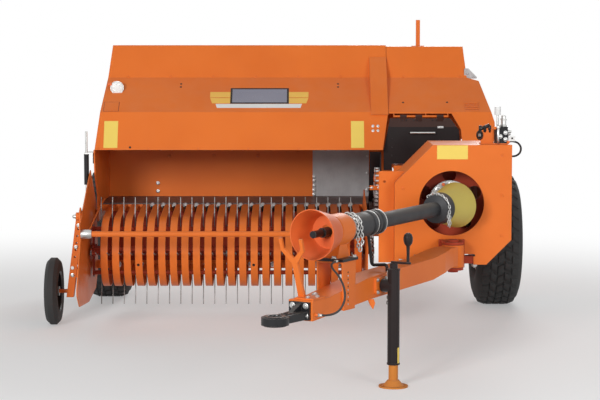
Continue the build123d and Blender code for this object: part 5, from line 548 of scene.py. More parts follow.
class Coat(Enum):
    """The finishes of the machine."""

    ORANGE = Enamel("orange_enamel", "orange_paint", (0.76, 0.176, 0.028), (0.71, 0.156, 0.024))
    # Painted shade: darker orange for the crease round the hood's pressed panel and for the slots of its
    # louvre.
    DEEP_ORANGE = Enamel("painted_shade_orange", "orange_paint", (0.50, 0.10, 0.022), (0.45, 0.085, 0.018))
    # Painted shade: dark red that stands for orange lying in deep shade, used for the parts inside the
    # machine, the reel, the sheet behind it and the inner walls of the drive box.
    SHADOW_RED = Enamel(
        "shadow_red_enamel", "shadow_red_paint", (0.42, 0.055, 0.022), (0.34, 0.04, 0.016), roughness=0.42
    )
    LEG_ORANGE = Enamel("leg_orange_enamel", "orange_leg_paint", (0.57, 0.205, 0.036), (0.52, 0.18, 0.030))
    DARK_GREY = Enamel(
        "floor_grey_enamel", "dark_grey_paint", (0.150, 0.100, 0.092), (0.110, 0.076, 0.070), roughness=0.4
    )
    BLACK = Enamel(
        "black_enamel", "black_paint", (0.020, 0.014, 0.014), (0.014, 0.010, 0.010),
        roughness=0.30, clear_coat=0.1, dust=0.06,
    )
    # Painted reflection: dark red-brown for the orange hood mirrored in the door's upper strip.
    DOOR_TOP = Enamel(
        "door_top_painted_reflection", "black_paint", (0.048, 0.018, 0.013), (0.036, 0.014, 0.010),
        roughness=0.30, clear_coat=0.1, dust=0.06,
    )
    CAST_BLACK = Enamel(
        "cast_black_paint", "cast_black", (0.018, 0.018, 0.020), (0.010, 0.010, 0.011),
        roughness=0.26, clear_coat=0.2, dust=0.12, wear=0.5, peel_depth=0.0016,
    )
    RIM = Enamel(
        "rim_paint", "rim_paint", (0.62, 0.62, 0.60), (0.54, 0.54, 0.53),
        roughness=0.3, clear_coat=0.2, dust=0.2,
    )
    STRIPE_YELLOW = Enamel(
        "stripe_yellow", "orange_paint", (0.86, 0.52, 0.09), (0.82, 0.47, 0.08),
        roughness=0.3, clear_coat=0.3, dust=0.05, wear=0.0,
    )
    BADGE_GREY = Enamel(
        "badge_grey", "orange_paint", (0.27, 0.27, 0.33), (0.23, 0.23, 0.29),
        roughness=0.3, clear_coat=0.2, dust=0.05, wear=0.0,
    )
    SIGN_YELLOW = Enamel(
        "sign_yellow", "yellow_plastic", (0.84, 0.62, 0.13), (0.80, 0.58, 0.12),
        roughness=0.35, clear_coat=0.1, dust=0.05, wear=0.0,
    )
    GALVANISED = BareMetal(
        "galvanised_sheet_metal", "galvanised", (0.40, 0.39, 0.39), (0.32, 0.31, 0.31),
        roughness=0.50, stain_amount=0.3, metallic=0.35,
    )
    STEEL = BareMetal("plated_steel", "steel", (0.52, 0.52, 0.51), (0.28, 0.25, 0.22), roughness=0.27)
    TINE_STEEL = BareMetal(
        "tine_steel", "steel", (0.19, 0.18, 0.175), (0.09, 0.08, 0.07), roughness=0.38, stain_amount=0.5
    )
    DARK_STEEL = BareMetal(
        "oiled_steel", "steel", (0.16, 0.15, 0.145), (0.05, 0.045, 0.04), roughness=0.3, stain_amount=0.6
    )
    LINK_STEEL = BareMetal(
        "zinc_link_steel", "steel", (0.70, 0.70, 0.69), (0.36, 0.34, 0.32),
        roughness=0.35, stain_amount=0.3, metallic=0.4,
    )
    GUARD_BLACK = Moulded(
        "guard_black_plastic", "guard_plastic", (0.022, 0.022, 0.025), (0.013, 0.013, 0.015), roughness=0.42
    )
    GUARD_YELLOW = Moulded(
        "guard_yellow_plastic", "yellow_plastic", (0.52, 0.41, 0.085), (0.46, 0.36, 0.07),
        roughness=0.34, dust=0.1,
    )
    GUARD_ORANGE = Moulded(
        "guard_orange_plastic", "orange_plastic", (0.72, 0.14, 0.03), (0.62, 0.11, 0.024),
        roughness=0.4, dust=0.1,
    )
    RUBBER = Moulded(
        "tyre_rubber", "tyre_rubber", (0.020, 0.020, 0.022), (0.012, 0.012, 0.013),
        roughness=0.62, dust=0.35,
    )
    HOSE = Moulded(
        "hose_rubber_black", "hose_rubber", (0.020, 0.020, 0.021), (0.013, 0.013, 0.014),
        roughness=0.4, dust=0.1,
    )
    WHITE = Moulded(
        "reflector_white", "rim_paint", (0.78, 0.78, 0.76), (0.70, 0.70, 0.69), roughness=0.25, dust=0.05
    )

    def material(self) -> bpy.types.Material:
        """The finish's material, built once by the Workshop."""
        return bpy.data.materials[self.value.name]


# Mesh tools


class Piece:
    """One rigid piece of the scene, gathered as a mesh from rings, bolts, plates and tubes."""

    def __init__(self, name: str, body: str, *coats: Coat) -> None:
        """Start an empty piece.

        Args:
            name: name of the Blender object.
            body: the moving body it rides on.
            coats: its finishes; the first one is used until another is chosen.
        """
        self.name = name
        self.body = body
        self.coats = coats
        self.mesh = bmesh.new()
        self.index = 0

    def use(self, coat: Coat) -> None:
        """Give the faces that follow this finish."""
        self.index = self.coats.index(coat)

    def loft(self, rings: Sequence[Sequence[Vector]], closed: bool = False) -> None:
        """Join rings of equally many points by faces.

        Args:
            rings: the rings in order.
            closed: join the last ring to the first; otherwise both get a cap.
        """
        made = [[self.mesh.verts.new(point) for point in ring] for ring in rings]
        faces = []
        for low, high in zip(made, made[1:] + made[:1] if closed else made[1:]):
            for step in range(len(low)):
                after = (step + 1) % len(low)
                faces.append((low[step], low[after], high[after], high[step]))
        if not closed:
            faces += [made[0][::-1], made[-1]]
        for corners in faces:
            self.mesh.faces.new(corners).material_index = self.index

    def turned(
        self,
        profile: Sequence[Flat],
        origin: Vector,
        axis: Vector,
        sides: int,
        closed: bool = False,
    ) -> None:
        """Turn a profile of (distance along the axis, radius) about an axis.

        Args:
            profile: points of the profile.
            origin: point on the axis where the distance is 0.
            axis: unit vector.
            sides: number of facets round the axis.
            closed: the profile is a loop, as for a ring.
        """
        _, across, up = along(Vector((0, 0, 0)), axis)
        rings = [
            circle(origin + axis * distance, across * radius, up * radius, sides)
            for distance, radius in profile
        ]
        self.loft(rings, closed=closed)

    def rod(self, first: Vector, second: Vector, radius: float, sides: int = 12) -> None:
        """Lay a round bar with softened ends.

        Args:
            first: where it starts.
            second: where it ends.
            radius: of the bar.
            sides: number of its facets.
        """
        length = (second - first).length
        cut = radius * 0.1
        profile = ((0, radius - cut), (cut, radius), (length - cut, radius), (length, radius - cut))
        self.turned(profile, first, (second - first).normalized(), sides)

    def bolt(self, seat: Vector, axis: Vector, radius: float, washer: bool = True) -> None:
        """Set a hexagon bolt head on its seat.

        Args:
            seat: point on the surface below the head.
            axis: unit vector out of the surface.
            radius: half the width across the head's corners.
            washer: put a washer below the head.
        """
        height = radius * 0.18 if washer else 0.0
        if washer:
            rim = ((0, radius * 1.35), (height * 0.7, radius * 1.35), (height, radius * 1.25))
            self.turned(rim, seat, axis, 16)
        head = (
            (height, radius * 0.98),
            (height + radius * 0.62, radius),
            (height + radius * 0.74, radius * 0.86),
        )
        self.turned(head, seat, axis, 6)

    def bolts(self, seats: Iterable[Vector], axis: Vector, radius: float, washer: bool = True) -> None:
        """Set alike bolts on many seats."""
        for seat in seats:
            self.bolt(seat, axis, radius, washer)

    def hole(self, place: Vector, axis: Vector, radius: float, rise: float = 0.0004, sides: int = 16) -> None:
        """Lay a thin dark disc that shows as an open hole; its dark colour is painted shade for the inside of
        the hole.
        """
        self.turned(((0, radius), (rise, radius)), place, axis, sides)

    def plate(
        self,
        outline: Sequence[Flat],
        origin: Vector,
        thickness: float,
        right: Vector = RIGHT,
        up: Vector = UP,
    ) -> None:
        """Lay a flat plate.

        Args:
            outline: corners in the plate's own right and up directions, counter-clockwise.
            origin: the plate's own zero point, on its back.
            thickness: towards right x up.
            right: unit vector.
            up: unit vector.
        """
        out = right.cross(up)
        back = [origin + right * x + up * y for x, y in outline]
        cut = min(thickness * 0.35, 0.0012)
        middle = sum(back, Vector()) / len(back)
        front = [point + out * (thickness - cut) for point in back]
        crown = [point + out * thickness + (middle - point).normalized() * cut for point in back]
        self.loft([back, front, crown])

    def tube(self, points: Sequence[Vector], radius: float, sides: int = 10, closed: bool = False) -> None:
        """Sweep a round section along points.

        Args:
            points: centre line.
            radius: of the section.
            sides: facets of the section.
            closed: join the end to the start.
        """
        rings = []
        count = len(points)
        carried = None
        for step, point in enumerate(points):
            before = points[(step - 1) % count] if closed or step > 0 else point
            after = points[(step + 1) % count] if closed or step < count - 1 else point
            axis = (after - before).normalized()
            if carried is None:
                carried = along(before, after)[1]
            carried = (carried - axis * carried.dot(axis)).normalized()
            rings.append(circle(point, carried * radius, axis.cross(carried) * radius, sides))
        self.loft(rings, closed=closed)

    def finish(self, smooth_angle: float = 35.0) -> bpy.types.Object:
        """Turn the gathered mesh into an object that rides on its body.

        Args:
            smooth_angle: edges flatter than this many degrees are shaded smooth.

        Returns:
            The object.
        """
        bmesh.ops.recalc_face_normals(self.mesh, faces=self.mesh.faces)
        data = bpy.data.meshes.new(self.name)
        self.mesh.to_mesh(data)
        self.mesh.free()
        made = bpy.data.objects.new(self.name, data)
        bpy.context.scene.collection.objects.link(made)
        for coat in self.coats:
            data.materials.append(coat.material())
        data.polygons.foreach_set("use_smooth", [True] * len(data.polygons))
        data.set_sharp_from_angle(angle=math.radians(smooth_angle))
        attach(made, self.body)
        LOG.info("%s: %d faces on %s", self.name, len(data.polygons), self.body)
        return made


# Dressing of the hood


@dataclass(frozen=True)
class Band:
    """One flat band of the hood's front, from its lower fold to its upper fold, as (y, z) in millimetres."""

    low: Flat
    high: Flat

    @property
    def up(self) -> Vector:
        """Unit vector along the slope."""
        return Vector((0, self.high[0] - self.low[0], self.high[1] - self.low[1])).normalized()

    @property
    def out(self) -> Vector:
        """Unit vector out of the sheet."""
        return RIGHT.cross(self.up)

    def at(self, x: float, climb: float, lift: float = 0.0) -> Vector:
        """Point on the band.

        Args:
            x: across the machine, in millimetres.
            climb: distance up the slope from the lower fold, in millimetres.
            lift: distance off the sheet, in millimetres.

        Returns:
            The point in metres.
        """
        return mm(x, *self.low) + (self.up * climb + self.out * lift) / 1000

    def foil(self, piece: Piece, span: Flat, rise: Flat, lift: float, slant: float = 0.0) -> None:
        """Lay a thin foil on the band.

        Args:
            piece: piece that takes the foil.
            span: x of both ends.
            rise: lower and upper edge, up the slope.
            lift: thickness of the foil.
            slant: how far the ends lean outward at the bottom.
        """
        (left, right), (low, high) = span, rise
        corners = ((left - slant, low), (right + slant, low), (right, high), (left, high))
        piece.loft([[self.at(x, climb, height) for x, climb in corners] for height in (0.0, lift)])


@dataclass
class HoodTrim:
    """Fasteners, holes, stripes, blank signs, reflector and louvre of the hood."""

    low: Band = Band((32, 1047), (132, 1271))
    middle: Band = Band((132, 1271), (402, 1474))
    top: Band = Band((402, 1474), (492, 1673))
    screw_r: float = 0.0065
    hole_r: float = 0.007
    top_screw_x: tuple[float, ...] = (-1004, -741, -478, -215, 48, 310, 700, 875, 1050)
    low_screw_x: tuple[float, ...] = (-1150, -850, -550, -250, 50, 350, 1050, 1190)
    duct_bolts: tuple[Flat, ...] = ((500, 155), (500, 125), (530, 155), (530, 125))
    gable_bolts: tuple[Flat, ...] = (
        (540, 1640), (500, 1560), (760, 1560), (940, 1540), (760, 1180), (940, 1180), (300, 1180)
    )
    middle_holes: tuple[Flat, ...] = (
        (687, 92), (955, 94), (-672, 244), (-672, 274), (294, 244), (294, 274)
    )
    sign_x: tuple[Flat, ...] = ((-1121, -1037), (367, 446))
    sign_rise: Flat = (13, 187)
    stripe_x: Flat = (-489, 112)
    badge_x: Flat = (-365, -8)
    badge_rise: Flat = (80, 232)
    badge_rim: float = 12.0
    under_x: Flat = (-453, 72)
    vent_x: Flat = (-1131, -1037)
    vent_rise: Flat = (5, 97)
    louvre_x: Flat = (1056, 1150)
    louvre_climbs: tuple[float, ...] = (28, 46, 64, 82)
    reflector: Point = (-1060, 300, 1414)
    reflector_r: float = 0.041

    def build_fasteners(self) -> None:
        """Screws along the folds and on the gables, and the open holes."""
        piece = Piece("hood_fasteners", "frame", Coat.ORANGE, Coat.BLACK, Coat.STEEL)
        top_seats = [self.top.at(x, 7) for x in self.top_screw_x]
        low_seats = [self.low.at(x, 9) for x in self.low_screw_x]
        piece.bolts(top_seats, self.top.out, self.screw_r, washer=False)
        piece.bolts(low_seats, self.low.out, self.screw_r * 0.8, washer=False)
        piece.use(Coat.STEEL)
        piece.bolts([self.low.at(*place) for place in self.duct_bolts], self.low.out, self.screw_r)
        for y, z in self.gable_bolts:
            for node, side in (("feeder_hood", -1), ("chamber_hood", 1)):
                seat, out = seat_on(node, mm(side * 2000, y, z), -RIGHT * side)
                piece.bolt(seat, out, self.screw_r)
        piece.use(Coat.BLACK)
        piece.hole(self.low.at(-961, 17), self.low.out, self.hole_r)
        for place in self.middle_holes:
            piece.hole(self.middle.at(*place), self.middle.out, self.hole_r)
        piece.finish()

    def build_signs(self) -> None:
        """Blank yellow signs on the lower band."""
        piece = Piece("hood_signs", "frame", Coat.SIGN_YELLOW)
        for span in self.sign_x:
            self.low.foil(piece, span, self.sign_rise, 0.9)
        piece.finish()

    def build_stripes(self) -> None:
        """Yellow double stripe with a pale one below and a blank badge in the middle."""
        piece = Piece(
            "hood_stripes", "frame", Coat.STRIPE_YELLOW, Coat.WHITE, Coat.BLACK, Coat.BADGE_GREY
        )
        self.middle.foil(piece, self.stripe_x, (141, 194), 0.6)
        self.middle.foil(piece, self.stripe_x, (84, 136), 0.6, slant=-14.0)
        piece.use(Coat.WHITE)
        self.middle.foil(piece, self.under_x, (40, 78), 0.6, slant=-9.0)
        piece.use(Coat.BLACK)
        self.middle.foil(piece, self.badge_x, self.badge_rise, 0.9)
        piece.use(Coat.BADGE_GREY)
        rim = self.badge_rim
        span, rise = ((low + rim, high - rim) for low, high in (self.badge_x, self.badge_rise))
        self.middle.foil(piece, span, rise, 1.3)
        piece.finish()

    def build_pressings(self) -> None:
        """Embossed panel at one end of the middle band, and louvre at the other, with painted shade in darker
        orange round the panel and in the louvre's slots.
        """
        piece = Piece("hood_pressings", "frame", Coat.ORANGE, Coat.DEEP_ORANGE)
        # Painted shade: a darker orange rim round the pressed panel for the shade in its crease.
        piece.use(Coat.DEEP_ORANGE)
        self.middle.foil(piece, self.vent_x, self.vent_rise, 0.8)
        piece.use(Coat.ORANGE)
        span, rise = ((low + 4, high - 4) for low, high in (self.vent_x, self.vent_rise))
        self.middle.foil(piece, span, rise, 2.6)
        self.middle.foil(piece, self.louvre_x, (10, 104), 1.2)
        start, end = self.louvre_x[0] + 6, self.louvre_x[1] - 6
        for climb in self.louvre_climbs:
            piece.use(Coat.ORANGE)
            piece.tube([self.middle.at(x, climb, 2.4) for x in (start, (start + end) / 2, end)], 0.0034, 8)
            # Painted shade: a darker orange line below each ridge for the shade in the louvre's slot.
            piece.use(Coat.DEEP_ORANGE)
            self.middle.foil(piece, (start, end), (climb - 9, climb - 4), 1.5)
        piece.finish()

    def build_reflector(self) -> None:
        """Round white reflector in a plated cup, standing on the slope, with its red side lamp foot."""
        piece = Piece("hood_reflector", "frame", Coat.STEEL, Coat.WHITE, Coat.GUARD_ORANGE)
        centre = mm(*self.reflector)
        rim = self.reflector_r
        cup = ((0, rim * 0.8), (0.010, rim), (0.020, rim), (0.020, rim * 0.92), (0.014, rim * 0.9))
        piece.turned(cup, centre, FORWARD, 32)
        piece.use(Coat.WHITE)
        lens = ((0.012, rim * 0.9), (0.019, rim * 0.88), (0.022, rim * 0.6), (0.023, rim * 0.2))
        piece.turned(lens, centre, FORWARD, 32)
        piece.use(Coat.STEEL)
        ring = ((0.0205, rim * 0.62), (0.0245, rim * 0.60), (0.0245, rim * 0.52), (0.0210, rim * 0.48))
        piece.turned(ring, centre, FORWARD, 32, closed=True)
        piece.rod(centre + mm(0, 0, -38), centre + mm(0, 12, -62), 0.007)
        piece.use(Coat.GUARD_ORANGE)
        piece.rod(mm(-1118, 290, 1436), mm(-1092, 290, 1436), 0.013, 16)
        piece.finish()

    def build_bracket(self) -> None:
        """Plated bracket where the left gable steps out."""
        piece = Piece("hood_gable_bracket", "frame", Coat.GALVANISED)
        outline = scaled(((0, 0), (78, 0), (78, 10), (26, 62), (0, 62)))
        piece.plate(outline, mm(1076, 412, 1468), 0.004)
        piece.bolt(mm(1096, 407, 1500), FORWARD, 0.007)
        piece.bolt(mm(1136, 407, 1474), FORWARD, 0.005)
        piece.finish()

    def build(self) -> None:
        """Build all of the hood's trim."""
        self.build_fasteners()
        self.build_signs()
        self.build_stripes()
        self.build_pressings()
        self.build_reflector()
        self.build_bracket()


@dataclass
class DoorTrim:
    """Lock plate and hinge screws of the black door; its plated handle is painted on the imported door."""

    lock: Point = (908, 106, 1181)
    lock_outline: tuple[Flat, ...] = rectangle(0.018, 0.0065)
    hinge_x: tuple[float, ...] = (690, 757, 872)
    side_z: tuple[float, ...] = (960, 1010, 1060, 1110)

    def build(self) -> None:
        """Build the door's trim."""
        piece = Piece("door_lock", "door", Coat.STEEL, Coat.BLACK)
        piece.plate(self.lock_outline, mm(*self.lock), 0.006)
        piece.turned(((0.006, 0.0045), (0.011, 0.004)), mm(*self.lock), FORWARD, 12)
        piece.use(Coat.BLACK)
        hinge_seats = [mm(x + side, 112, 1222) for x in self.hinge_x for side in (-11, 11)]
        piece.bolts(hinge_seats, FORWARD, 0.005, washer=False)
        piece.bolts([mm(616, 106.5, z) for z in self.side_z], FORWARD, 0.0045, washer=False)
        piece.finish()


# Dressing of the wheels, the roller chains and the pickup


@dataclass(frozen=True)
class TreadRow:
    """One row of tread blocks: its ends across the tyre in millimetres, the rest in pitches."""

    low: float
    high: float
    shift: float
    fill: float
    skew: float


@dataclass
class RoadTyre:
    """Road tyre with five rows of tread blocks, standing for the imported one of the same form."""

    node: str
    body: str
    x: float
    y: float
    outward: float
    radius: float = 422.5
    width: float = 286.0
    rim_radius: float = 196.0
    rim_width: float = 230.0
    groove: float = 10.0
    pitches: int = 34
    nuts: int = 6
    rows: tuple[TreadRow, ...] = (
        TreadRow(-113, -69, 0.0, 0.62, 0.30),
        TreadRow(-62, -24, 0.5, 0.70, -0.25),
        TreadRow(-19, 19, 0.0, 0.74, 0.25),
        TreadRow(24, 62, 0.5, 0.70, -0.25),
        TreadRow(69, 113, 0.0, 0.62, -0.30),
    )

    @property
    def centre(self) -> Vector:
        """Middle of the tyre in metres."""
        return mm(self.x, self.y, self.radius)

    def carcass(self, piece: Piece) -> None:
        """Turn the tyre's casing, with raised rings on its walls.

        Args:
            piece: piece that takes the casing.
        """
        half, seat, crown = self.width / 2, self.rim_width / 2, self.radius - self.groove
        run = (
            (-seat + 14, self.rim_radius),
            (-seat + 2, self.rim_radius + 22),
            (-half + 12, self.rim_radius + 40),
            (-half + 5, self.rim_radius + 62),
            (-half + 0.5, self.rim_radius + 86),
            (-half, self.rim_radius + 104),
            (-half + 2, self.radius - 78),
            (-half + 14, self.radius - 44),
            (-half + 34, crown - 13),
            (-half + 62, crown),
        )
        profile = run + tuple((-distance, radius) for distance, radius in reversed(run))
        piece.turned(scaled(profile), self.centre, RIGHT, 72, closed=True)
        middle = self.rim_radius + 96
        ring = scaled(((0, middle - 6), (2.4, middle - 4), (2.4, middle + 4), (0, middle + 6)))
        for side in (-RIGHT, RIGHT):
            piece.turned(ring, self.centre + side * (half - 2.6) / 1000, side, 72, closed=True)

    def block(self, piece: Piece, row: TreadRow, count: int) -> None:
        """Raise one tread block.

        Args:
            piece: piece that takes the block.
            row: the row that it stands in.
            count: its number round the tyre.
        """
        step = 2 * math.pi / self.pitches
        middle = (count + row.shift + row.fill / 2) * step
        rings = []
        for depth, shrink in ((-2.0, 0.0), (self.groove - 1.5, 0.10), (self.groove, 0.20)):
            half = row.fill * step / 2 * (1 - shrink)
            inset = (row.high - row.low) / 2 * shrink * 0.6
            near, far = (row.low + inset, 0.0), (row.high - inset, row.skew * step)
            ring = []
            for (x, slide), sign in ((near, -1), (far, -1), (far, 1), (near, 1)):
                fall = max(0.0, abs(x) - (self.width / 2 - 62)) * 0.5
                reach = (self.radius - self.groove - fall + depth) / 1000
                angle = middle + slide + sign * half
                spoke = UP * math.cos(angle) - FORWARD * math.sin(angle)
                ring.append(self.centre + mm(x, 0, 0) + spoke * reach)
            rings.append(ring)
        piece.loft(rings)

    def build_nuts(self) -> None:
        """Wheel nuts, vent holes and hub cap."""
        piece = Piece(f"{self.node}_wheel_nuts", self.body, Coat.STEEL, Coat.BLACK)
        axis = RIGHT * self.outward
        seat = self.centre + axis * 0.038
        for spoke in circle(Vector((0, 0, 0)), UP, -FORWARD, self.nuts):
            piece.use(Coat.STEEL)
            piece.bolt(seat + spoke * 0.084, axis, 0.014)
            piece.use(Coat.BLACK)
            piece.hole(seat + spoke * 0.135 + axis * 0.006, axis, 0.013, 0.0006)
        piece.use(Coat.STEEL)
        cap = ((0, 0.044), (0.010, 0.043), (0.016, 0.036), (0.018, 0.012))
        piece.turned(cap, self.centre + axis * 0.075, axis, 32)
        piece.finish()

    def build(self) -> None:
        """Build casing and tread, and the wheel nuts."""
        piece = Piece(f"{self.node}_tread", self.body, Coat.RUBBER)
        self.carcass(piece)
        for count in range(self.pitches):
            for row in self.rows:
                self.block(piece, row, count)
        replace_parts(piece.finish(smooth_angle=50), self.node)
        self.build_nuts()


@dataclass(frozen=True)
class Sprocket:
    """Wheel of a roller chain: its middle and radius in the side view, in millimetres."""

    y: float
    z: float
    radius: float


@dataclass
class ChainRun:
    """Roller chain round two wheels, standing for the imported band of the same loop."""

    node: str
    body: str
    x: float
    width: float
    first: Sprocket
    second: Sprocket
    thickness: float = 14.0
    pitch: float = 25.4
    arc_steps: int = 40

    def loop(self) -> list[Vector]:
        """Draw the centre line of the taut loop.

        Returns:
            Its points in metres, close together, with the first one repeated at the end.
        """
        rise = (self.second.y - self.first.y, self.second.z - self.first.z)
        aim = math.atan2(rise[1], rise[0])
        half = math.acos((self.first.radius - self.second.radius) / math.hypot(*rise))
        arcs = ((self.second, aim + half, -2 * half), (self.first, aim - half, 2 * half - 2 * math.pi))
        points = []
        for wheel, start, sweep in arcs:
            radius = wheel.radius + self.thickness / 2
            for step in range(self.arc_steps + 1):
                angle = start + sweep * step / self.arc_steps
                place = (wheel.y + radius * math.cos(angle), wheel.z + radius * math.sin(angle))
                points.append(mm(self.x + self.width / 2, *place))
        return points + points[:1]

    def stations(self) -> list[Vector]:
        """Space an even number of pins round the loop.

        Returns:
            The middles of the pins.
        """
        points = self.loop()
        lengths = [(b - a).length for a, b in zip(points, points[1:])]
        count = 2 * round(sum(lengths) * 1000 / self.pitch / 2)
        gap = sum(lengths) / count
        pins, travelled, wanted = [], 0.0, 0.0
        for start, end, length in zip(points, points[1:], lengths):
            while wanted < travelled + length and len(pins) < count:
                pins.append(start.lerp(end, (wanted - travelled) / length))
                wanted += gap
            travelled += length
        return pins

    def side_plate(self, piece: Piece, first: Vector, second: Vector, offset: float) -> None:
        """Lay one waisted link plate between two pins.

        Args:
            piece: piece that takes it.
            first: first pin.
            second: second pin.
            offset: distance of its middle from the chain's middle plane, in millimetres.
        """
        aim = (second - first).normalized()
        across = RIGHT.cross(aim)
        height = self.thickness / 2000
        ring = []
        for pin, sign in ((first, -1), (second, 1)):
            for step in range(7):
                angle = math.pi * (step / 6 - 0.5)
                ring.append(pin + (aim * math.cos(angle) + across * math.sin(angle)) * sign * height)
            ring.append((first + second) / 2 + across * sign * height * 0.62)
        piece.loft([[point + RIGHT * (offset + side) / 1000 for point in ring] for side in (-1.3, 1.3)])

    def build(self) -> None:
        """Build rollers, pins and both rows of plates."""
        piece = Piece(f"{self.node}_links", self.body, Coat.LINK_STEEL, Coat.DARK_STEEL)
        pins = self.stations()
        outer = self.width / 2 - 1.4
        inner = outer - 2.9
        for count, pin in enumerate(pins):
            after = pins[(count + 1) % len(pins)]
            piece.use(Coat.LINK_STEEL if count % 2 else Coat.DARK_STEEL)
            for side in (-1, 1):
                self.side_plate(piece, pin, after, side * (outer if count % 2 else inner))
            piece.use(Coat.LINK_STEEL)
            for reach, radius, sides in (
                (inner - 1.6, self.thickness * 0.00042, 10),
                (self.width / 2 - 0.2, 0.0032, 8),
            ):
                piece.rod(pin - RIGHT * reach / 1000, pin + RIGHT * reach / 1000, radius, sides)
        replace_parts(piece.finish(), self.node)


@dataclass
class PickupTrim:
    """Fasteners of the bands, tine coils, back sheet, guard rod, lug and gauge-wheel fittings."""

    first_x: float = -1094.0
    pitch: float = 68.0
    count: int = 23
    band_r: float = 212.0
    rail_y: float = 314.0
    rail_z: float = 322.0
    covered_x: float = -900.0
    coil_r: float = 0.015
    sheet_x: Flat = (-1130, 438)
    sheet_z: Flat = (348, 680)
    sheet_y: float = 322.0
    right_x: float = -1201.0
    left_x: float = 452.0
    right_bolts: tuple[Flat, ...] = ((-300, 720), (-120, 780), (-560, 420), (-420, 260), (120, 700))
    left_bolts: tuple[Flat, ...] = ((-200, 700), (-380, 560), (-300, 300), (120, 640))
    arm_bolt_z: tuple[float, ...] = (300, 470, 600)
    arm_pin_z: float = 345.0

    def on_band(self, x: float, z: float, lift: float = 0.4) -> tuple[Vector, Vector]:
        """Find a place on the round front of the bands.

        Args:
            x: across the machine, in millimetres.
            z: its height.
            lift: distance off the band.

        Returns:
            The point in metres, and the unit vector out of the band.
        """
        rise = z - REEL_AXIS[1]
        reach = -math.sqrt(self.band_r**2 - rise**2)
        out = Vector((0, reach, rise)).normalized()
        return mm(x, REEL_AXIS[0] + reach, z) + out * lift / 1000, out

    def build_bands(self) -> None:
        """Bolts at both ends of the bands and on the rails between them, tine coils, and two open holes."""
        piece = Piece("pickup_fasteners", "pickup", Coat.STEEL, Coat.BLACK, Coat.ORANGE)
        top_out = Vector((0, -0.86, 0.5)).normalized()
        for step in range(self.count - 1):
            x = self.first_x + self.pitch * (step + 0.58)
            if x > self.covered_x:
                piece.use(Coat.STEEL)
                piece.bolt(mm(x, self.rail_y, 690), top_out, 0.0135)
                piece.use(Coat.BLACK)
                for turn in range(3):
                    centre = mm(x - 4 + 7.5 * turn, 296, 668)
                    ring = circle(centre, -FORWARD * self.coil_r, UP * self.coil_r, 14)
                    piece.tube(ring, 0.0034, 6, closed=True)
            if step % 2 == 0:
                piece.use(Coat.STEEL)
                piece.bolt(mm(x - 6, self.rail_y - 1, self.rail_z), FORWARD, 0.013)
        piece.use(Coat.ORANGE)
        for step in range(self.count):
            seat = mm(self.first_x + self.pitch * step, self.rail_y, self.rail_z)
            piece.bolt(seat, FORWARD, 0.008, washer=False)
        piece.use(Coat.BLACK)
        for step in (3, 13):
            piece.hole(*self.on_band(self.first_x + self.pitch * step - 3, 384), 0.0085)
        piece.finish()

    def build_back_sheet(self) -> None:
        """Dark red sheet behind the reel, screwed to the rear rails of the bands; it is painted shade that
        darkens the gaps between the bands.
        """
        piece = Piece("reel_back_sheet", "pickup", Coat.SHADOW_RED, Coat.STEEL)
        (left, right), (low, high) = self.sheet_x, self.sheet_z
        outline = scaled(((-left, high), (-right, high), (-right, low), (-left, low)))
        piece.plate(outline, mm(0, self.sheet_y, 0), 0.0025, right=-RIGHT)
        piece.use(Coat.STEEL)
        for x in range(-1080, 440, 190):
            piece.bolts([mm(x, self.sheet_y + 2.5, z) for z in (high - 12, low + 14)], -FORWARD, 0.007)
        piece.finish()

    def build_guard(self) -> None:
        """Bush on the guard tube, the bent guard rod beside the right sheet, and the lug with its dome nut."""
        piece = Piece("pickup_guard_fittings", "pickup", Coat.STEEL, Coat.ORANGE)
        bush = ((0, 0.0255), (0.002, 0.0268), (0.044, 0.0268), (0.060, 0.0228), (0.062, 0.018))
        piece.turned(bush, mm(-1194, *GUARD_TUBE_AXIS), RIGHT, 28)
        piece.use(Coat.ORANGE)
        rod = ((-1156, -498, 604), (-1152, -380, 626), (-1146, -150, 676), (-1138, 40, 716), (-1130, 180, 742))
        piece.tube([mm(*place) for place in rod], 0.005, 8)
        piece.rod(mm(self.right_x, -420, 690), mm(-1232, -420, 690), 0.024, 20)
        lug = scaled(((-36, -52), (36, -52), (36, 30), (0, 52), (-36, 30)))
        piece.plate(lug, mm(self.right_x - 2, -420, 690), 0.008, right=FORWARD)
        piece.use(Coat.STEEL)
        dome = ((0, 0.015), (0.004, 0.015), (0.006, 0.011), (0.014, 0.011), (0.020, 0.007), (0.022, 0.002))
        piece.turned(dome, mm(-1232, -420, 690), -RIGHT, 18)
        piece.bolts([mm(self.right_x, y, z) for y, z in self.right_bolts], -RIGHT, 0.009)
        piece.bolts([mm(self.left_x, y, z) for y, z in self.left_bolts], RIGHT, 0.009)
        piece.turned(((0, 0.040), (0.008, 0.038), (0.012, 0.026)), mm(self.left_x, *REEL_AXIS), RIGHT, 24)
        piece.finish()

    def arm_x(self, z: float) -> float:
        """Middle of the slanting gauge-wheel arm at height z, in millimetres."""
        return -1321 + 62 * (z - 167) / 473

    def build_arm(self) -> None:
        """Bolts and pin of the gauge-wheel arm."""
        piece = Piece("gauge_arm_fittings", "pickup", Coat.STEEL)
        piece.bolts([mm(self.arm_x(z), -46, z) for z in self.arm_bolt_z], FORWARD, 0.009)
        pin_x = self.arm_x(self.arm_pin_z) - 6
        piece.rod(mm(pin_x, -52, self.arm_pin_z), mm(pin_x, -40, self.arm_pin_z), 0.011, 14)
        piece.finish()

    def build(self) -> None:
        """Build all of the pickup's trim."""
        self.build_bands()
        self.build_back_sheet()
        self.build_guard()
        self.build_arm()


# Dressing of the drive


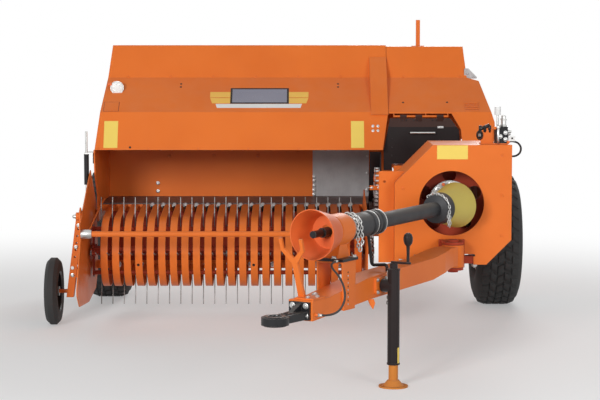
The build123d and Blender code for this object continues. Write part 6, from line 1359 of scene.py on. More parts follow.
@dataclass
class DriveTrim:
    """Fasteners and sign of the drive box, the clutch bolts, and the tensioner of the drive chain."""

    front_y: float = -1000.0
    side_x: float = 1212.0
    under_z: float = 482.0
    front_bolts: tuple[Flat, ...] = ((1160, 640), (1160, 860), (1160, 1080), (620, 900))
    side_bolts: tuple[Flat, ...] = ((-900, 640), (-700, 640), (-900, 1050), (-700, 1050))
    holes: tuple[Point, ...] = ((1009, 533, 6.5), (700, 505, 4.5), (742, 505, 4.5))
    sign_outline: tuple[Flat, ...] = rectangle(0.084, 0.038)
    spring_turn: float = 0.9
    spring_r: float = 9.0
    clutch_r: float = 0.100
    clutch_y: float = -964.6
    clutch_bolts: int = 8
    tensioner: Point = (514, 62, 818)

    def build_box(self) -> None:
        """Bolts and holes of the drive box, and the pull rod with its spring at its front."""
        piece = Piece("drive_box_fasteners", "frame", Coat.STEEL, Coat.BLACK, Coat.ORANGE, Coat.DARK_STEEL)
        piece.bolt(mm(1016, -955, self.under_z), -UP, 0.016)
        piece.rod(mm(1016, -955, self.under_z), mm(1016, -955, self.under_z - 20), 0.007)
        piece.bolt(mm(800, -955, self.under_z), -UP, 0.014)
        piece.use(Coat.ORANGE)
        piece.bolts([mm(x, self.front_y, z) for x, z in self.front_bolts], FORWARD, 0.0075, washer=False)
        piece.use(Coat.BLACK)
        for x, z, radius in self.holes:
            piece.hole(mm(x, self.front_y, z), FORWARD, radius / 1000)
        piece.use(Coat.ORANGE)
        piece.bolts([mm(self.side_x, y, z) for y, z in self.side_bolts], RIGHT, 0.009)
        piece.use(Coat.STEEL)
        piece.rod(mm(598, -1022, 512), mm(780, -1020, 498), 0.0055)
        piece.use(Coat.DARK_STEEL)
        catch = scaled(((-12, -22), (12, -22), (4, 26), (-12, 26)))
        piece.plate(catch, mm(692, -1012, 512), 0.004)
        spring = []
        for step in range(50):
            angle = step * self.spring_turn
            turn = (-1021 + self.spring_r * math.cos(angle), 504 + self.spring_r * math.sin(angle))
            spring.append(mm(712 + 1.1 * step, *turn))
        piece.tube(spring, 0.0018, 6)
        piece.finish()

    def build_sign(self) -> None:
        """Blank yellow sign on the drive box."""
        piece = Piece("drive_box_sign", "frame", Coat.SIGN_YELLOW)
        piece.plate(self.sign_outline, mm(888, self.front_y, 1096), 0.0009)
        piece.finish()

    def build_clutch(self) -> None:
        """Spring bolts round the slip clutch, and the red ends of the pins between them."""
        piece = Piece("clutch_bolts", "rotor", Coat.STEEL, Coat.GUARD_ORANGE)
        front = mm(DRIVE_X, self.clutch_y, DRIVE_Z)
        spokes = circle(Vector((0, 0, 0)), RIGHT, UP, self.clutch_bolts * 2)
        for count, spoke in enumerate(spokes):
            if count % 2 == 0:
                piece.use(Coat.STEEL)
                piece.bolt(front + spoke * self.clutch_r, FORWARD, 0.0125)
            else:
                piece.use(Coat.GUARD_ORANGE)
                seat = front + spoke * (self.clutch_r + 0.006) - FORWARD * 0.036
                piece.rod(seat, seat + FORWARD * 0.012, 0.009)
        piece.finish()

    def build_tensioner(self) -> None:
        """Orange tensioner block against the drive chain, with its thin rod and screws."""
        piece = Piece("chain_tensioner", "frame", Coat.ORANGE, Coat.STEEL)
        x, y, z = self.tensioner
        piece.plate(rectangle(0.034, 0.014), mm(x, y, z), 0.008)
        piece.rod(mm(x, y, z), mm(x, y + 22, z), 0.009)
        piece.use(Coat.STEEL)
        piece.rod(mm(x - 56, y - 6, z + 3), mm(x - 17, y - 6, z - 1), 0.0026, 8)
        piece.bolts([mm(x + side, y - 8, z) for side in (-20, 20)], FORWARD, 0.006)
        piece.finish()

    def build(self) -> None:
        """Build all of the drive's trim."""
        self.build_box()
        self.build_sign()
        self.build_clutch()
        self.build_tensioner()


# Dressing of the drawbar and its jack


@dataclass(frozen=True)
class Drawbar:
    """Places along the drawbar: s forward from the pivot, aside towards the jack, z up, in millimetres."""

    pivot: Flat = (DRIVE_X, -1121.0)
    angle: float = 31.34
    fall: float = 25.0 / 1480.0

    @property
    def forward(self) -> Vector:
        """Unit vector along the beam."""
        aim = math.radians(self.angle)
        return Vector((-math.sin(aim), -math.cos(aim), 0))

    @property
    def aside(self) -> Vector:
        """Unit vector towards the jack."""
        aim = math.radians(self.angle)
        return Vector((math.cos(aim), -math.sin(aim), 0))

    @property
    def shaft(self) -> Vector:
        """Unit vector along the drive shaft."""
        return (self.forward - UP * self.fall).normalized()

    def at(self, s: float, aside: float, z: float) -> Vector:
        """Point of the drawbar in metres."""
        return mm(*self.pivot, z) + (self.forward * s + self.aside * aside) / 1000

    def on_shaft(self, s: float) -> Vector:
        """Point on the drive shaft's axis in metres."""
        return mm(*self.pivot, DRIVE_Z) + self.shaft * s / 1000

    def over(self, s: float, radius: float, start: float, end: float, steps: int) -> list[Vector]:
        """Points on part of a circle round the shaft.

        Args:
            s: place along the shaft.
            radius: of the circle, in metres.
            start: first angle from upright towards the jack, in degrees.
            end: last angle.
            steps: number of points.

        Returns:
            The points.
        """
        points = []
        for step in range(steps):
            angle = math.radians(start + (end - start) * step / (steps - 1))
            spoke = UP * math.cos(angle) + self.aside * math.sin(angle)
            points.append(self.on_shaft(s) + spoke * radius)
        return points


@dataclass
class ChainStrand:
    """Welded chain that lies along a line of points."""

    points: Sequence[Vector]
    link: float = 0.020
    wire: float = 0.0026

    def lay(self, piece: Piece) -> None:
        """Lay the links, each turned a quarter against the one before.

        Args:
            piece: piece that takes them.
        """
        lengths = [(b - a).length for a, b in zip(self.points, self.points[1:])]
        step = self.link * 0.72
        for number in range(int(sum(lengths) / step)):
            wanted = (number + 0.5) * step
            for start, end, length in zip(self.points, self.points[1:], lengths):
                if wanted <= length:
                    break
                wanted -= length
            aim, across, up = along(start, end)
            side = across if number % 2 else up
            middle = start + aim * wanted
            ring = []
            for corner in range(12):
                angle = 2 * math.pi * corner / 12
                ahead = math.copysign(0.20, math.cos(angle)) + 0.27 * math.cos(angle)
                ring.append(middle + (aim * ahead + side * 0.27 * math.sin(angle)) * self.link)
            piece.tube(ring, self.wire, 6, closed=True)


@dataclass(frozen=True)
class Collar:
    """Chain laid over the shaft guard, with a loose end that hangs from its lower end."""

    s: float
    radius: float
    start: float
    end: float
    steps: int
    link: float
    wire: float
    falls: tuple[Point, ...]

    def line(self, bar: Drawbar) -> list[Vector]:
        """Draw the chain round the shaft and down its falls (forward, aside and up, in metres).

        Args:
            bar: the drawbar.

        Returns:
            The points of the chain.
        """
        points = bar.over(self.s, self.radius, self.start, self.end, self.steps)
        low = points[-1]
        for ahead, aside, up in self.falls:
            points.append(low + bar.forward * ahead + bar.aside * aside + UP * up)
        return points


@dataclass
class DrawbarTrim:
    """Fasteners, clamp, safety chains, hitch ribs and hose of the drawbar."""

    bar: Drawbar = Drawbar()
    collars: tuple[Collar, ...] = (
        Collar(205, 0.080, -40, 100, 14, 0.020, 0.0026, ((0, 0.004, -0.045), (0, 0.002, -0.085))),
        Collar(1125, 0.0665, -50, 95, 14, 0.024, 0.0032, ((0, 0.006, -0.060), (0.020, 0, -0.115))),
        Collar(1160, 0.0665, 20, 100, 10, 0.024, 0.0032, ((0, 0, -0.050), (-0.012, 0, -0.100))),
    )
    clamp_rings: tuple[Point, ...] = ((1172, 0.0645, 0.016), (858, 0.0635, 0.007), (938, 0.0635, 0.006))
    pin_chain: tuple[Point, ...] = (
        (905, 90, 566), (902, 94, 540), (912, 104, 512), (905, 96, 486), (898, 92, 458)
    )
    dark_chain: tuple[Point, ...] = ((902, 92, 455), (900, 92, 425), (904, 90, 396))
    bearing_bolts: tuple[Flat, ...] = ((1308, 22), (1200, 68), (1308, -60), (1200, -60))
    hitch_bolts: tuple[Flat, ...] = ((-36, 428), (36, 428), (-36, 474), (36, 474))
    side_bolts: tuple[Flat, ...] = ((1210, 436), (1240, 436), (1210, 470), (1240, 470))
    saddle_bolts: tuple[Flat, ...] = ((900, 530), (982, 530), (900, 470), (982, 470))
    side: float = 73.6
    eye_s: float = 1805.0
    rib_s: tuple[float, ...] = (1652, 1680, 1708, 1735)
    hose_mm: tuple[Point, ...] = (
        (148.3, -2487.1, 430.0),
        (222.3, -2532.2, 430.0),
        (274.7, -2517.3, 505.0),
        (258.1, -2458.0, 590.0),
        (188.9, -2373.7, 659.3),
        (235.5, -2297.1, 659.3),
    )
    hose_length: float = 0.476
    hose_d: float = 0.010

    def build_chains(self) -> None:
        """Silver chains over the collars of the shaft guard, clamp rings, and the chain of the jack's pin."""
        bar = self.bar
        piece = Piece("guard_chains", "drawbar", Coat.STEEL, Coat.DARK_STEEL)
        for collar in self.collars:
            ChainStrand(collar.line(bar), collar.link, collar.wire).lay(piece)
        second = self.collars[0].line(bar)[-3] + bar.forward * 0.016
        loose = [second, second - UP * 0.05 + bar.aside * 0.004, second - UP * 0.078]
        ChainStrand(loose).lay(piece)
        for s, radius, width in self.clamp_rings:
            ring = ((0, radius - 0.003), (0, radius), (width, radius), (width, radius - 0.003))
            piece.turned(ring, bar.on_shaft(s - width * 500), bar.shaft, 40, closed=True)
        piece.bolt(bar.on_shaft(self.clamp_rings[0][0]) + bar.aside * 0.065, bar.aside, 0.008)
        ChainStrand([bar.at(*place) for place in self.pin_chain], 0.018, 0.0024).lay(piece)
        piece.use(Coat.DARK_STEEL)
        ChainStrand([bar.at(*place) for place in self.dark_chain], 0.018, 0.0024).lay(piece)
        piece.finish()

    def build_fasteners(self) -> None:
        """Bolts of the bearing, the post, the fork and the hitch."""
        bar = self.bar
        piece = Piece("drawbar_fasteners", "drawbar", Coat.STEEL, Coat.BLACK, Coat.ORANGE)
        piece.bolts([bar.at(s, aside, 666) for s, aside in self.bearing_bolts], UP, 0.012)
        piece.bolt(bar.at(1441, -5, 498), UP, 0.016)
        piece.rod(bar.at(1441, -5, 498), bar.at(1441, -5, 518), 0.008)
        piece.bolts([bar.at(1495, 40, 506), bar.at(1550, 20, 506)], UP, 0.009)
        piece.bolts([bar.at(1596, aside, z) for aside, z in self.hitch_bolts], bar.forward, 0.011)
        piece.bolts([bar.at(s, -self.side, z) for s, z in self.side_bolts], -bar.aside, 0.010)
        rivet = ((0, 0.0042), (0.0012, 0.0040), (0.0016, 0.002))
        for row in range(10):
            piece.use(Coat.BLACK if row % 2 else Coat.STEEL)
            piece.turned(rivet, bar.at(1266, self.side, 446 + row * 17), bar.aside, 10)
        piece.use(Coat.STEEL)
        piece.bolts([bar.at(s, 79, z) for s, z in self.saddle_bolts], bar.aside, 0.008)
        piece.bolt(bar.at(941, 109, 500), bar.aside, 0.010)
        piece.use(Coat.ORANGE)
        tab = scaled(((-16, 0), (16, 0), (22, -20), (12, -52), (-4, -30)))
        piece.plate(tab, bar.at(1030, 66, 441), 0.006)
        piece.finish()

    def build_casting(self) -> None:
        """Bosses and ribs of the cast hitch eye."""
        bar = self.bar
        piece = Piece("hitch_casting_ribs", "drawbar", Coat.CAST_BLACK)
        boss = ((-0.002, 0.031), (0.005, 0.033), (0.007, 0.040), (0.005, 0.052), (-0.002, 0.056))
        for start_z, out in ((700, UP), (100, -UP)):
            seat, _ = seat_on("hitch_eye", bar.at(self.eye_s, 44, start_z), -out)
            piece.turned(boss, bar.at(self.eye_s, 0, 0) + UP * seat.z, out, 40, closed=True)
        for aside in (-16, 16):
            rib = [seat_on("hitch_eye", bar.at(s, aside, 700), -UP)[0] for s in self.rib_s]
            piece.tube(rib, 0.0065)
        piece.finish()

    def build_sleeves(self) -> bpy.types.Object:
        """Build the plated sleeves at both ends of the hose.

        Returns:
            The sleeves.
        """
        piece = Piece("hose_ends", "drawbar", Coat.STEEL)
        sleeve = ((0, 0.0064), (0.001, 0.0072), (0.016, 0.0072), (0.018, 0.0062))
        for tip, after in ((0, 1), (-1, -2)):
            start = mm(*self.hose_mm[tip])
            piece.turned(sleeve, start, (mm(*self.hose_mm[after]) - start).normalized(), 16)
        return piece.finish()

    def build_hose(self) -> None:
        """Hydraulic hose from the beam's end to the base of the bearing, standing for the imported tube."""
        data = bpy.data.curves.new("drawbar_hose_cord", "CURVE")
        data.dimensions = "3D"
        data.bevel_depth = self.hose_d / 2
        data.bevel_resolution = 5
        data.resolution_u = 16
        line = data.splines.new("NURBS")
        line.points.add(len(self.hose_mm) - 1)
        for point, place in zip(line.points, self.hose_mm):
            point.co = (*mm(*place), 1.0)
        line.order_u = 3
        line.use_endpoint_u = True
        data.materials.append(Coat.HOSE.material())
        made = bpy.data.objects.new("drawbar_hose_cord", data)
        bpy.context.scene.collection.objects.link(made)
        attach(made, "drawbar")
        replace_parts(made, "drawbar_hose")
        self.build_sleeves()

    def build(self) -> None:
        """Build all of the drawbar's trim."""
        self.build_chains()
        self.build_fasteners()
        self.build_casting()
        self.build_hose()


@dataclass
class JackTrim:
    """Blank strip, collars and top bolt of the jack."""

    bar: Drawbar = Drawbar()
    s: float = 941.0
    aside: float = 145.0
    tube_r: float = 0.030
    strip_z: Flat = (0.118, 0.198)
    strip_half: float = 0.24
    collar_z: Flat = (0.112, 0.578)
    top_z: float = 0.613

    def build(self) -> None:
        """Build the jack's trim."""
        piece = Piece("jack_strip", "jack", Coat.SIGN_YELLOW, Coat.STEEL, Coat.BLACK)
        centre = self.bar.at(self.s, self.aside, 0)
        aim = Vector((0.80, -0.60, 0))
        across = Vector((0.60, 0.80, 0))
        low, high = self.strip_z
        corners = ((low, -1), (low, 0), (low, 1), (high, 1), (high, 0), (high, -1))
        rings = []
        for radius in (self.tube_r - 0.0004, self.tube_r + 0.0007):
            ring = []
            for z, lean in corners:
                angle = lean * self.strip_half
                ring.append(centre + (aim * math.cos(angle) + across * math.sin(angle)) * radius + UP * z)
            rings.append(ring)
        piece.loft(rings)
        piece.use(Coat.BLACK)
        collar = ((0, 0.0285), (0, 0.0325), (0.008, 0.0325), (0.008, 0.0285))
        for z in self.collar_z:
            piece.turned(collar, centre + UP * z, UP, 32, closed=True)
        piece.use(Coat.STEEL)
        piece.bolt(centre + UP * self.top_z, UP, 0.008)
        piece.finish()


# Dressing of the valve, the feed housing and the bale chamber


@dataclass
class ValveTrim:
    """Fittings, side lever, ring knob, tag and pipe of the hydraulic valve."""

    spool_x: float = 1174.0
    spool_y: tuple[float, ...] = (-930, -890)
    right_ports: tuple[Flat, ...] = ((-930, 1206), (-930, 1172), (-895, 1190))
    front_ports: tuple[Flat, ...] = ((1180, 1200), (1152, 1180), (1180, 1164))
    lever_x: float = 1140.0
    comb_x: tuple[float, ...] = (1046, 1072, 1098)
    knob: Point = (1042, -924, 1186)
    caps: tuple[Flat, ...] = ((1196, 1150), (1122, 1226))
    pipe: tuple[Point, ...] = (
        (1196, -930, 1150),
        (1222, -930, 1152),
        (1252, -928, 1142),
        (1268, -926, 1116),
        (1262, -924, 1088),
        (1240, -922, 1072),
        (1213, -920, 1070),
    )

    def build_body(self, piece: Piece) -> None:
        """Build the spool ends, the port fittings and the plated side lever.

        Args:
            piece: piece that takes them.
        """
        for y in self.spool_y:
            seat = mm(self.spool_x, y, 1266)
            piece.bolt(seat, UP, 0.015, washer=False)
            piece.turned(((0, 0.0105), (0.014, 0.0105), (0.018, 0.007)), seat + UP * 0.010, UP, 16)
            nut = ((0, 0.015), (0.010, 0.016), (0.012, 0.013))
            piece.turned(nut, mm(self.spool_x, y, 1232), UP, 6)
        port = ((0, 0.012), (0.008, 0.012), (0.008, 0.008), (0.018, 0.008), (0.020, 0.005))
        for y, z in self.right_ports:
            piece.turned(port, mm(1195, y, z), RIGHT, 12)
        for x, z in self.front_ports:
            piece.turned(port, mm(x, -949, z), FORWARD, 12)
        piece.rod(mm(self.lever_x, -958, 1140), mm(self.lever_x, -958, 1228), 0.0075)
        piece.turned(((0, 0.011), (0.012, 0.011), (0.014, 0.008)), mm(self.lever_x, -958, 1226), UP, 12)
        piece.rod(mm(self.lever_x, -958, 1236), mm(self.lever_x, -920, 1240), 0.005, 10)

    def build_knob(self, piece: Piece) -> None:
        """Build the black comb linkage and the ring knob beside the block.

        Args:
            piece: piece that takes them.
        """
        x, y, z = self.knob
        piece.use(Coat.BLACK)
        piece.rod(mm(1040, -912, 1216), mm(1098, -912, 1240), 0.010)
        for comb_x in self.comb_x:
            piece.rod(mm(comb_x, -912, 1200), mm(comb_x, -912, 1238), 0.0085)
        ring = circle(mm(x, y, z), RIGHT * 0.014, UP * 0.022, 20)
        piece.tube(ring, 0.0052, 8, closed=True)
        piece.rod(mm(x, y, z - 18), mm(x, y, z + 18), 0.006, 10)
        piece.use(Coat.DARK_STEEL)
        piece.rod(mm(x, y - 6, z), mm(x, y + 12, z), 0.009)

    def build(self) -> None:
        """Build the valve's trim."""
        piece = Piece(
            "valve_fittings", "frame", Coat.STEEL, Coat.BLACK, Coat.WHITE, Coat.ORANGE, Coat.DARK_STEEL
        )
        self.build_body(piece)
        self.build_knob(piece)
        piece.use(Coat.ORANGE)
        for x, z in self.caps:
            piece.rod(mm(x, -944, z), mm(x, -956, z), 0.009)
        piece.use(Coat.WHITE)
        piece.plate(rectangle(0.018, 0.014), mm(1214, -955, 1168), 0.002)
        piece.use(Coat.BLACK)
        piece.hole(mm(1216, -957, 1170), FORWARD, 0.0055, 0.0006, 12)
        piece.tube(smooth_line([mm(*place) for place in self.pipe]), 0.0055)
        piece.finish(smooth_angle=45)


@dataclass
class FeedTrim:
    """Bolts of the feed housing, seen below the hood and from outside."""

    wall_y: float = 845.6
    sheet_y: float = 841.0
    side_x: float = -1180.0
    back_y: float = 858.0
    wall_screw_x: tuple[float, ...] = (-783, -495, -210)
    wall_bolt_z: tuple[float, ...] = (733, 785)
    sheet_left_z: tuple[float, ...] = (828, 800, 770, 740, 712, 1030)
    sheet_right_z: tuple[float, ...] = (740, 850, 960, 1040)
    side_bolts: tuple[Flat, ...] = (
        (420, 760), (640, 760), (800, 760), (420, 980), (640, 980), (800, 980), (420, 1150), (800, 1150)
    )

    def build(self) -> None:
        """Build the housing's trim."""
        piece = Piece("feed_fasteners", "frame", Coat.ORANGE, Coat.STEEL)
        piece.bolts([mm(x, self.wall_y, 962) for x in self.wall_screw_x], FORWARD, 0.008)
        piece.use(Coat.STEEL)
        piece.bolts([mm(-858, self.wall_y, z) for z in self.wall_bolt_z], FORWARD, 0.009)
        piece.bolts([mm(152, self.sheet_y, z) for z in self.sheet_left_z], FORWARD, 0.008)
        piece.bolts([mm(494, self.sheet_y, z) for z in self.sheet_right_z], FORWARD, 0.007)
        piece.use(Coat.ORANGE)
        piece.bolts([mm(self.side_x, y, z) for y, z in self.side_bolts], -RIGHT, 0.009)
        back_seats = [mm(x, self.back_y, z) for x in range(-1000, 400, 400) for z in (740, 980)]
        piece.bolts(back_seats, -FORWARD, 0.010)
        piece.finish()


@dataclass
class ChamberTrim:
    """Bolts on the chamber's hoops, the rails and the rear."""

    hoop_y: tuple[float, ...] = (-300, 60, 1090, 1500)
    hoop_bolt_z: tuple[float, ...] = (600, 700, 800, 880)
    rail_z: Flat = (590, 890)
    rear_x: tuple[float, ...] = (170, 250, 330, 410, 490, 550)
    rear_z: Flat = (700, 1020)

    def build(self) -> None:
        """Build the chamber's trim."""
        piece = Piece("chamber_fasteners", "frame", Coat.STEEL)
        piece.bolts([mm(1147, y, z) for y in self.hoop_y for z in self.hoop_bolt_z], RIGHT, 0.009)
        piece.bolts([mm(1123, y, z) for y in range(-380, 1540, 160) for z in self.rail_z], RIGHT, 0.008)
        piece.bolts([mm(x, 1500, z) for x in self.rear_x for z in self.rear_z], -FORWARD, 0.008)
        piece.finish()


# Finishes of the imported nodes


@dataclass(frozen=True)
class Repaint:
    """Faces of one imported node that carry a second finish."""

    node: str
    coat: Coat
    wanted: Callable[[Vector, Vector], bool]

    def apply(self) -> None:
        """Give the finish to every face whose middle, in millimetres, and normal are wanted."""
        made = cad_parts[self.node]
        turn = made.matrix_world.to_3x3()
        made.data.materials.append(self.coat.material())
        index = len(made.data.materials) - 1
        for polygon in made.data.polygons:
            if self.wanted(made.matrix_world @ polygon.center * 1000, turn @ polygon.normal):
                polygon.material_index = index


def from_axis(point: Vector, centre: Flat) -> float:
    """Distance in the side view of a point from (y, z), in millimetres."""
    return math.hypot(point.y - centre[0], point.z - centre[1])


BOX_MIDDLE = Vector((DRIVE_X, -780, DRIVE_Z))
REPAINTS = (
    Repaint("access_door", Coat.STEEL, lambda place, normal: place.y < 103),
    # Painted reflection: the door's upper strip takes the red-brown of the hood mirrored in it.
    Repaint("access_door", Coat.DOOR_TOP, lambda place, normal: place.y >= 103 and place.z > 1184),
    Repaint(
        "crop_guard_tube",
        Coat.STEEL,
        lambda place, normal: place.x < -1142 and from_axis(place, GUARD_TUBE_AXIS) > 17,
    ),
    Repaint("shaft_bearing", Coat.BLACK, lambda place, normal: place.z < 667),
    Repaint("pickup_reel", Coat.TINE_STEEL, lambda place, normal: from_axis(place, REEL_AXIS) > 150),
    Repaint("gauge_wheel", Coat.CAST_BLACK, lambda place, normal: from_axis(place, GAUGE_WHEEL_AXIS) < 120),
    Repaint("gauge_wheel", Coat.STEEL, lambda place, normal: from_axis(place, GAUGE_WHEEL_AXIS) < 29),
    Repaint("gauge_wheel_arm", Coat.STEEL, lambda place, normal: place.x < -1440),
    Repaint("valve_block", Coat.CAST_BLACK, lambda place, normal: place.x > 1124 and 1143 < place.z < 1233),
    Repaint("valve_block", Coat.ORANGE, lambda place, normal: place.z < 1143 or place.x < 1122),
    Repaint("valve_block", Coat.WHITE, lambda place, normal: place.z > 1295),
    # Painted shade: the inner walls of the drive box get dark red for the shade inside it.
    Repaint(
        "drive_box",
        Coat.SHADOW_RED,
        lambda place, normal: place.y > -994.5 and normal.dot(place - BOX_MIDDLE) < 0,
    ),
    Repaint("lift_spring_rod", Coat.CAST_BLACK, lambda place, normal: 845 < place.z < 1020),
    Repaint(
        "drawbar_beam",
        Coat.STEEL,
        lambda place, normal: place.y < -2450 and abs(place.z - 430) < 9.5 and place.x > 139,
    ),
)


class Workshop:
    """Builds the shared shader groups and every finish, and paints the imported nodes."""

    NODE_COATS: dict[Coat, tuple[str, ...]] = {
        Coat.ORANGE: (
            "axle", "axle_saddles", "bale_chamber", "chamber_rails", "tension_gear", "bale_chute",
            "feed_back_wall", "feed_side_plate", "feed_beam", "feeder_hood", "chamber_hood", "hood_duct",
            "hood_frame", "feeder_forks", "mast", "twine_box", "twine_box_lid", "pickup_sheet_right",
            "pickup_sheet_left", "pickup_bands", "crop_guard_tube", "gauge_wheel_arm", "drive_box",
            "drawbar_beam", "rest_fork", "bearing_post", "shaft_bearing", "inner_plate",
        ),
        # Painted shade: these parts get dark red for the shade they sit in.
        Coat.SHADOW_RED: ("front_frame", "gearbox", "pickup_reel", "flywheel"),
        Coat.DARK_GREY: ("feed_floor",),
        Coat.GALVANISED: ("galvanised_sheet",),
        Coat.STEEL: (
            "plunger", "crank", "connecting_rod", "knotters", "needle_yoke",
            "slip_clutch", "lift_spring_rod", "valve_block",
        ),
        Coat.DARK_STEEL: ("reel_chain", "drive_chain"),
        Coat.CAST_BLACK: ("hitch_eye", "drive_shaft"),
        Coat.BLACK: ("access_door", "jack_tube", "chain_guard", "shaft_hook"),
        Coat.HOSE: ("drawbar_hose",),
        Coat.LEG_ORANGE: ("jack_leg",),
        Coat.GUARD_BLACK: ("shaft_guard",),
        Coat.GUARD_YELLOW: ("rear_guard_cone",),
        Coat.GUARD_ORANGE: ("front_guard_cone",),
        Coat.RUBBER: ("tyre_left", "tyre_right", "gauge_wheel"),
        Coat.RIM: ("rim_left", "rim_right"),
    }

    def mix_finishes(self) -> None:
        """Build every shader group and every material once."""
        groups = {"weathering": make_weathering_group(), "bare_metal": make_bare_metal_group()}
        for coat in Coat:
            coat.value.build(groups)

    def paint_nodes(self) -> None:
        """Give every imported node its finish, and single faces their second one."""
        for coat, names in self.NODE_COATS.items():
            for name in names:
                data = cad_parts[name].data
                data.materials.clear()
                data.materials.append(coat.material())
        for repaint in REPAINTS:
            repaint.apply()

    def build(self) -> None:
        """Build the finishes and paint the nodes."""
        self.mix_finishes()
        self.paint_nodes()


# Floor, light and camera


@dataclass(frozen=True)
class Lamp:
    """Square soft lamp: its centre and its side in metres, and its power in watts."""

    name: str
    place: Point
    size: float
    power: float

    def hang(self, aim: Point) -> None:
        """Hang the lamp.

        Args:
            aim: the point that it faces.
        """
        data = bpy.data.lights.new(self.name, "AREA")
        data.size = self.size
        data.energy = self.power
        made = bpy.data.objects.new(self.name, data)
        made.location = self.place
        made.rotation_euler = (Vector(aim) - Vector(self.place)).to_track_quat("-Z", "Y").to_euler()
        bpy.context.scene.collection.objects.link(made)


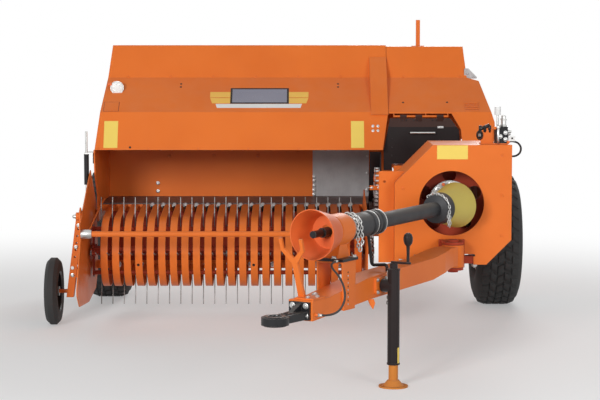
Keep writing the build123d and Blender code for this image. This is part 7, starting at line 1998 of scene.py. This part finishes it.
@dataclass
class Studio:
    """Pale floor and backdrop, soft lamps, and the camera that takes the baler as the photograph does."""

    lens_mm: float = 108.0
    sensor_mm: float = 36.0
    view_reach: float = 400.0
    camera_place: Point = (0.060, -10.758, 1.690)
    camera_pitch: float = 5.0
    floor_half: float = 60.0
    backdrop_strength: float = 1.0
    fade_start: float = 2.2
    fade_end: float = 6.0
    floor_glow: float = 0.3
    floor_grey: float = 0.88
    world_grey: float = 0.29
    lamp_aim: Point = (0.0, 0.0, 0.9)
    lamps: tuple[Lamp, ...] = (
        Lamp("key_lamp", (-4.2, -10.5, 3.6), 2.6, 650.0),
        Lamp("fill_lamp", (5.2, -9.5, 3.0), 3.0, 275.0),
        Lamp("rear_lamp", (2.5, 9.5, 5.0), 4.0, 420.0),
    )

    def maths(
        self,
        tree: bpy.types.NodeTree,
        operation: str,
        first: bpy.types.NodeSocket,
        second: bpy.types.NodeSocket,
    ) -> bpy.types.NodeSocket:
        """Join two sockets by a maths node.

        Args:
            tree: node tree of the material or the world.
            operation: MAXIMUM or MULTIPLY.
            first: the first socket.
            second: the second socket.

        Returns:
            The result's socket.
        """
        made = tree.nodes.new("ShaderNodeMath")
        made.operation = operation
        tree.links.new(first, made.inputs[0])
        tree.links.new(second, made.inputs[1])
        return made.outputs[0]

    def background_rays(self, tree: bpy.types.NodeTree) -> bpy.types.NodeSocket:
        """Tell rays that show the background from rays that light the object.

        Args:
            tree: node tree of the material or the world.

        Returns:
            A socket that is 1 for the camera's rays, in mirrors and through glass.
        """
        path = tree.nodes.new("ShaderNodeLightPath").outputs
        mirrored = self.maths(tree, "MAXIMUM", path["Is Glossy Ray"], path["Is Transmission Ray"])
        return self.maths(tree, "MAXIMUM", path["Is Camera Ray"], mirrored)

    def show(
        self,
        tree: bpy.types.NodeTree,
        share: bpy.types.NodeSocket,
        lit: bpy.types.NodeSocket,
        glow: bpy.types.Node,
        out: bpy.types.NodeSocket,
    ) -> None:
        """Blend a shader with plain white.

        Args:
            tree: node tree of the material or the world.
            share: socket that says how much of the white shows.
            lit: shader that lights the object.
            glow: node of the white.
            out: surface input of the output node.
        """
        glow.inputs["Color"].default_value = (1, 1, 1, 1)
        glow.inputs["Strength"].default_value = self.backdrop_strength
        blend = tree.nodes.new("ShaderNodeMixShader")
        tree.links.new(share, blend.inputs[0])
        tree.links.new(lit, blend.inputs[1])
        tree.links.new(glow.outputs[0], blend.inputs[2])
        tree.links.new(blend.outputs[0], out)

    def build_world(self) -> None:
        """Light grey surroundings that the camera sees as white."""
        world = bpy.data.worlds.new("surroundings")
        world.use_nodes = True
        bpy.context.scene.world = world
        tree = world.node_tree
        grey = tree.nodes["Background"]
        grey.inputs["Color"].default_value = (self.world_grey, self.world_grey, self.world_grey, 1)
        white = tree.nodes.new("ShaderNodeBackground")
        out = tree.nodes["World Output"].inputs["Surface"]
        self.show(tree, self.background_rays(tree), grey.outputs[0], white, out)

    def build_floor(self) -> None:
        """Plain pale floor that keeps the baler's shadow and turns white away from it, with no light added."""
        half = self.floor_half
        data = bpy.data.meshes.new("studio_floor")
        corners = [(x, y, 0) for x, y in rectangle(half, half)]
        data.from_pydata(corners, [], [(0, 1, 2, 3)])
        floor = bpy.data.objects.new("studio_floor", data)
        bpy.context.scene.collection.objects.link(floor)
        maker = MaterialMaker("studio_floor_paint")
        grey = (self.floor_grey, self.floor_grey, self.floor_grey, 1)
        maker.constants(Base_Color=grey, Roughness=0.85, Specular_IOR_Level=0.2)
        tree = maker.tree
        ruler = tree.nodes.new("ShaderNodeVectorMath")
        ruler.operation = "LENGTH"
        tree.links.new(tree.nodes.new("ShaderNodeNewGeometry").outputs["Position"], ruler.inputs[0])
        ramp = tree.nodes.new("ShaderNodeMapRange")
        ramp.interpolation_type = "SMOOTHSTEP"
        ramp.inputs["From Min"].default_value = self.fade_start
        ramp.inputs["From Max"].default_value = self.fade_end
        ramp.inputs["To Min"].default_value = self.floor_glow
        tree.links.new(ruler.outputs["Value"], ramp.inputs["Value"])
        share = self.maths(tree, "MULTIPLY", ramp.outputs["Result"], self.background_rays(tree))
        white = tree.nodes.new("ShaderNodeEmission")
        out = tree.nodes["Material Output"].inputs["Surface"]
        self.show(tree, share, maker.shader.outputs[0], white, out)
        data.materials.append(maker.material)

    def build_light(self) -> None:
        """Hang every lamp."""
        for lamp in self.lamps:
            lamp.hang(self.lamp_aim)

    def build_camera(self) -> None:
        """The photograph's viewpoint."""
        data = bpy.data.cameras.new("photo_camera")
        data.lens = self.lens_mm
        data.sensor_width = self.sensor_mm
        data.clip_end = self.view_reach
        camera = bpy.data.objects.new("photo_camera", data)
        camera.location = self.camera_place
        camera.rotation_euler = (math.radians(90 - self.camera_pitch), 0, 0)
        bpy.context.scene.collection.objects.link(camera)
        bpy.context.scene.camera = camera

    def build(self) -> None:
        """Build all of the studio."""
        bpy.context.scene.view_settings.view_transform = "Standard"
        self.build_world()
        self.build_floor()
        self.build_light()
        self.build_camera()


def main() -> None:
    """Build the baler's looks in order."""
    logging.basicConfig(level=logging.INFO, format="%(name)s %(message)s")
    driven_wheel = Sprocket(262, 655, 46)
    steps = (
        Workshop(),
        RoadTyre("tyre_left", "wheel_left", 1322, 850, 1),
        RoadTyre("tyre_right", "wheel_right", -1202, 1200, -1),
        ChainRun("reel_chain", "pickup", 486, 16, Sprocket(*REEL_AXIS, 74), driven_wheel),
        ChainRun("drive_chain", "frame", 510, 30, driven_wheel, Sprocket(110, 870, 56), pitch=31.75),
        HoodTrim(),
        DoorTrim(),
        PickupTrim(),
        DriveTrim(),
        DrawbarTrim(),
        JackTrim(),
        ValveTrim(),
        FeedTrim(),
        ChamberTrim(),
        Studio(),
    )
    for step in steps:
        LOG.info("building %s", type(step).__name__)
        step.build()


if __name__ == "__main__":
    main()
